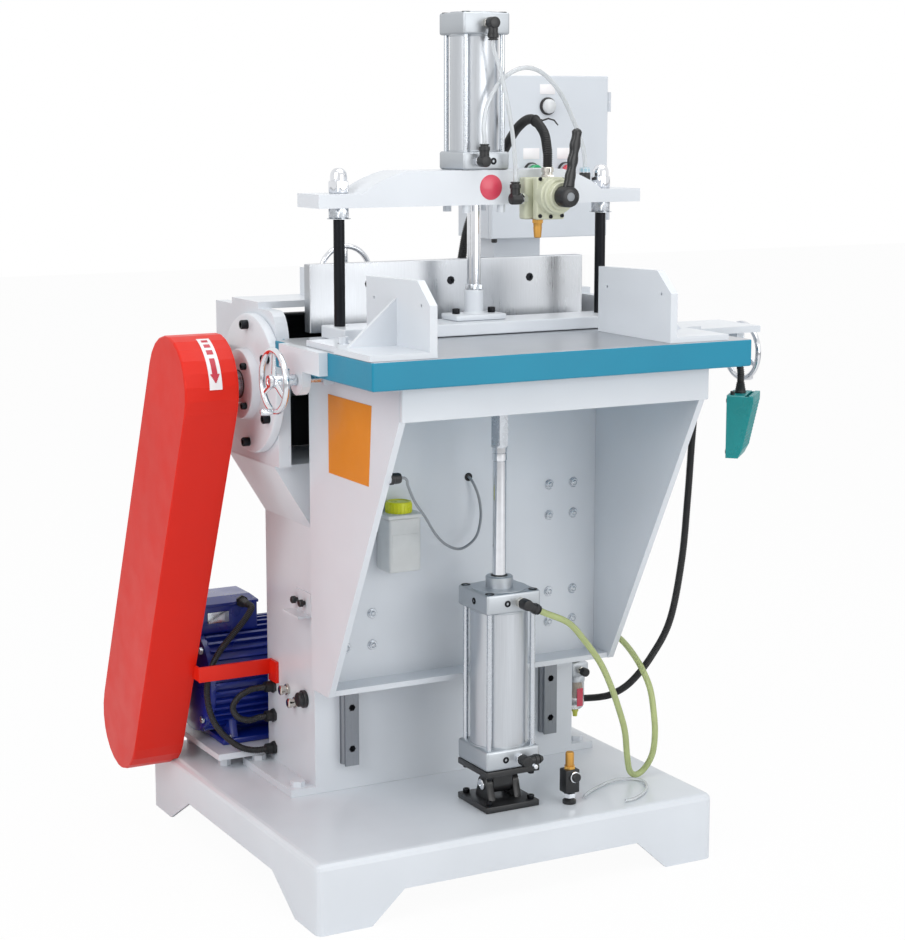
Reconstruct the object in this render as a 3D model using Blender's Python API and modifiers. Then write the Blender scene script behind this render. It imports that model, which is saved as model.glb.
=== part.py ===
"""Wood tenoning machine with a rising knee, a row of grooving cutters and an air clamp.

The machine frame has its origin on the front face of the column, in the middle between the two
guide rails, at floor level. +X runs to the right of the person who works at the table, +Y to the
back and +Z up. All lengths are in metres. A root empty moves the whole machine so that the middle
of its footprint lies at the world's origin.
"""
import math

import bmesh
import bpy
from mathutils import Matrix, Vector

# Clearances
GAP = 0.0003                    # between faces that touch, and all round a running fit
OVERRUN = 0.004                 # how far a cutter passes the face it cuts
MERGE = 0.00002                 # welding distance

# Base: folded sheet, open below, on four corner feet
BASE_WIDTH = 0.820
BASE_DEPTH = 0.800
BASE_HEIGHT = 0.128
BASE_SHEET = 0.006
BASE_ROUND = 0.012
BASE_FRONT_REACH = 0.350        # from the column's face forward to the base's front edge
BASE_LEFT_REACH = 0.440         # from the middle plane to the base's left edge
FRONT_FOOT = 0.104
SIDE_FOOT = 0.096
FRONT_ARCH_SLOPE = 0.064
SIDE_ARCH_SLOPE = 0.100
ARCH_HEIGHT = 0.058

# Column: welded box that flares out to a saddle for the bearing walls
COLUMN_WIDTH = 0.564
COLUMN_DEPTH = 0.220
COLUMN_HEIGHT = 0.632
COLUMN_WALL = 0.010
SADDLE_WIDTH = 0.712
FLARE_START = 0.509             # height of the flare's lower edge above the base
FLARE_RISE = 0.120
FOOT_FLANGE_REACH = 0.050
FOOT_FLANGE_THICK = 0.014
FOOT_BOLT_ACROSS = 0.024
FOOT_BOLT_HEIGHT = 0.010
FOOT_BOLT_INSET = 0.024

# Guide rails and carriages
RAIL_SPACING = 0.434
RAIL_WIDTH = 0.028
RAIL_HEIGHT = 0.026
RAIL_WAIST = 0.004
RAIL_WAIST_HEIGHT = 0.010
RAIL_BOTTOM = 0.053             # above the base
RAIL_LENGTH = 0.560
RAIL_HOLE_PITCH = 0.080
RAIL_HOLE_START = 0.033
RAIL_HOLE_RADIUS = 0.007
RAIL_HOLE_DEPTH = 0.012
CARRIAGE_WIDTH = 0.066
CARRIAGE_LENGTH = 0.098
CARRIAGE_HEIGHT = 0.042
CARRIAGE_LIFT = 0.006           # between the column's face and the carriage
CARRIAGE_HEIGHTS = (0.322, 0.532)   # carriage centres above the base
CARRIAGE_SCREW_ACROSS = 0.054
CARRIAGE_SCREW_ALONG = 0.060
CARRIAGE_SCREW_HEAD = 0.0075
CARRIAGE_SCREW_HEIGHT = 0.006

# Knee: back plate with a front lip, two gussets and an apron under the table
KNEE_CLEAR = 0.219              # from the base up to the knee's lower edge
KNEE_HEIGHT = 0.602
KNEE_TRAVEL = 0.200
KNEE_PLATE = 0.016
KNEE_WIDTH = 0.612
KNEE_LIP_REACH = 0.052
KNEE_LIP_THICK = 0.010
GUSSET_THICK = 0.012
GUSSET_FOOT = 0.071
APRON_REACH = 0.372             # from the carriages forward to the apron's face
APRON_THICK = 0.012
APRON_HEIGHT = 0.059
APRON_ROUND = 0.002
CABLE_HOLE_RADIUS = 0.006
CABLE_HOLE_SIDE = 0.013
CABLE_HOLE_DROP = 0.230

# Table
TABLE_WIDTH = 0.751
TABLE_DEPTH = 0.403
TABLE_THICK = 0.048
TABLE_TOP_PLATE = 0.020
TABLE_SKIRT = 0.016
TABLE_NOTCH = 0.013             # behind it the bearing housings pass
TABLE_EDGE_ROUND = 0.003

# Oil tank for the guides
TANK_SIDE = -0.148
TANK_WIDTH = 0.066
TANK_DEPTH = 0.055
TANK_HEIGHT = 0.102
TANK_DROP = 0.284               # below the table's underside
TANK_LID_THICK = 0.007
TANK_LID_EDGE = 0.004
TANK_CAP_RADIUS = 0.024
TANK_CAP_HEIGHT = 0.021

# Lift cylinder, 100 mm bore, on a clevis
LIFT_FORWARD = 0.200
LIFT_SQUARE = 0.112
LIFT_HEAD = 0.038
LIFT_LENGTH = 0.331             # over both heads
LIFT_BARREL_RADIUS = 0.0530
LIFT_BARREL_WALL = 0.0030
LIFT_ROD_RADIUS = 0.0125
LIFT_NECK_RADIUS = 0.025
LIFT_NECK_HEIGHT = 0.022
LIFT_TIE_RADIUS = 0.005
LIFT_TIE_INSET = 0.011
PISTON_THICK = 0.030
PISTON_TOP_CLEAR = 0.012
COUPLING_ACROSS = 0.030
COUPLING_LENGTH = 0.180
ROD_COLLAR_RADIUS = 0.0135
ROD_COLLAR_HEIGHT = 0.022
CLEVIS_SQUARE = 0.112
CLEVIS_PLATE = 0.012
CLEVIS_HEIGHT = 0.079
CLEVIS_PIN_LIFT = 0.038
CLEVIS_PIN_RADIUS = 0.008
CLEVIS_EAR_THICK = 0.014
CLEVIS_EAR_GAP = 0.041
CLEVIS_EAR_RADIUS = 0.018
CLEVIS_EAR_FOOT = 0.052
CLEVIS_PIN_HEAD = 0.011
CLEVIS_PIN_HEAD_THICK = 0.004

# Clamp: studs, beam, air cylinder of 80 mm bore, rod, foot and press bar
CLAMP_FORWARD = 0.102
STUD_SPACING = 0.542
STUD_RADIUS = 0.010
STUD_SOCKET = 0.012
STUD_TO_BEAM_END = 0.059
BEAM_WIDTH = STUD_SPACING + 2 * STUD_TO_BEAM_END
BEAM_DEPTH = 0.090
BEAM_LIFT = 0.233               # from the table's top to the beam
BEAM_HEIGHT = 0.062
BEAM_END_HEIGHT = 0.024
BEAM_FLAT = 0.324               # width of the level part under the cylinder
BEAM_END_FLAT = 0.084
NUT_ACROSS = 0.034
NUT_HEIGHT = 0.019
CAP_NUT_HEX = 0.022
CAP_NUT_RADIUS = 0.0150
CAP_NUT_HEIGHT = 0.044
BEAM_HOLE_RADIUS = 0.019
BEAM_SCREW_RADIUS = 0.008
BEAM_SCREW_HEIGHT = 0.014
BEAM_SCREW_SPREAD = 0.072
PRESS_SQUARE = 0.094
PRESS_HEAD_LOW = 0.032
PRESS_HEAD_TOP = 0.039
PRESS_LENGTH = 0.277
PRESS_BARREL_RADIUS = 0.0440
PRESS_BARREL_WALL = 0.0030
PRESS_ROD_RADIUS = 0.0125
PRESS_TIE_RADIUS = 0.0045
PRESS_TIE_INSET = 0.010
CLAMP_TRAVEL = 0.120
STUD_TO_BAR_END = 0.021
PRESS_BAR_WIDTH = STUD_SPACING + 2 * STUD_TO_BAR_END
PRESS_BAR_FRONT = 0.165
PRESS_BAR_REAR = 0.068
PRESS_BAR_THICK = 0.022
PRESS_BAR_SEAT = 0.0015         # left between bar and table when the clamp is down
CLAMP_FLANGE_WIDTH = 0.104
CLAMP_FLANGE_DEPTH = 0.060
CLAMP_FLANGE_THICK = 0.011
CLAMP_NECK_RADIUS = 0.0175
CLAMP_NECK_HEIGHT = 0.043
CLAMP_NUT_ACROSS = 0.030
CLAMP_NUT_HEIGHT = 0.010
CLAMP_SCREW_RADIUS = 0.007
CLAMP_SCREW_HEIGHT = 0.010
CLAMP_SCREW_SIDE = 0.037

# Side stops, their arms and handwheels
STOP_LEFT_FACE = -0.252
STOP_RIGHT_FACE = 0.207
STOP_THICK = 0.014
STOP_FRONT = 0.436
STOP_BACK = 0.200
STOP_HEIGHT = 0.124
STOP_CHAMFER_RUN = 0.045
STOP_CHAMFER_DROP = 0.038
STOP_SLOPE = 0.005
STOP_FOOT_WIDTH = 0.110
STOP_FOOT_THICK = 0.010
STOP_FOOT_DEPTH = 0.136
STOP_TONGUE_WIDTH = 0.066
STOP_RIB_THICK = 0.008
STOP_RIB_BACK = 0.108
STOP_RIB_HEIGHT = 0.090
STOP_HOLE_RADIUS = 0.003
STOP_HOLE_DROP = 0.040
STOP_HOLE_INSET = 0.030
STOP_SCREW_RADIUS = 0.007
STOP_SCREW_DROP = 0.056         # from the table's top to the screw's axis
STOP_SCREW_FORWARD = 0.180
STOP_NUT_WIDTH = 0.020
STOP_NUT_DEPTH = 0.020
STOP_NUT_SIDE = 0.334           # from the middle plane to the nut
STOP_TRAVEL = 0.012
STOP_SCREW_INNER = 0.310
STOP_BOLT_RADIUS = 0.0085
STOP_BOLT_HEIGHT = 0.012
STOP_BOLT_FORWARD = 0.250
ARM_THICK = 0.016
ARM_FRONT = 0.275
ARM_BACK = 0.108
ARM_LEFT_HEIGHT = 0.040
ARM_LUG_RADIUS = 0.027
ARM_RIGHT_REACH = 0.156
ARM_RIGHT_PLATE = 0.012
ARM_RIGHT_LUG = 0.016
WHEEL_RADIUS = 0.058
WHEEL_RIM = 0.0055
WHEEL_SPOKE = 0.0040
WHEEL_HUB_RADIUS = 0.012
WHEEL_HUB_LENGTH = 0.022
WHEEL_BOSS_RADIUS = 0.010
WHEEL_LEFT_STAND_OFF = 0.041
WHEEL_RIGHT_STAND_OFF = 0.016
WHEEL_KNOB_RADIUS = 0.006
WHEEL_KNOB_LENGTH = 0.026
WHEEL_SPOKES = 3
WHEEL_START_DEG = 90
SPOKE_SIDES = 6

# Bearing walls and cutter spindle
WALL_THICK = 0.024
WALL_FRONT_REACH = 0.020
WALL_BACK = 0.270
WALL_HEIGHT = 0.281
WALL_CORNER_RUN = 0.036
WALL_CORNER_RISE = 0.070
SPINDLE_RISE = 0.145            # above the saddle
SPINDLE_BACK = 0.075
HOUSING_RADIUS = 0.128
HOUSING_THICK = 0.018
HOUSING_SPIGOT = 0.070
HOUSING_LEAD = 0.006
HOUSING_ROUND = 0.004
COVER_RADIUS = 0.0645
COVER_THICK = 0.020
FLANGE_SCREW_RADIUS = 0.0085
FLANGE_SCREW_HEIGHT = 0.013
FLANGE_SCREW_CIRCLE = 0.108
FLANGE_SCREWS = 6
COVER_SCREW_RADIUS = 0.0065
COVER_SCREW_HEIGHT = 0.009
COVER_SCREW_CIRCLE = 0.051
COVER_SCREWS = 4
ARBOR_RADIUS = 0.030
ARBOR_JOURNAL = 0.024
ARBOR_PULLEY_SEAT = 0.019
ARBOR_COLLAR = 0.040
ARBOR_COLLAR_THICK = 0.016
ARBOR_TAIL = 0.010
CUTTER_RADIUS = 0.090
CUTTER_ROOT = 0.078
CUTTER_GULLET = 0.062
CUTTER_WIDTH = 0.012
CUTTER_PITCH = 0.028
CUTTER_COUNT = 14
CUTTER_TEETH = 8
CUTTER_BACK_SHARE = 0.45
CUTTER_GULLET_SHARE = 0.86
SPACER_RADIUS = 0.038

# Chip hood behind the cutters
HOOD_RADIUS = 0.126
HOOD_SHEET = 0.003
HOOD_FRONT_SHARE = 0.53         # turn of the hood's front edge, as a share of a half circle
HOOD_OUTLET_RADIUS = 0.050
HOOD_OUTLET_LENGTH = 0.040
HOOD_OUTLET_RISE = 0.075

# Fence: end stop for the boards, on two rods in a bridge over the hood
FENCE_WIDTH = 0.576
FENCE_FRONT_BACK = -0.013
FENCE_THICK = 0.025
FENCE_LIFT = 0.003              # above the table
FENCE_HEIGHT = 0.124
FENCE_TRAVEL = 0.045
FENCE_ROD_RADIUS = 0.010
FENCE_ROD_SPACING = 0.360
FENCE_ROD_RISE = 0.044          # above the bearing walls
FENCE_ROD_LENGTH = 0.190
FENCE_NUT_RADIUS = 0.017
FENCE_NUT_LENGTH = 0.068
FENCE_NUT_SIDE = -0.100
FENCE_SCREW_RADIUS = 0.008
FENCE_SCREW_SPACING = 0.170
FENCE_SCREW_HEAD = 0.008
FENCE_SCREW_SINK = 0.006
FENCE_EDGE_ROUND = 0.0012
BRIDGE_THICK = 0.012
BRIDGE_FRONT = 0.066
BRIDGE_BACK = 0.190
BRIDGE_BLOCK_FRONT = 0.132
BRIDGE_BLOCK_DEPTH = 0.050
BRIDGE_BLOCK_COVER = 0.020       # above the rods' axis
BRIDGE_BLOCK_WIDTH = 0.440
FENCE_WHEEL_BACK = 0.052        # from the bridge's block to the wheel

# Belt drive, motor and guard
MOTOR_BACK = 0.350
MOTOR_AXIS_HEIGHT = 0.157       # above the base
MOTOR_RADIUS = 0.100
MOTOR_FIN = 0.010
MOTOR_FINS = 16
MOTOR_FIN_SHARE = 0.5
MOTOR_LEFT = 0.402
MOTOR_LENGTH = 0.235
MOTOR_SHIELD = 0.020
MOTOR_SHIELD_RADIUS = 0.106
MOTOR_COWL = 0.050
MOTOR_FOOT_WIDTH = 0.190
MOTOR_FOOT_DEPTH = 0.160
MOTOR_FOOT_THICK = 0.012
MOTOR_FOOT_BLOCK = 0.100
MOTOR_PLATE_WIDTH = 0.220
MOTOR_PLATE_FRONT = 0.205
MOTOR_PLATE_BACK = 0.450
MOTOR_PLATE_THICK = 0.012
MOTOR_PLATE_LIFT = 0.024        # on adjusting nuts above the base
MOTOR_NUT_ACROSS = 0.022
MOTOR_NUT_INSET = 0.030
MOTOR_NUT_INSET_DEEP = 0.045
MOTOR_NOSE_RADIUS = 0.088
TERMINAL_GLAND_INSET = 0.034
TERMINAL_GLAND_DROP = 0.012
MOTOR_SHAFT_RADIUS = 0.014
TERMINAL_WIDTH = 0.125
TERMINAL_DEPTH = 0.095
TERMINAL_HEIGHT = 0.057
TERMINAL_INSET = 0.010
SPINDLE_PULLEY_RADIUS = 0.044
MOTOR_PULLEY_RADIUS = 0.062
PULLEY_GROOVE = 0.010
PULLEY_LAND = 0.004
BELT_WIDTH = 0.017
BELT_COUNT = 2
BELT_PROUD = 0.0015
BELT_BAND = 0.0015
BELT_STEPS = 8
GUARD_INNER_LEFT = 0.435
GUARD_DEPTH = 0.098
GUARD_RADIUS = 0.095
GUARD_SHEET = 0.0025
GUARD_EXTEND = 0.087            # past the motor's axis
GUARD_ROUND = 0.008
GUARD_PLATE_THICK = 0.003
GUARD_BACK_REACH = 0.600        # of the block that trims the pan flat
GUARD_HOLE_SPARE = 0.006
STRAP_HEIGHT = 0.028
STRAP_THICK = 0.006
STRAP_DROP = 0.560              # below the spindle
STRAP_FOOT = 0.030
STRAP_BACK = 0.196

# Electrical cabinet on its post
CABINET_LEFT = 0.236
CABINET_WIDTH = 0.275
CABINET_BACK = 0.250
CABINET_DEPTH = 0.142
CABINET_HEIGHT = 0.326
CABINET_LIFT = 1.013            # above the base
CABINET_WALL = 0.004
DOOR_THICK = 0.016
DOOR_WALL = 0.003
DOOR_REVEAL = 0.0015
DOOR_HINGE_RADIUS = 0.005
DOOR_HINGE_LEAF = 0.005
DOOR_HINGE_HEIGHT = 0.040
DOOR_HINGE_SHARE = 0.16
LAMP_SIDE_SHARE = 0.465
LAMP_HEIGHT_SHARE = 0.813
BUTTON_HEIGHT_SHARE = 0.415
START_SIDE_SHARE = 0.33
STOP_SIDE_SHARE = 0.62
BUTTON_RADIUS = 0.0135
BUTTON_BEZEL_RADIUS = 0.0165
BUTTON_BEZEL_HEIGHT = 0.006
BUTTON_HEIGHT = 0.013
BUTTON_STEM = 0.0080
BUTTON_TRAVEL = 0.005
BUTTON_ROUND = 0.003
LAMP_RADIUS = 0.0135
LAMP_HEIGHT = 0.012
LAMP_CROWN = 0.003
POST_WIDTH = 0.110
POST_DEPTH = 0.060
POST_WALL = 0.004
POST_LEFT = 0.262
POST_BACK = 0.290
POST_FOOT_REACH = 0.030
POST_FOOT_THICK = 0.010

# Hand valve on the beam
VALVE_SIDE = 0.067
VALVE_WIDTH = 0.071
VALVE_DEPTH = 0.053
VALVE_HEIGHT = 0.076
VALVE_RISE = -0.027             # from the beam's underside to the valve's
VALVE_ROUND = 0.004
VALVE_NECK_RADIUS = 0.031
VALVE_NECK_LENGTH = 0.028
VALVE_SKIRT_RADIUS = 0.034
VALVE_SKIRT_LENGTH = 0.010
LEVER_HUB_RADIUS = 0.019
LEVER_HUB_LENGTH = 0.028
LEVER_LENGTH = 0.122
LEVER_LEAN_DEG = 9.0
LEVER_WIDTH = 0.021
LEVER_THICK = 0.015
LEVER_RANGE_DEG = 90.0
VALVE_HUB_SIDE = 0.112
VALVE_HUB_RISE = 0.043
VALVE_CONDUIT_SIDE = 0.112
SILENCER_SIDE = 0.092
SILENCER_RADIUS = 0.008
SILENCER_LENGTH = 0.033
SILENCER_HEX = 0.019
SILENCER_HEX_LENGTH = 0.006
SILENCER_TIP_RADIUS = 0.0065
LEVER_ROUND = 0.0024

# Air filter on the column, exhaust valve on the base, side bracket
FILTER_HEAD_WIDTH = 0.040
FILTER_HEAD_HEIGHT = 0.044
FILTER_BOWL_RADIUS = 0.018
FILTER_BOWL_HEIGHT = 0.066
FILTER_BACK = 0.030
FILTER_RISE = 0.134             # from the base to the head's lower face
FILTER_DRAIN_RADIUS = 0.006
FILTER_DRAIN_HEIGHT = 0.010
FILTER_BRACKET = 0.006
FILTER_ROUND = 0.0024
EXHAUST_SIDE = 0.112
EXHAUST_FORWARD = 0.270
EXHAUST_WIDTH = 0.030
EXHAUST_DEPTH = 0.026
EXHAUST_HEIGHT = 0.045
EXHAUST_PLUG_RADIUS = 0.011
EXHAUST_PLUG_HEIGHT = 0.022
EXHAUST_MUFFLER_RADIUS = 0.008
EXHAUST_MUFFLER_HEIGHT = 0.026
EXHAUST_NUT_ACROSS = 0.019
EXHAUST_NUT_HEIGHT = 0.006
SHELF_WIDTH = 0.030
SHELF_DEPTH = 0.070
SHELF_THICK = 0.004
SHELF_RISE = 0.044
SHELF_HEIGHT = 0.341            # above the base
SHELF_BACK = 0.004

# Push-in elbows of the air lines
ELBOW_BODY_RADIUS = 0.010
ELBOW_BODY_LENGTH = 0.030
ELBOW_STEM_RADIUS = 0.007
ELBOW_STEM_LENGTH = 0.012
ELBOW_ARM_LENGTH = 0.030

# Foot pedal that hangs on its own cord at the right of the table
PEDAL_SIDE = 0.466
PEDAL_FORWARD = 0.290
PEDAL_TOP = 0.877
PEDAL_TURN_DEG = 45
PEDAL_WIDTH = 0.085
PEDAL_LENGTH = 0.118
PEDAL_BACK = 0.019              # from the cord's axis back to the pedal's flat side
PEDAL_FRONT = 0.031
PEDAL_LOW_FRONT = 0.012
PEDAL_STRAIGHT = 0.012
PEDAL_TOE = 0.016
PEDAL_TREAD_THICK = 0.009
PEDAL_GAP = 0.006
PEDAL_ROUND = 0.002
PEDAL_GLAND_RADIUS = 0.0095
PEDAL_GLAND_HEIGHT = 0.020

# Ports where hoses and cables leave
GLAND_LENGTH = 0.018
SEAT_DEPTH = 0.001              # how far a fitting reaches into its seat
LIFT_PORT_SIDE = 0.012
LIFT_HOSE_WAY = (1, 0, -0.5)
PRESS_PORT_SIDE = -0.017
BEAM_PORT_SIDE = 0.236
BEAM_PORT_RISE = 0.012          # above the beam's level ends
BEAM_PORT_LENGTH = 0.026
SWITCH_FORWARD = 0.343
SWITCH_DROP = 0.164             # below the table's underside
SWITCH_GLAND_RADIUS = 0.008
PEDAL_PORT_BACK = 0.100
PEDAL_PORT_HEIGHT = 0.205
VALVE_PORT_SIDE = 0.074
VALVE_PORT_BACK = 0.085
VALVE_ADAPTER_RADIUS = 0.011
MOTOR_PORT_BACK = 0.190
MOTOR_PORT_HEIGHTS = (0.167, 0.292, 0.233)
MOTOR_GLAND_RADIUS = 0.0095

# Hoses and cables: outside diameters and ribs
AIR_HOSE_DIAMETER = 0.012
CLEAR_TUBE_DIAMETER = 0.008
CONDUIT_DIAMETER = 0.018
PEDAL_CORD_DIAMETER = 0.014
SWITCH_CABLE_DIAMETER = 0.005
MOTOR_CORD_DIAMETER = 0.013
RIB_PITCH = 0.015
RIB_DEPTH_SHARE = 0.18
CONDUIT_BORE_SHARE = 0.55
CORD_POINT_DIAMETERS = 1.9
CORD_LEAST_STEP = 0.015
CURVE_STEPS = 24

# Hose and cable routes between their ports, as they hang and lie
LIFT_HOSE_ROUTE = [
    (0.100, -0.280, 0.476), (0.139, -0.275, 0.436), (0.178, -0.267, 0.388),
    (0.210, -0.255, 0.336), (0.238, -0.243, 0.280), (0.256, -0.235, 0.235),
    (0.268, -0.225, 0.185), (0.281, -0.215, 0.149), (0.300, -0.209, 0.1365),
    (0.318, -0.212, 0.148), (0.324, -0.228, 0.180), (0.321, -0.240, 0.222),
    (0.318, -0.240, 0.262), (0.318, -0.226, 0.308), (0.318, -0.198, 0.340),
    (0.318, -0.160, 0.366), (0.318, -0.115, 0.384), (0.317, -0.070, 0.388),
    (0.312, -0.025, 0.382), (0.308, 0.010, 0.368), (0.308, 0.028, 0.348)]
TUBE_DOWN_ROUTE = [
    (0.010, -0.172, 1.480), (0.026, -0.174, 1.420), (0.038, -0.174, 1.360),
    (0.044, -0.174, 1.310)]
TUBE_UP_ROUTE = [
    (-0.018, -0.170, 1.370), (-0.008, -0.168, 1.410), (0.022, -0.162, 1.450),
    (0.068, -0.153, 1.472), (0.115, -0.143, 1.466), (0.165, -0.127, 1.430),
    (0.204, -0.111, 1.380), (0.229, -0.103, 1.335)]
SWITCH_CABLE_ROUTE = [
    (0.020, -0.074, 0.700), (0.027, -0.078, 0.672), (0.024, -0.086, 0.640),
    (0.006, -0.098, 0.610), (-0.034, -0.116, 0.597), (-0.075, -0.136, 0.612),
    (-0.110, -0.158, 0.640), (-0.156, -0.206, 0.684), (-0.199, -0.250, 0.722),
    (-0.240, -0.305, 0.762), (-0.258, -0.335, 0.779)]
VALVE_CONDUIT_ROUTE = [
    (0.078, 0.083, 1.130), (0.087, 0.075, 1.185), (0.102, 0.045, 1.250),
    (0.115, 0.000, 1.315), (0.120, -0.050, 1.365), (0.121, -0.100, 1.382),
    (0.118, -0.148, 1.360), (0.113, -0.170, 1.329)]
PEDAL_CORD_ROUTE = [
    (0.330, 0.092, 0.206), (0.348, 0.060, 0.214), (0.354, 0.005, 0.230),
    (0.350, -0.050, 0.252), (0.350, -0.110, 0.290), (0.362, -0.160, 0.350),
    (0.378, -0.200, 0.431), (0.385, -0.226, 0.554), (0.386, -0.240, 0.674),
    (0.390, -0.245, 0.790), (0.397, -0.245, 0.870), (0.403, -0.248, 0.925),
    (0.418, -0.256, 0.960), (0.438, -0.270, 0.970), (0.456, -0.282, 0.957)]
MOTOR_FEED_ROUTE = [
    (-0.300, 0.254, 0.437), (-0.318, 0.242, 0.420), (-0.344, 0.235, 0.397),
    (-0.374, 0.229, 0.370), (-0.393, 0.226, 0.344), (-0.404, 0.226, 0.316),
    (-0.408, 0.226, 0.286), (-0.405, 0.222, 0.252), (-0.394, 0.215, 0.220),
    (-0.371, 0.207, 0.191), (-0.346, 0.197, 0.173)]
SIDE_LOOP_ROUTE = [
    (-0.333, 0.193, 0.289), (-0.355, 0.197, 0.276), (-0.366, 0.198, 0.257),
    (-0.356, 0.197, 0.237), (-0.334, 0.193, 0.229)]

# Numbers of sides
ROUND_SIDES = 14
FINE_SIDES = 20
SMALL_SIDES = 8
PIN_SIDES = 6

# Heights that several pieces share
BASE_TOP = BASE_HEIGHT
COLUMN_FOOT = BASE_TOP + GAP
SADDLE_TOP = COLUMN_FOOT + COLUMN_HEIGHT
SPINDLE_HEIGHT = SADDLE_TOP + SPINDLE_RISE
WALL_FOOT = SADDLE_TOP + GAP
WALL_TOP = WALL_FOOT + WALL_HEIGHT
KNEE_LOW = BASE_TOP + KNEE_CLEAR
KNEE_TOP = KNEE_LOW + KNEE_HEIGHT
TABLE_LOW = KNEE_TOP + GAP
TABLE_TOP = TABLE_LOW + TABLE_THICK
TABLE_INSIDE = TABLE_TOP - TABLE_TOP_PLATE
TABLE_BACK = -CARRIAGE_HEIGHT - GAP
TABLE_FRONT = TABLE_BACK - TABLE_DEPTH
KNEE_BACK = -CARRIAGE_HEIGHT - GAP
KNEE_FRONT = KNEE_BACK - KNEE_PLATE
APRON_FRONT = KNEE_BACK - APRON_REACH
BEAM_LOW = TABLE_TOP + BEAM_LIFT
BEAM_TOP = BEAM_LOW + BEAM_HEIGHT
BEAM_END_TOP = BEAM_LOW + BEAM_END_HEIGHT
BEAM_PORT_HEIGHT = BEAM_END_TOP + BEAM_PORT_RISE
LIFT_FOOT = BASE_TOP + GAP + CLEVIS_HEIGHT
LIFT_TOP = LIFT_FOOT + LIFT_LENGTH
LIFT_INNER_LOW = LIFT_FOOT + LIFT_HEAD
LIFT_INNER_TOP = LIFT_TOP - LIFT_HEAD
PRESS_FOOT = BEAM_TOP + GAP
PRESS_TOP = PRESS_FOOT + PRESS_LENGTH
PRESS_INNER_LOW = PRESS_FOOT + PRESS_HEAD_LOW
PRESS_INNER_TOP = PRESS_TOP - PRESS_HEAD_TOP
BAR_LOW = TABLE_TOP + PRESS_BAR_SEAT
BAR_TOP = BAR_LOW + PRESS_BAR_THICK
SCREW_HEIGHT = TABLE_TOP - STOP_SCREW_DROP
MOTOR_HEIGHT = BASE_TOP + MOTOR_AXIS_HEIGHT
GUARD_LEFT = GUARD_INNER_LEFT + GUARD_DEPTH
ARM_LEFT_OUT = TABLE_WIDTH / 2 + GAP + ARM_THICK
ARM_RIGHT_OUT = TABLE_WIDTH / 2 + GAP + ARM_RIGHT_REACH
FENCE_LOW = TABLE_TOP + FENCE_LIFT
FENCE_TOP = FENCE_LOW + FENCE_HEIGHT
FENCE_BACK = FENCE_FRONT_BACK + FENCE_THICK
FENCE_ROD_HEIGHT = WALL_TOP + FENCE_ROD_RISE
CABINET_LOW = BASE_TOP + CABINET_LIFT


def clear_scene():
    """Remove every object, so that the script can run again in an open file."""
    for item in list(bpy.data.objects):
        bpy.data.objects.remove(item)


clear_scene()
machine = bpy.data.collections.new("wood_tenoning_machine")
bpy.context.scene.collection.children.link(machine)


# Materials

def paint(name, colour, roughness, metallic):
    """One Principled material in a plain linear colour."""
    material = bpy.data.materials.new(name)
    material.use_nodes = True
    shader = material.node_tree.nodes["Principled BSDF"]
    shader.inputs["Base Color"].default_value = (*colour, 1)
    shader.inputs["Roughness"].default_value = roughness
    shader.inputs["Metallic"].default_value = metallic
    material.diffuse_color = (*colour, 1)
    return material


white_paint = paint("white_paint", (0.72, 0.75, 0.79), 0.35, 0)
red_paint = paint("red_paint", (0.68, 0.035, 0.014), 0.35, 0)
teal_paint = paint("teal_paint", (0.0, 0.28, 0.44), 0.35, 0)
blue_paint = paint("blue_paint", (0.006, 0.018, 0.22), 0.4, 0)
black_paint = paint("black_paint", (0.012, 0.012, 0.013), 0.5, 0)
ground_steel = paint("ground_steel", (0.42, 0.43, 0.44), 0.3, 1)
bright_steel = paint("bright_steel", (0.60, 0.61, 0.62), 0.15, 1)
black_oxide = paint("black_oxide", (0.02, 0.02, 0.022), 0.45, 0.6)
milled_aluminium = paint("milled_aluminium", (0.44, 0.45, 0.46), 0.32, 1)
anodised = paint("anodised_aluminium", (0.62, 0.64, 0.66), 0.32, 1)
black_plastic = paint("black_plastic", (0.015, 0.015, 0.016), 0.45, 0)
olive_casting = paint("painted_valve_casting", (0.56, 0.60, 0.44), 0.4, 0.3)
clear_plastic = paint("clear_plastic", (0.80, 0.84, 0.86), 0.1, 0)
green_plastic = paint("green_plastic", (0.0, 0.32, 0.10), 0.3, 0)
red_plastic = paint("red_plastic", (0.60, 0.02, 0.05), 0.3, 0)
pedal_plastic = paint("pedal_plastic", (0.0, 0.30, 0.28), 0.4, 0)
hose_plastic = paint("hose_plastic", (0.58, 0.66, 0.32), 0.2, 0)
grey_sheath = paint("grey_sheath", (0.35, 0.36, 0.37), 0.5, 0)
belt_rubber = paint("belt_rubber", (0.01, 0.01, 0.01), 0.8, 0)


# Shape helpers. Each gives a new object in the machine's frame.

def turn_to(axis):
    """The rotation that lays a local Z axis along the named axis."""
    if axis == "X":
        return Matrix(((0, 0, 1), (1, 0, 0), (0, 1, 0))).to_4x4()
    if axis == "Y":
        return Matrix(((0, 1, 0), (0, 0, 1), (1, 0, 0))).to_4x4()
    return Matrix.Identity(4)


def sheet_to(axis):
    """The rotation that stands a flat outline square to the named axis."""
    if axis == "Y":
        return Matrix(((1, 0, 0), (0, 0, -1), (0, 1, 0))).to_4x4()
    return turn_to(axis)


def keep(name, shape, place):
    """Link a bmesh as an object, with its origin at the given place."""
    bmesh.ops.recalc_face_normals(shape, faces=shape.faces)
    mesh = bpy.data.meshes.new(name)
    shape.to_mesh(mesh)
    shape.free()
    item = bpy.data.objects.new(name, mesh)
    item.location = place
    machine.objects.link(item)
    return item


def evaluated_mesh(item):
    """The object's mesh with its modifiers applied."""
    bpy.context.view_layer.update()
    graph = bpy.context.evaluated_depsgraph_get()
    return bpy.data.meshes.new_from_object(item.evaluated_get(graph))


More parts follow.
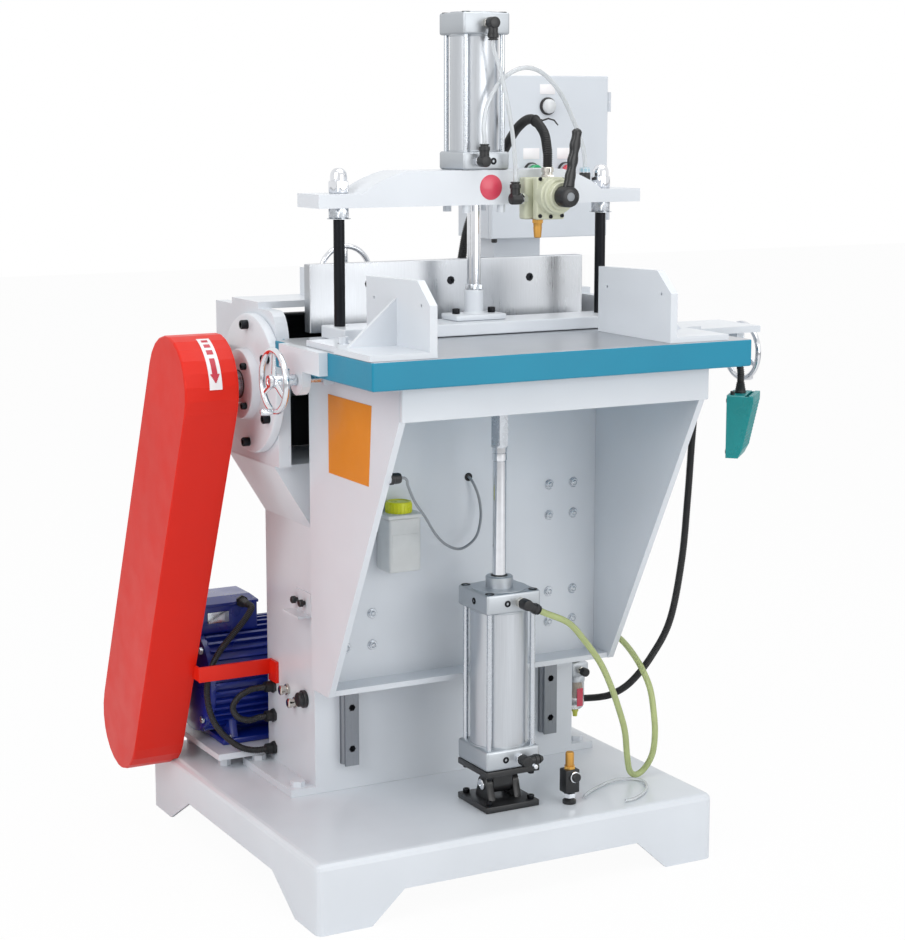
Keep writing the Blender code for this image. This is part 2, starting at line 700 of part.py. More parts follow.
def settle(item):
    """Apply the modifiers of an object and weld what they left loose."""
    shape = bmesh.new()
    shape.from_mesh(evaluated_mesh(item))
    bmesh.ops.remove_doubles(shape, verts=shape.verts, dist=MERGE)
    bmesh.ops.dissolve_degenerate(shape, edges=shape.edges, dist=MERGE)
    bmesh.ops.recalc_face_normals(shape, faces=shape.faces)
    item.modifiers.clear()
    shape.to_mesh(item.data)
    shape.free()
    return item


def box(name, x, y, z):
    """A block between two places on each axis."""
    low = Vector((min(x), min(y), min(z)))
    high = Vector((max(x), max(y), max(z)))
    shape = bmesh.new()
    bmesh.ops.create_cube(shape, size=1)
    bmesh.ops.scale(shape, vec=high - low, verts=shape.verts)
    return keep(name, shape, (low + high) / 2)


def rod(name, axis, place, radius, start, end, sides=ROUND_SIDES):
    """A round bar along an axis from start to end. Place gives the other two coordinates."""
    shape = bmesh.new()
    bmesh.ops.create_cone(shape, cap_ends=True, segments=sides, radius1=radius, radius2=radius,
                          depth=abs(end - start))
    bmesh.ops.transform(shape, matrix=turn_to(axis), verts=shape.verts)
    middle = Vector(place)
    middle["XYZ".index(axis)] = (start + end) / 2
    return keep(name, shape, middle)


def hexagon(name, axis, place, across, start, end):
    """A hexagonal bar, across being the size over its flats."""
    return rod(name, axis, place, across / math.sqrt(3), start, end, 6)


def turned(name, axis, place, profile, sides=ROUND_SIDES):
    """A turned piece. Its profile is a list of radius and distance along the axis from place."""
    mesh = bpy.data.meshes.new(name)
    points = [(radius, 0, along) for radius, along in profile]
    closed = points[0][0] > 0
    edges = [(i, i + 1) for i in range(len(points) - 1)]
    if closed:
        edges.append((len(points) - 1, 0))
    mesh.from_pydata(points, edges, [])
    item = bpy.data.objects.new(name, mesh)
    machine.objects.link(item)
    screw = item.modifiers.new("turn", 'SCREW')
    screw.axis = 'Z'
    screw.steps = sides
    screw.render_steps = sides
    screw.use_merge_vertices = True
    screw.merge_threshold = MERGE
    settle(item)
    item.data.transform(turn_to(axis))
    item.location = place
    return item


def plate(name, axis, outlines, start, end):
    """A flat outline, with holes as further outlines, that fills the space from start to end.

    Outlines square to X are given as (y, z), square to Y as (x, z) and square to Z as (x, y).
    """
    curve = bpy.data.curves.new(name, 'CURVE')
    curve.dimensions = '2D'
    curve.fill_mode = 'BOTH'
    curve.extrude = abs(end - start) / 2
    for outline in outlines:
        spline = curve.splines.new('POLY')
        spline.points.add(len(outline) - 1)
        spline.use_cyclic_u = True
        for point, (u, v) in zip(spline.points, outline):
            point.co = (u, v, 0, 1)
    drawn = bpy.data.objects.new(name, curve)
    machine.objects.link(drawn)
    mesh = evaluated_mesh(drawn)
    bpy.data.objects.remove(drawn)
    item = bpy.data.objects.new(name, mesh)
    machine.objects.link(item)
    settle(item)
    item.data.transform(sheet_to(axis))
    place = Vector((0, 0, 0))
    place["XYZ".index(axis)] = (start + end) / 2
    item.location = place
    return item


def boolean(item, tool, operation):
    """Cut a tool from an object or join it on, and remove the tool."""
    step = item.modifiers.new("shape", 'BOOLEAN')
    step.operation = operation
    step.object = tool
    settle(item)
    bpy.data.objects.remove(tool)
    return item


def cut(item, *tools):
    """Cut each tool from the object."""
    for tool in tools:
        boolean(item, tool, 'DIFFERENCE')
    return item


def join(item, *others):
    """Fuse the others with the object."""
    for other in others:
        boolean(item, other, 'UNION')
    return item


def mirrored(name, item):
    """A copy of an object on the other side of the middle plane."""
    mesh = item.data.copy()
    mesh.transform(Matrix.Translation(item.location))
    mesh.transform(Matrix.Scale(-1, 4, (1, 0, 0)))
    mesh.flip_normals()
    copy = bpy.data.objects.new(name, mesh)
    machine.objects.link(copy)
    return copy


def bevelled(item, width, segments=2, limit_deg=60):
    """Round the sharp edges of an object."""
    step = item.modifiers.new("round", 'BEVEL')
    step.width = width
    step.segments = segments
    step.limit_method = 'ANGLE'
    step.angle_limit = math.radians(limit_deg)
    return settle(item)


def clear_of(radius, sides=ROUND_SIDES):
    """The radius of a faceted bore whose flats clear a round bar of this radius by the gap."""
    return (radius + GAP) / math.cos(math.pi / sides)


def within(radius, sides=ROUND_SIDES):
    """The radius of a round bar that fits a faceted bore of this radius with the gap."""
    return radius * math.cos(math.pi / sides) - GAP


def arc(centre, radius, start_deg, end_deg, steps):
    """Points on a circle or, with a pair of radii, on an ellipse."""
    across, up = radius if isinstance(radius, tuple) else (radius, radius)
    points = []
    for i in range(steps + 1):
        angle = math.radians(start_deg + (end_deg - start_deg) * i / steps)
        points.append((centre[0] + across * math.cos(angle), centre[1] + up * math.sin(angle)))
    return points


def polar(centre, radius, deg):
    """One point on a circle."""
    angle = math.radians(deg)
    return (centre[0] + radius * math.cos(angle), centre[1] + radius * math.sin(angle))


def circle(centre, radius, sides):
    """A closed round outline."""
    return arc(centre, radius, 0, 360 - 360 / sides, sides - 1)


def obround(start, start_radius, end, end_radius, steps):
    """The outline of a belt or strap round two circles."""
    run = Vector(end) - Vector(start)
    heading = math.degrees(math.atan2(run.y, run.x))
    spread = math.degrees(math.acos((start_radius - end_radius) / run.length))
    return (arc(end, end_radius, heading - spread, heading + spread, steps)
            + arc(start, start_radius, heading + spread, heading + 360 - spread, steps))


def along(centre, points):
    """Outline points moved to a centre."""
    return [(centre[0] + u, centre[1] + v) for u, v in points]


def bar_between(name, start, end, radius, sides=SMALL_SIDES):
    """A round bar from one point to another."""
    run = end - start
    shape = bmesh.new()
    bmesh.ops.create_cone(shape, cap_ends=True, segments=sides, radius1=radius, radius2=radius,
                          depth=run.length)
    turn = run.to_track_quat('Z', 'Y').to_matrix().to_4x4()
    bmesh.ops.transform(shape, matrix=turn, verts=shape.verts)
    return keep(name, shape, (start + end) / 2)


def add_gland(item, name, port, normal, radius, length=GLAND_LENGTH):
    """Join a straight gland to a piece and note where its cord leaves."""
    port = Vector(port)
    normal = Vector(normal).normalized()
    end = port + normal * length
    join(item, bar_between("gland", port - normal * SEAT_DEPTH, end, radius))
    ports[name] = (end + normal * GAP, normal)


def add_elbow(item, name, port, normal, outlet):
    """Join a push-in elbow to a piece and note where its hose leaves.

    Port is a point on the face that it screws into, normal the way out of that face.
    """
    port = Vector(port)
    normal = Vector(normal).normalized()
    outlet = Vector(outlet).normalized()
    corner = port + normal * (ELBOW_STEM_LENGTH + ELBOW_BODY_RADIUS)
    end = corner + outlet * ELBOW_ARM_LENGTH
    join(item, bar_between("stem", port - normal * SEAT_DEPTH,
                           corner + normal * ELBOW_STEM_RADIUS, ELBOW_STEM_RADIUS),
         bar_between("arm", corner - outlet * ELBOW_STEM_RADIUS, end, ELBOW_BODY_RADIUS))
    ports[name] = (end + outlet * GAP, outlet)


# Bodies: an empty on each joint's axis, all under one root

root = bpy.data.objects.new("machine_root", None)
machine.objects.link(root)
bodies = {}
ports = {}                      # where each cord leaves, and which way


def body(name, place):
    """An empty that carries the pieces of one moving body."""
    empty = bpy.data.objects.new(name, None)
    empty.location = place
    empty.parent = root
    machine.objects.link(empty)
    bodies[name] = empty
    return empty


def fit(item, carrier, material, smooth_deg=30):
    """Give a piece its material, shading and carrier."""
    item.data.materials.clear()
    item.data.materials.append(material)
    if item.type == 'MESH':
        item.data.shade_smooth()
        item.data.set_sharp_from_angle(angle=math.radians(smooth_deg))
    item.parent = carrier
    item.matrix_parent_inverse = Matrix.Translation(carrier.location).inverted()
    return item


frame = body("frame", (0, 0, 0))
knee = body("knee", (0, 0, TABLE_LOW))
clamp = body("clamp", (0, -CLAMP_FORWARD, BAR_LOW))


# Base

def make_base():
    left = -BASE_LEFT_REACH
    right = left + BASE_WIDTH
    front = -BASE_FRONT_REACH
    back = front + BASE_DEPTH
    sides = BASE_HEIGHT - ARCH_HEIGHT
    shell = box("base_frame", (left, right), (front, back), (-BASE_ROUND * 2, BASE_TOP))
    bevelled(shell, BASE_ROUND, 3)
    cut(shell, box("floor", (left - sides, right + sides), (front - sides, back + sides),
                   (-sides, 0)))
    inside = box("inside", (left + BASE_SHEET, right - BASE_SHEET),
                 (front + BASE_SHEET, back - BASE_SHEET), (-OVERRUN, BASE_TOP - BASE_SHEET))
    cut(shell, inside)
    front_arch = [(left + FRONT_FOOT, -OVERRUN), (left + FRONT_FOOT, 0),
                  (left + FRONT_FOOT + FRONT_ARCH_SLOPE, ARCH_HEIGHT),
                  (right - FRONT_FOOT - FRONT_ARCH_SLOPE, ARCH_HEIGHT),
                  (right - FRONT_FOOT, 0), (right - FRONT_FOOT, -OVERRUN)]
    side_arch = [(front + SIDE_FOOT, -OVERRUN), (front + SIDE_FOOT, 0),
                 (front + SIDE_FOOT + SIDE_ARCH_SLOPE, ARCH_HEIGHT),
                 (back - SIDE_FOOT - SIDE_ARCH_SLOPE, ARCH_HEIGHT),
                 (back - SIDE_FOOT, 0), (back - SIDE_FOOT, -OVERRUN)]
    cut(shell, plate("arch", "Y", [front_arch], front - sides, back + sides),
        plate("arch", "X", [side_arch], left - sides, right + sides))
    fit(shell, frame, white_paint)


# Column with its guide rails

def column_outline(shrink, low, high):
    """The column seen from the front, drawn in by shrink."""
    waist = COLUMN_WIDTH / 2 - shrink
    top = SADDLE_WIDTH / 2 - shrink
    start = COLUMN_FOOT + FLARE_START
    end = start + FLARE_RISE
    return [(-waist, low), (waist, low), (waist, start), (top, end), (top, high),
            (-top, high), (-top, end), (-waist, start)]


def make_column():
    column = plate("column", "Y", [column_outline(0, COLUMN_FOOT, SADDLE_TOP)], 0, COLUMN_DEPTH)
    reach = COLUMN_WIDTH / 2 + FOOT_FLANGE_REACH
    flange_back = COLUMN_DEPTH + FOOT_FLANGE_THICK
    flange = box("flange", (-reach, reach), (GAP, flange_back),
                 (COLUMN_FOOT, COLUMN_FOOT + FOOT_FLANGE_THICK))
    join(column, flange)
    hollow = plate("hollow", "Y",
                   [column_outline(COLUMN_WALL, COLUMN_FOOT - OVERRUN, SADDLE_TOP - COLUMN_WALL)],
                   COLUMN_WALL, COLUMN_DEPTH - COLUMN_WALL)
    cut(column, hollow)
    side = -COLUMN_WIDTH / 2
    shelf_low = BASE_TOP + SHELF_HEIGHT
    join(column, box("upright", (side - SHELF_THICK, side + GAP),
                     (SHELF_BACK, SHELF_BACK + SHELF_DEPTH), (shelf_low, shelf_low + SHELF_RISE)))
    join(column, box("shelf", (side - SHELF_WIDTH, side - SHELF_THICK / 2),
                     (SHELF_BACK, SHELF_BACK + SHELF_DEPTH), (shelf_low, shelf_low + SHELF_THICK)))
    bolt_low = COLUMN_FOOT + FOOT_FLANGE_THICK
    for x in (-reach + FOOT_BOLT_INSET, reach - FOOT_BOLT_INSET):
        for y in (FOOT_BOLT_INSET, flange_back - FOOT_BOLT_INSET):
            join(column, hexagon("bolt", "Z", (x, y, 0), FOOT_BOLT_ACROSS, bolt_low - GAP,
                                 bolt_low + FOOT_BOLT_HEIGHT))
    add_gland(column, "pedal foot", (-side, PEDAL_PORT_BACK, PEDAL_PORT_HEIGHT), (1, 0, 0),
              PEDAL_GLAND_RADIUS)
    for name, height in zip(("motor feed", "loop top", "loop foot"), MOTOR_PORT_HEIGHTS):
        add_gland(column, name, (side, MOTOR_PORT_BACK, height), (-1, 0, 0), MOTOR_GLAND_RADIUS)
    fit(column, frame, white_paint)


def make_rails():
    half = RAIL_WIDTH / 2
    waist = half - RAIL_WAIST
    step = (RAIL_HEIGHT - RAIL_WAIST_HEIGHT) / 2
    section = [(-half, -GAP), (half, -GAP), (half, -step), (waist, -step - RAIL_WAIST),
               (waist, -RAIL_HEIGHT + step), (half, -RAIL_HEIGHT + step - RAIL_WAIST),
               (half, -RAIL_HEIGHT), (-half, -RAIL_HEIGHT),
               (-half, -RAIL_HEIGHT + step - RAIL_WAIST), (-waist, -RAIL_HEIGHT + step),
               (-waist, -step - RAIL_WAIST), (-half, -step)]
    low = BASE_TOP + RAIL_BOTTOM
    count = int((RAIL_LENGTH - RAIL_HOLE_START) / RAIL_HOLE_PITCH) + 1
    for side, name in ((-1, "guide_rail_left"), (1, "guide_rail_right")):
        centre = (side * RAIL_SPACING / 2, 0)
        rail = plate(name, "Z", [along(centre, section)], low, low + RAIL_LENGTH)
        for i in range(count):
            z = low + RAIL_HOLE_START + i * RAIL_HOLE_PITCH
            cut(rail, rod("hole", "Y", (centre[0], 0, z), RAIL_HOLE_RADIUS,
                          -RAIL_HEIGHT - OVERRUN, -RAIL_HEIGHT + RAIL_HOLE_DEPTH, PIN_SIDES))
        fit(rail, frame, ground_steel)


# Knee and table

def add_carriages(back):
    """Bolt the four carriages behind the back plate, with their screws in front of it."""
    half = CARRIAGE_WIDTH / 2
    slot = RAIL_WIDTH / 2 + GAP
    ceiling = -RAIL_HEIGHT - GAP
    seat = KNEE_BACK - GAP
    section = [(-half, seat), (half, seat), (half, -CARRIAGE_LIFT), (slot, -CARRIAGE_LIFT),
               (slot, ceiling), (-slot, ceiling), (-slot, -CARRIAGE_LIFT), (-half, -CARRIAGE_LIFT)]
    head = KNEE_FRONT - CARRIAGE_SCREW_HEIGHT
    for side in (-1, 1):
        for height in CARRIAGE_HEIGHTS:
            x = side * RAIL_SPACING / 2
            z = BASE_TOP + height
            join(back, plate("carriage", "Z", [along((x, 0), section)],
                             z - CARRIAGE_LENGTH / 2, z + CARRIAGE_LENGTH / 2))
            for dx in (-CARRIAGE_SCREW_ACROSS / 2, CARRIAGE_SCREW_ACROSS / 2):
                for dz in (-CARRIAGE_SCREW_ALONG / 2, CARRIAGE_SCREW_ALONG / 2):
                    join(back, rod("screw", "Y", (x + dx, 0, z + dz), CARRIAGE_SCREW_HEAD, head,
                                   KNEE_FRONT + GAP, PIN_SIDES))


def make_knee():
    half = KNEE_WIDTH / 2
    inner = half - GUSSET_THICK - GAP
    lip = [(KNEE_BACK, KNEE_LOW), (KNEE_BACK, KNEE_TOP), (KNEE_FRONT, KNEE_TOP),
           (KNEE_FRONT, KNEE_LOW + KNEE_LIP_THICK),
           (KNEE_FRONT - KNEE_LIP_REACH, KNEE_LOW + KNEE_LIP_THICK),
           (KNEE_FRONT - KNEE_LIP_REACH, KNEE_LOW)]
    back = plate("knee_back_plate", "X", [lip], -inner, inner)
    cut(back, rod("hole", "Y", (CABLE_HOLE_SIDE, 0, TABLE_LOW - CABLE_HOLE_DROP),
                  CABLE_HOLE_RADIUS, KNEE_FRONT - OVERRUN, KNEE_BACK + OVERRUN, PIN_SIDES))
    add_carriages(back)
    fit(back, knee, white_paint)

    apron_back = APRON_FRONT + APRON_THICK
    apron_low = KNEE_TOP - APRON_HEIGHT
    frame_side = [(KNEE_BACK, KNEE_LOW), (KNEE_BACK, KNEE_TOP), (apron_back - GAP, KNEE_TOP),
                  (apron_back - GAP, apron_low), (KNEE_BACK - GUSSET_FOOT, KNEE_LOW)]
    apron = box("knee_gussets", (-half, half), (APRON_FRONT, apron_back), (apron_low, KNEE_TOP))
    bevelled(apron, APRON_ROUND)
    join(apron, plate("gusset", "X", [frame_side], half - GUSSET_THICK, half),
         plate("gusset", "X", [frame_side], -half, GUSSET_THICK - half))
    add_gland(apron, "switch", (GUSSET_THICK - half, -SWITCH_FORWARD, TABLE_LOW - SWITCH_DROP),
              (1, 0, 0), SWITCH_GLAND_RADIUS)
    fit(apron, knee, white_paint)


def make_table():
    half = TABLE_WIDTH / 2
    slab = box("table_plate", (-half, half), (TABLE_FRONT, TABLE_BACK), (TABLE_LOW, TABLE_TOP))
    bevelled(slab, TABLE_EDGE_ROUND)
    inside = box("inside", (-half + TABLE_SKIRT, half - TABLE_SKIRT),
                 (TABLE_FRONT + TABLE_SKIRT, TABLE_BACK - TABLE_SKIRT),
                 (TABLE_LOW - OVERRUN, TABLE_INSIDE))
    cut(slab, inside)
    slot_half = STOP_NUT_WIDTH / 2 + STOP_TRAVEL + GAP * 2
    for side in (-1, 1):
        x = side * STOP_NUT_SIDE
        cut(slab, box("slot", (x - slot_half, x + slot_half),
                      (-STOP_SCREW_FORWARD - STOP_NUT_DEPTH / 2 - GAP,
                       -STOP_SCREW_FORWARD + STOP_NUT_DEPTH / 2 + GAP),
                      (TABLE_INSIDE - OVERRUN, TABLE_TOP + OVERRUN)))
        cut(slab, box("corner", (side * (SADDLE_WIDTH / 2 - GAP), side * (half + OVERRUN)),
                      (TABLE_BACK - TABLE_NOTCH, TABLE_BACK + OVERRUN),
                      (TABLE_LOW - OVERRUN, TABLE_TOP + OVERRUN)))
        cut(slab, rod("socket", "Z", (side * STUD_SPACING / 2, -CLAMP_FORWARD, 0),
                      STUD_RADIUS + GAP, TABLE_TOP - STUD_SOCKET, TABLE_TOP + OVERRUN))
    fit(slab, knee, teal_paint)


def make_oil_tank():
    left = TANK_SIDE - TANK_WIDTH / 2
    right = TANK_SIDE + TANK_WIDTH / 2
    back = KNEE_FRONT - GAP
    front = back - TANK_DEPTH
    low = TABLE_LOW - TANK_DROP - TANK_HEIGHT
    top = low + TANK_HEIGHT
    tank = bevelled(box("oil_tank", (left, right), (front, back), (low, top)), TANK_LID_EDGE)
    lid = box("lid", (left - TANK_LID_EDGE, right + TANK_LID_EDGE), (front - TANK_LID_EDGE, back),
              (top - GAP, top + TANK_LID_THICK))
    centre = (TANK_SIDE, (front + back) / 2, 0)
    neck = rod("cap", "Z", centre, TANK_CAP_RADIUS, top, top + TANK_LID_THICK + TANK_CAP_HEIGHT)
    join(tank, lid, neck)
    fit(tank, knee, clear_plastic)


# Lift cylinder on its clevis, with the piston rod that pushes the knee up

def square_head(name, centre, size, low, high, bore):
    """A square cylinder head with rounded corners and a bore for the rod."""
    half = size / 2
    corner = size / 10
    outline = []
    for turn, (sx, sy) in enumerate(((1, 1), (-1, 1), (-1, -1), (1, -1))):
        middle = (centre[0] + sx * (half - corner), centre[1] + sy * (half - corner))
        outline += arc(middle, corner, 90 * turn, 90 * turn + 90, 3)
    outlines = [outline]
    if bore:
        outlines.append(circle(centre, bore, ROUND_SIDES))
    return plate(name, "Z", outlines, low, high)


def tube(name, centre, radius, wall, low, high, sides=FINE_SIDES):
    """An upright tube."""
    outlines = [circle(centre, radius, sides), circle(centre, radius - wall, sides)]
    return plate(name, "Z", outlines, low, high)


def tie_rods(centre, spread, radius, low, high):
    """Four tie rods at the corners of a cylinder."""
    rods = []
    for sx in (-1, 1):
        for sy in (-1, 1):
            place = (centre[0] + sx * spread, centre[1] + sy * spread, 0)
            rods.append(rod("tie", "Z", place, radius, low, high, PIN_SIDES))
    return rods


def add_rear_clevis(cylinder, centre, pin_height):
    """The half of the clevis that is bolted under the lift cylinder."""
    half = CLEVIS_SQUARE / 2
    head_low = LIFT_FOOT - CLEVIS_PLATE
    inner = CLEVIS_EAR_GAP / 2 - GAP
    round_low = arc((centre[1], pin_height), CLEVIS_EAR_RADIUS, 180, 360, 6)
    tongue = round_low + [(centre[1] + CLEVIS_EAR_RADIUS, head_low + GAP),
                          (centre[1] - CLEVIS_EAR_RADIUS, head_low + GAP)]
    join(cylinder, box("hanger", (-half, half), (centre[1] - half, centre[1] + half),
                       (head_low, LIFT_FOOT + GAP)), plate("tongue", "X", [tongue], -inner, inner))
    cut(cylinder, rod("hole", "X", (0, centre[1], pin_height), CLEVIS_PIN_RADIUS + GAP,
                      -half, half, SMALL_SIDES))


def make_lift_cylinder():
    centre = (0, -LIFT_FORWARD)
    bore = clear_of(LIFT_ROD_RADIUS)
    cylinder = square_head("lift_cylinder", centre, LIFT_SQUARE, LIFT_INNER_TOP, LIFT_TOP, bore)
    join(cylinder, tube("neck", centre, LIFT_NECK_RADIUS, LIFT_NECK_RADIUS - bore,
                        LIFT_TOP - GAP, LIFT_TOP + LIFT_NECK_HEIGHT, ROUND_SIDES))
    low = LIFT_INNER_LOW - GAP
    high = LIFT_INNER_TOP + GAP
    join(cylinder, tube("barrel", centre, LIFT_BARREL_RADIUS, LIFT_BARREL_WALL, low, high),
         square_head("head", centre, LIFT_SQUARE, LIFT_FOOT, LIFT_INNER_LOW, 0))
    join(cylinder, *tie_rods(centre, LIFT_SQUARE / 2 - LIFT_TIE_INSET, LIFT_TIE_RADIUS, low, high))
    pin_height = BASE_TOP + GAP + CLEVIS_PIN_LIFT
    add_rear_clevis(cylinder, centre, pin_height)
    face = centre[1] - LIFT_SQUARE / 2
    add_elbow(cylinder, "lift top", (LIFT_PORT_SIDE, face, LIFT_TOP - LIFT_HEAD / 2), (0, -1, 0),
              LIFT_HOSE_WAY)
    add_elbow(cylinder, "lift foot", (LIFT_PORT_SIDE, face, LIFT_FOOT + LIFT_HEAD / 2),
              (0, -1, 0), (1, 0, 0))
    fit(cylinder, frame, anodised)

    piston_top = LIFT_INNER_TOP - PISTON_TOP_CLEAR
    rod_top = TABLE_INSIDE - GAP - COUPLING_LENGTH
    piston_radius = within(LIFT_BARREL_RADIUS - LIFT_BARREL_WALL, FINE_SIDES)
    profile = [(0, rod_top + GAP), (ROD_COLLAR_RADIUS, rod_top + GAP),
               (ROD_COLLAR_RADIUS, rod_top - ROD_COLLAR_HEIGHT),
               (LIFT_ROD_RADIUS, rod_top - ROD_COLLAR_HEIGHT),
               (LIFT_ROD_RADIUS, piston_top), (piston_radius, piston_top),
               (piston_radius, piston_top - PISTON_THICK), (0, piston_top - PISTON_THICK)]
    piston_rod = turned("lift_rod", "Z", (centre[0], centre[1], 0), profile)
    join(piston_rod, hexagon("coupling", "Z", (centre[0], centre[1], 0), COUPLING_ACROSS,
                             rod_top, TABLE_INSIDE - GAP))
    fit(piston_rod, knee, bright_steel)


def make_clevis():
    """The foot that the lift cylinder stands on, with its pin."""
    centre = (0, -LIFT_FORWARD)
    half = CLEVIS_SQUARE / 2
    foot_low = BASE_TOP + GAP
    foot_top = foot_low + CLEVIS_PLATE
    pin_height = foot_low + CLEVIS_PIN_LIFT
    ear_in = CLEVIS_EAR_GAP / 2
    ear_out = ear_in + CLEVIS_EAR_THICK
    foot = box("clevis_foot", (-half, half), (centre[1] - half, centre[1] + half),
               (foot_low, foot_top))
    ear = [(centre[1] - CLEVIS_EAR_FOOT / 2, foot_top - GAP),
           (centre[1] + CLEVIS_EAR_FOOT / 2, foot_top - GAP)]
    ear += arc((centre[1], pin_height), CLEVIS_EAR_RADIUS, 0, 180, 6)
    end = ear_out + CLEVIS_PIN_HEAD_THICK
    join(foot, plate("ear", "X", [ear], ear_in, ear_out),
         plate("ear", "X", [ear], -ear_in, -ear_out),
         turned("pin", "X", (0, centre[1], pin_height),
                [(0, end), (CLEVIS_PIN_HEAD, end), (CLEVIS_PIN_HEAD, ear_out - GAP),
                 (CLEVIS_PIN_RADIUS, ear_out - GAP), (CLEVIS_PIN_RADIUS, GAP - ear_out),
                 (CLEVIS_PIN_HEAD, GAP - ear_out), (CLEVIS_PIN_HEAD, -end), (0, -end)],
                SMALL_SIDES))
    fit(foot, frame, black_paint)


# Clamp over the table

def beam_outline():
    """The beam seen from the front: level ends, a curved rise and a level middle."""
    half = BEAM_WIDTH / 2
    knee_x = half - BEAM_END_FLAT
    flat = BEAM_FLAT / 2
    rise = arc((flat, BEAM_END_TOP), (knee_x - flat, BEAM_TOP - BEAM_END_TOP), 0, 90, 5)
    right = [(half, BEAM_LOW), (half, BEAM_END_TOP)]
    straight = [(knee_x, BEAM_END_TOP)]
    lift = [(flat + (x - flat), z) for x, z in rise[1:]]
    blend = []
    for i, (x, z) in enumerate(lift):
        share = (i + 1) / len(lift)
        line_x = knee_x + (flat - knee_x) * share
        line_z = BEAM_END_TOP + (BEAM_TOP - BEAM_END_TOP) * share
        blend.append(((x + 2 * line_x) / 3, (z + 2 * line_z) / 3))
    half_outline = right + straight + blend
    return half_outline + [(-x, z) for x, z in reversed(half_outline)]


def make_beam():
    near = -CLAMP_FORWARD - BEAM_DEPTH / 2
    beam = plate("clamp_beam", "Y", [beam_outline()], near, near + BEAM_DEPTH)
    cut(beam, rod("hole", "Z", (0, -CLAMP_FORWARD, 0), BEAM_HOLE_RADIUS, BEAM_LOW - OVERRUN,
                  BEAM_TOP + OVERRUN))
    for side in (-1, 1):
        cut(beam, rod("hole", "Z", (side * STUD_SPACING / 2, -CLAMP_FORWARD, 0),
                      STUD_RADIUS + GAP, BEAM_LOW - OVERRUN, BEAM_TOP + OVERRUN))
    for dx in (-BEAM_SCREW_SPREAD / 2, BEAM_SCREW_SPREAD / 2):
        for dy in (-BEAM_SCREW_SPREAD / 2, BEAM_SCREW_SPREAD / 2):
            join(beam, rod("screw", "Z", (dx, dy - CLAMP_FORWARD, 0), BEAM_SCREW_RADIUS,
                           BEAM_LOW - BEAM_SCREW_HEIGHT, BEAM_LOW + GAP, SMALL_SIDES))
    add_gland(beam, "beam", (BEAM_PORT_SIDE, -CLAMP_FORWARD, BEAM_PORT_HEIGHT), (0, 0, 1),
              ELBOW_BODY_RADIUS, BEAM_PORT_LENGTH)
    fit(beam, knee, white_paint)


def make_studs():
    """The studs that carry the beam, each with a nut below it and a cap nut above."""
    for side, name in ((-1, "clamp_stud_left"), (1, "clamp_stud_right")):
        place = (side * STUD_SPACING / 2, -CLAMP_FORWARD, 0)
        foot = BEAM_END_TOP + GAP
        stud = rod(name, "Z", place, STUD_RADIUS, TABLE_TOP - STUD_SOCKET + GAP, foot + GAP)
        crown = foot + CAP_NUT_HEIGHT - CAP_NUT_RADIUS
        rise = CAP_NUT_RADIUS * math.sin(math.radians(45))
        dome = [(0, crown + CAP_NUT_RADIUS), (rise, crown + rise), (CAP_NUT_RADIUS, crown),
                (CAP_NUT_RADIUS, foot + GAP), (0, foot + GAP)]
        join(stud, hexagon("nut", "Z", place, NUT_ACROSS, BEAM_LOW - GAP - NUT_HEIGHT,
                           BEAM_LOW - GAP),
             hexagon("cap_nut", "Z", place, NUT_ACROSS, foot, foot + CAP_NUT_HEX),
             turned("dome", "Z", place, dome, SMALL_SIDES))
        fit(stud, knee, black_oxide)


def make_press_cylinder():
    centre = (0, -CLAMP_FORWARD)
    bore = clear_of(PRESS_ROD_RADIUS)
    cylinder = square_head("clamp_cylinder", centre, PRESS_SQUARE, PRESS_FOOT, PRESS_INNER_LOW,
                           bore)
    low = PRESS_INNER_LOW - GAP
    high = PRESS_INNER_TOP + GAP
    join(cylinder, tube("barrel", centre, PRESS_BARREL_RADIUS, PRESS_BARREL_WALL, low, high),
         square_head("head", centre, PRESS_SQUARE, PRESS_INNER_TOP, PRESS_TOP, 0))
    join(cylinder, *tie_rods(centre, PRESS_SQUARE / 2 - PRESS_TIE_INSET, PRESS_TIE_RADIUS, low,
                             high))
    face = centre[1] - PRESS_SQUARE / 2
    add_elbow(cylinder, "press top", (0, face, PRESS_TOP - PRESS_HEAD_TOP / 2), (0, -1, 0),
              (0, 0, -1))
    add_elbow(cylinder, "press foot", (PRESS_PORT_SIDE, face, PRESS_FOOT + PRESS_HEAD_LOW / 2),
              (0, -1, 0), (0, 0, 1))
    fit(cylinder, knee, anodised)


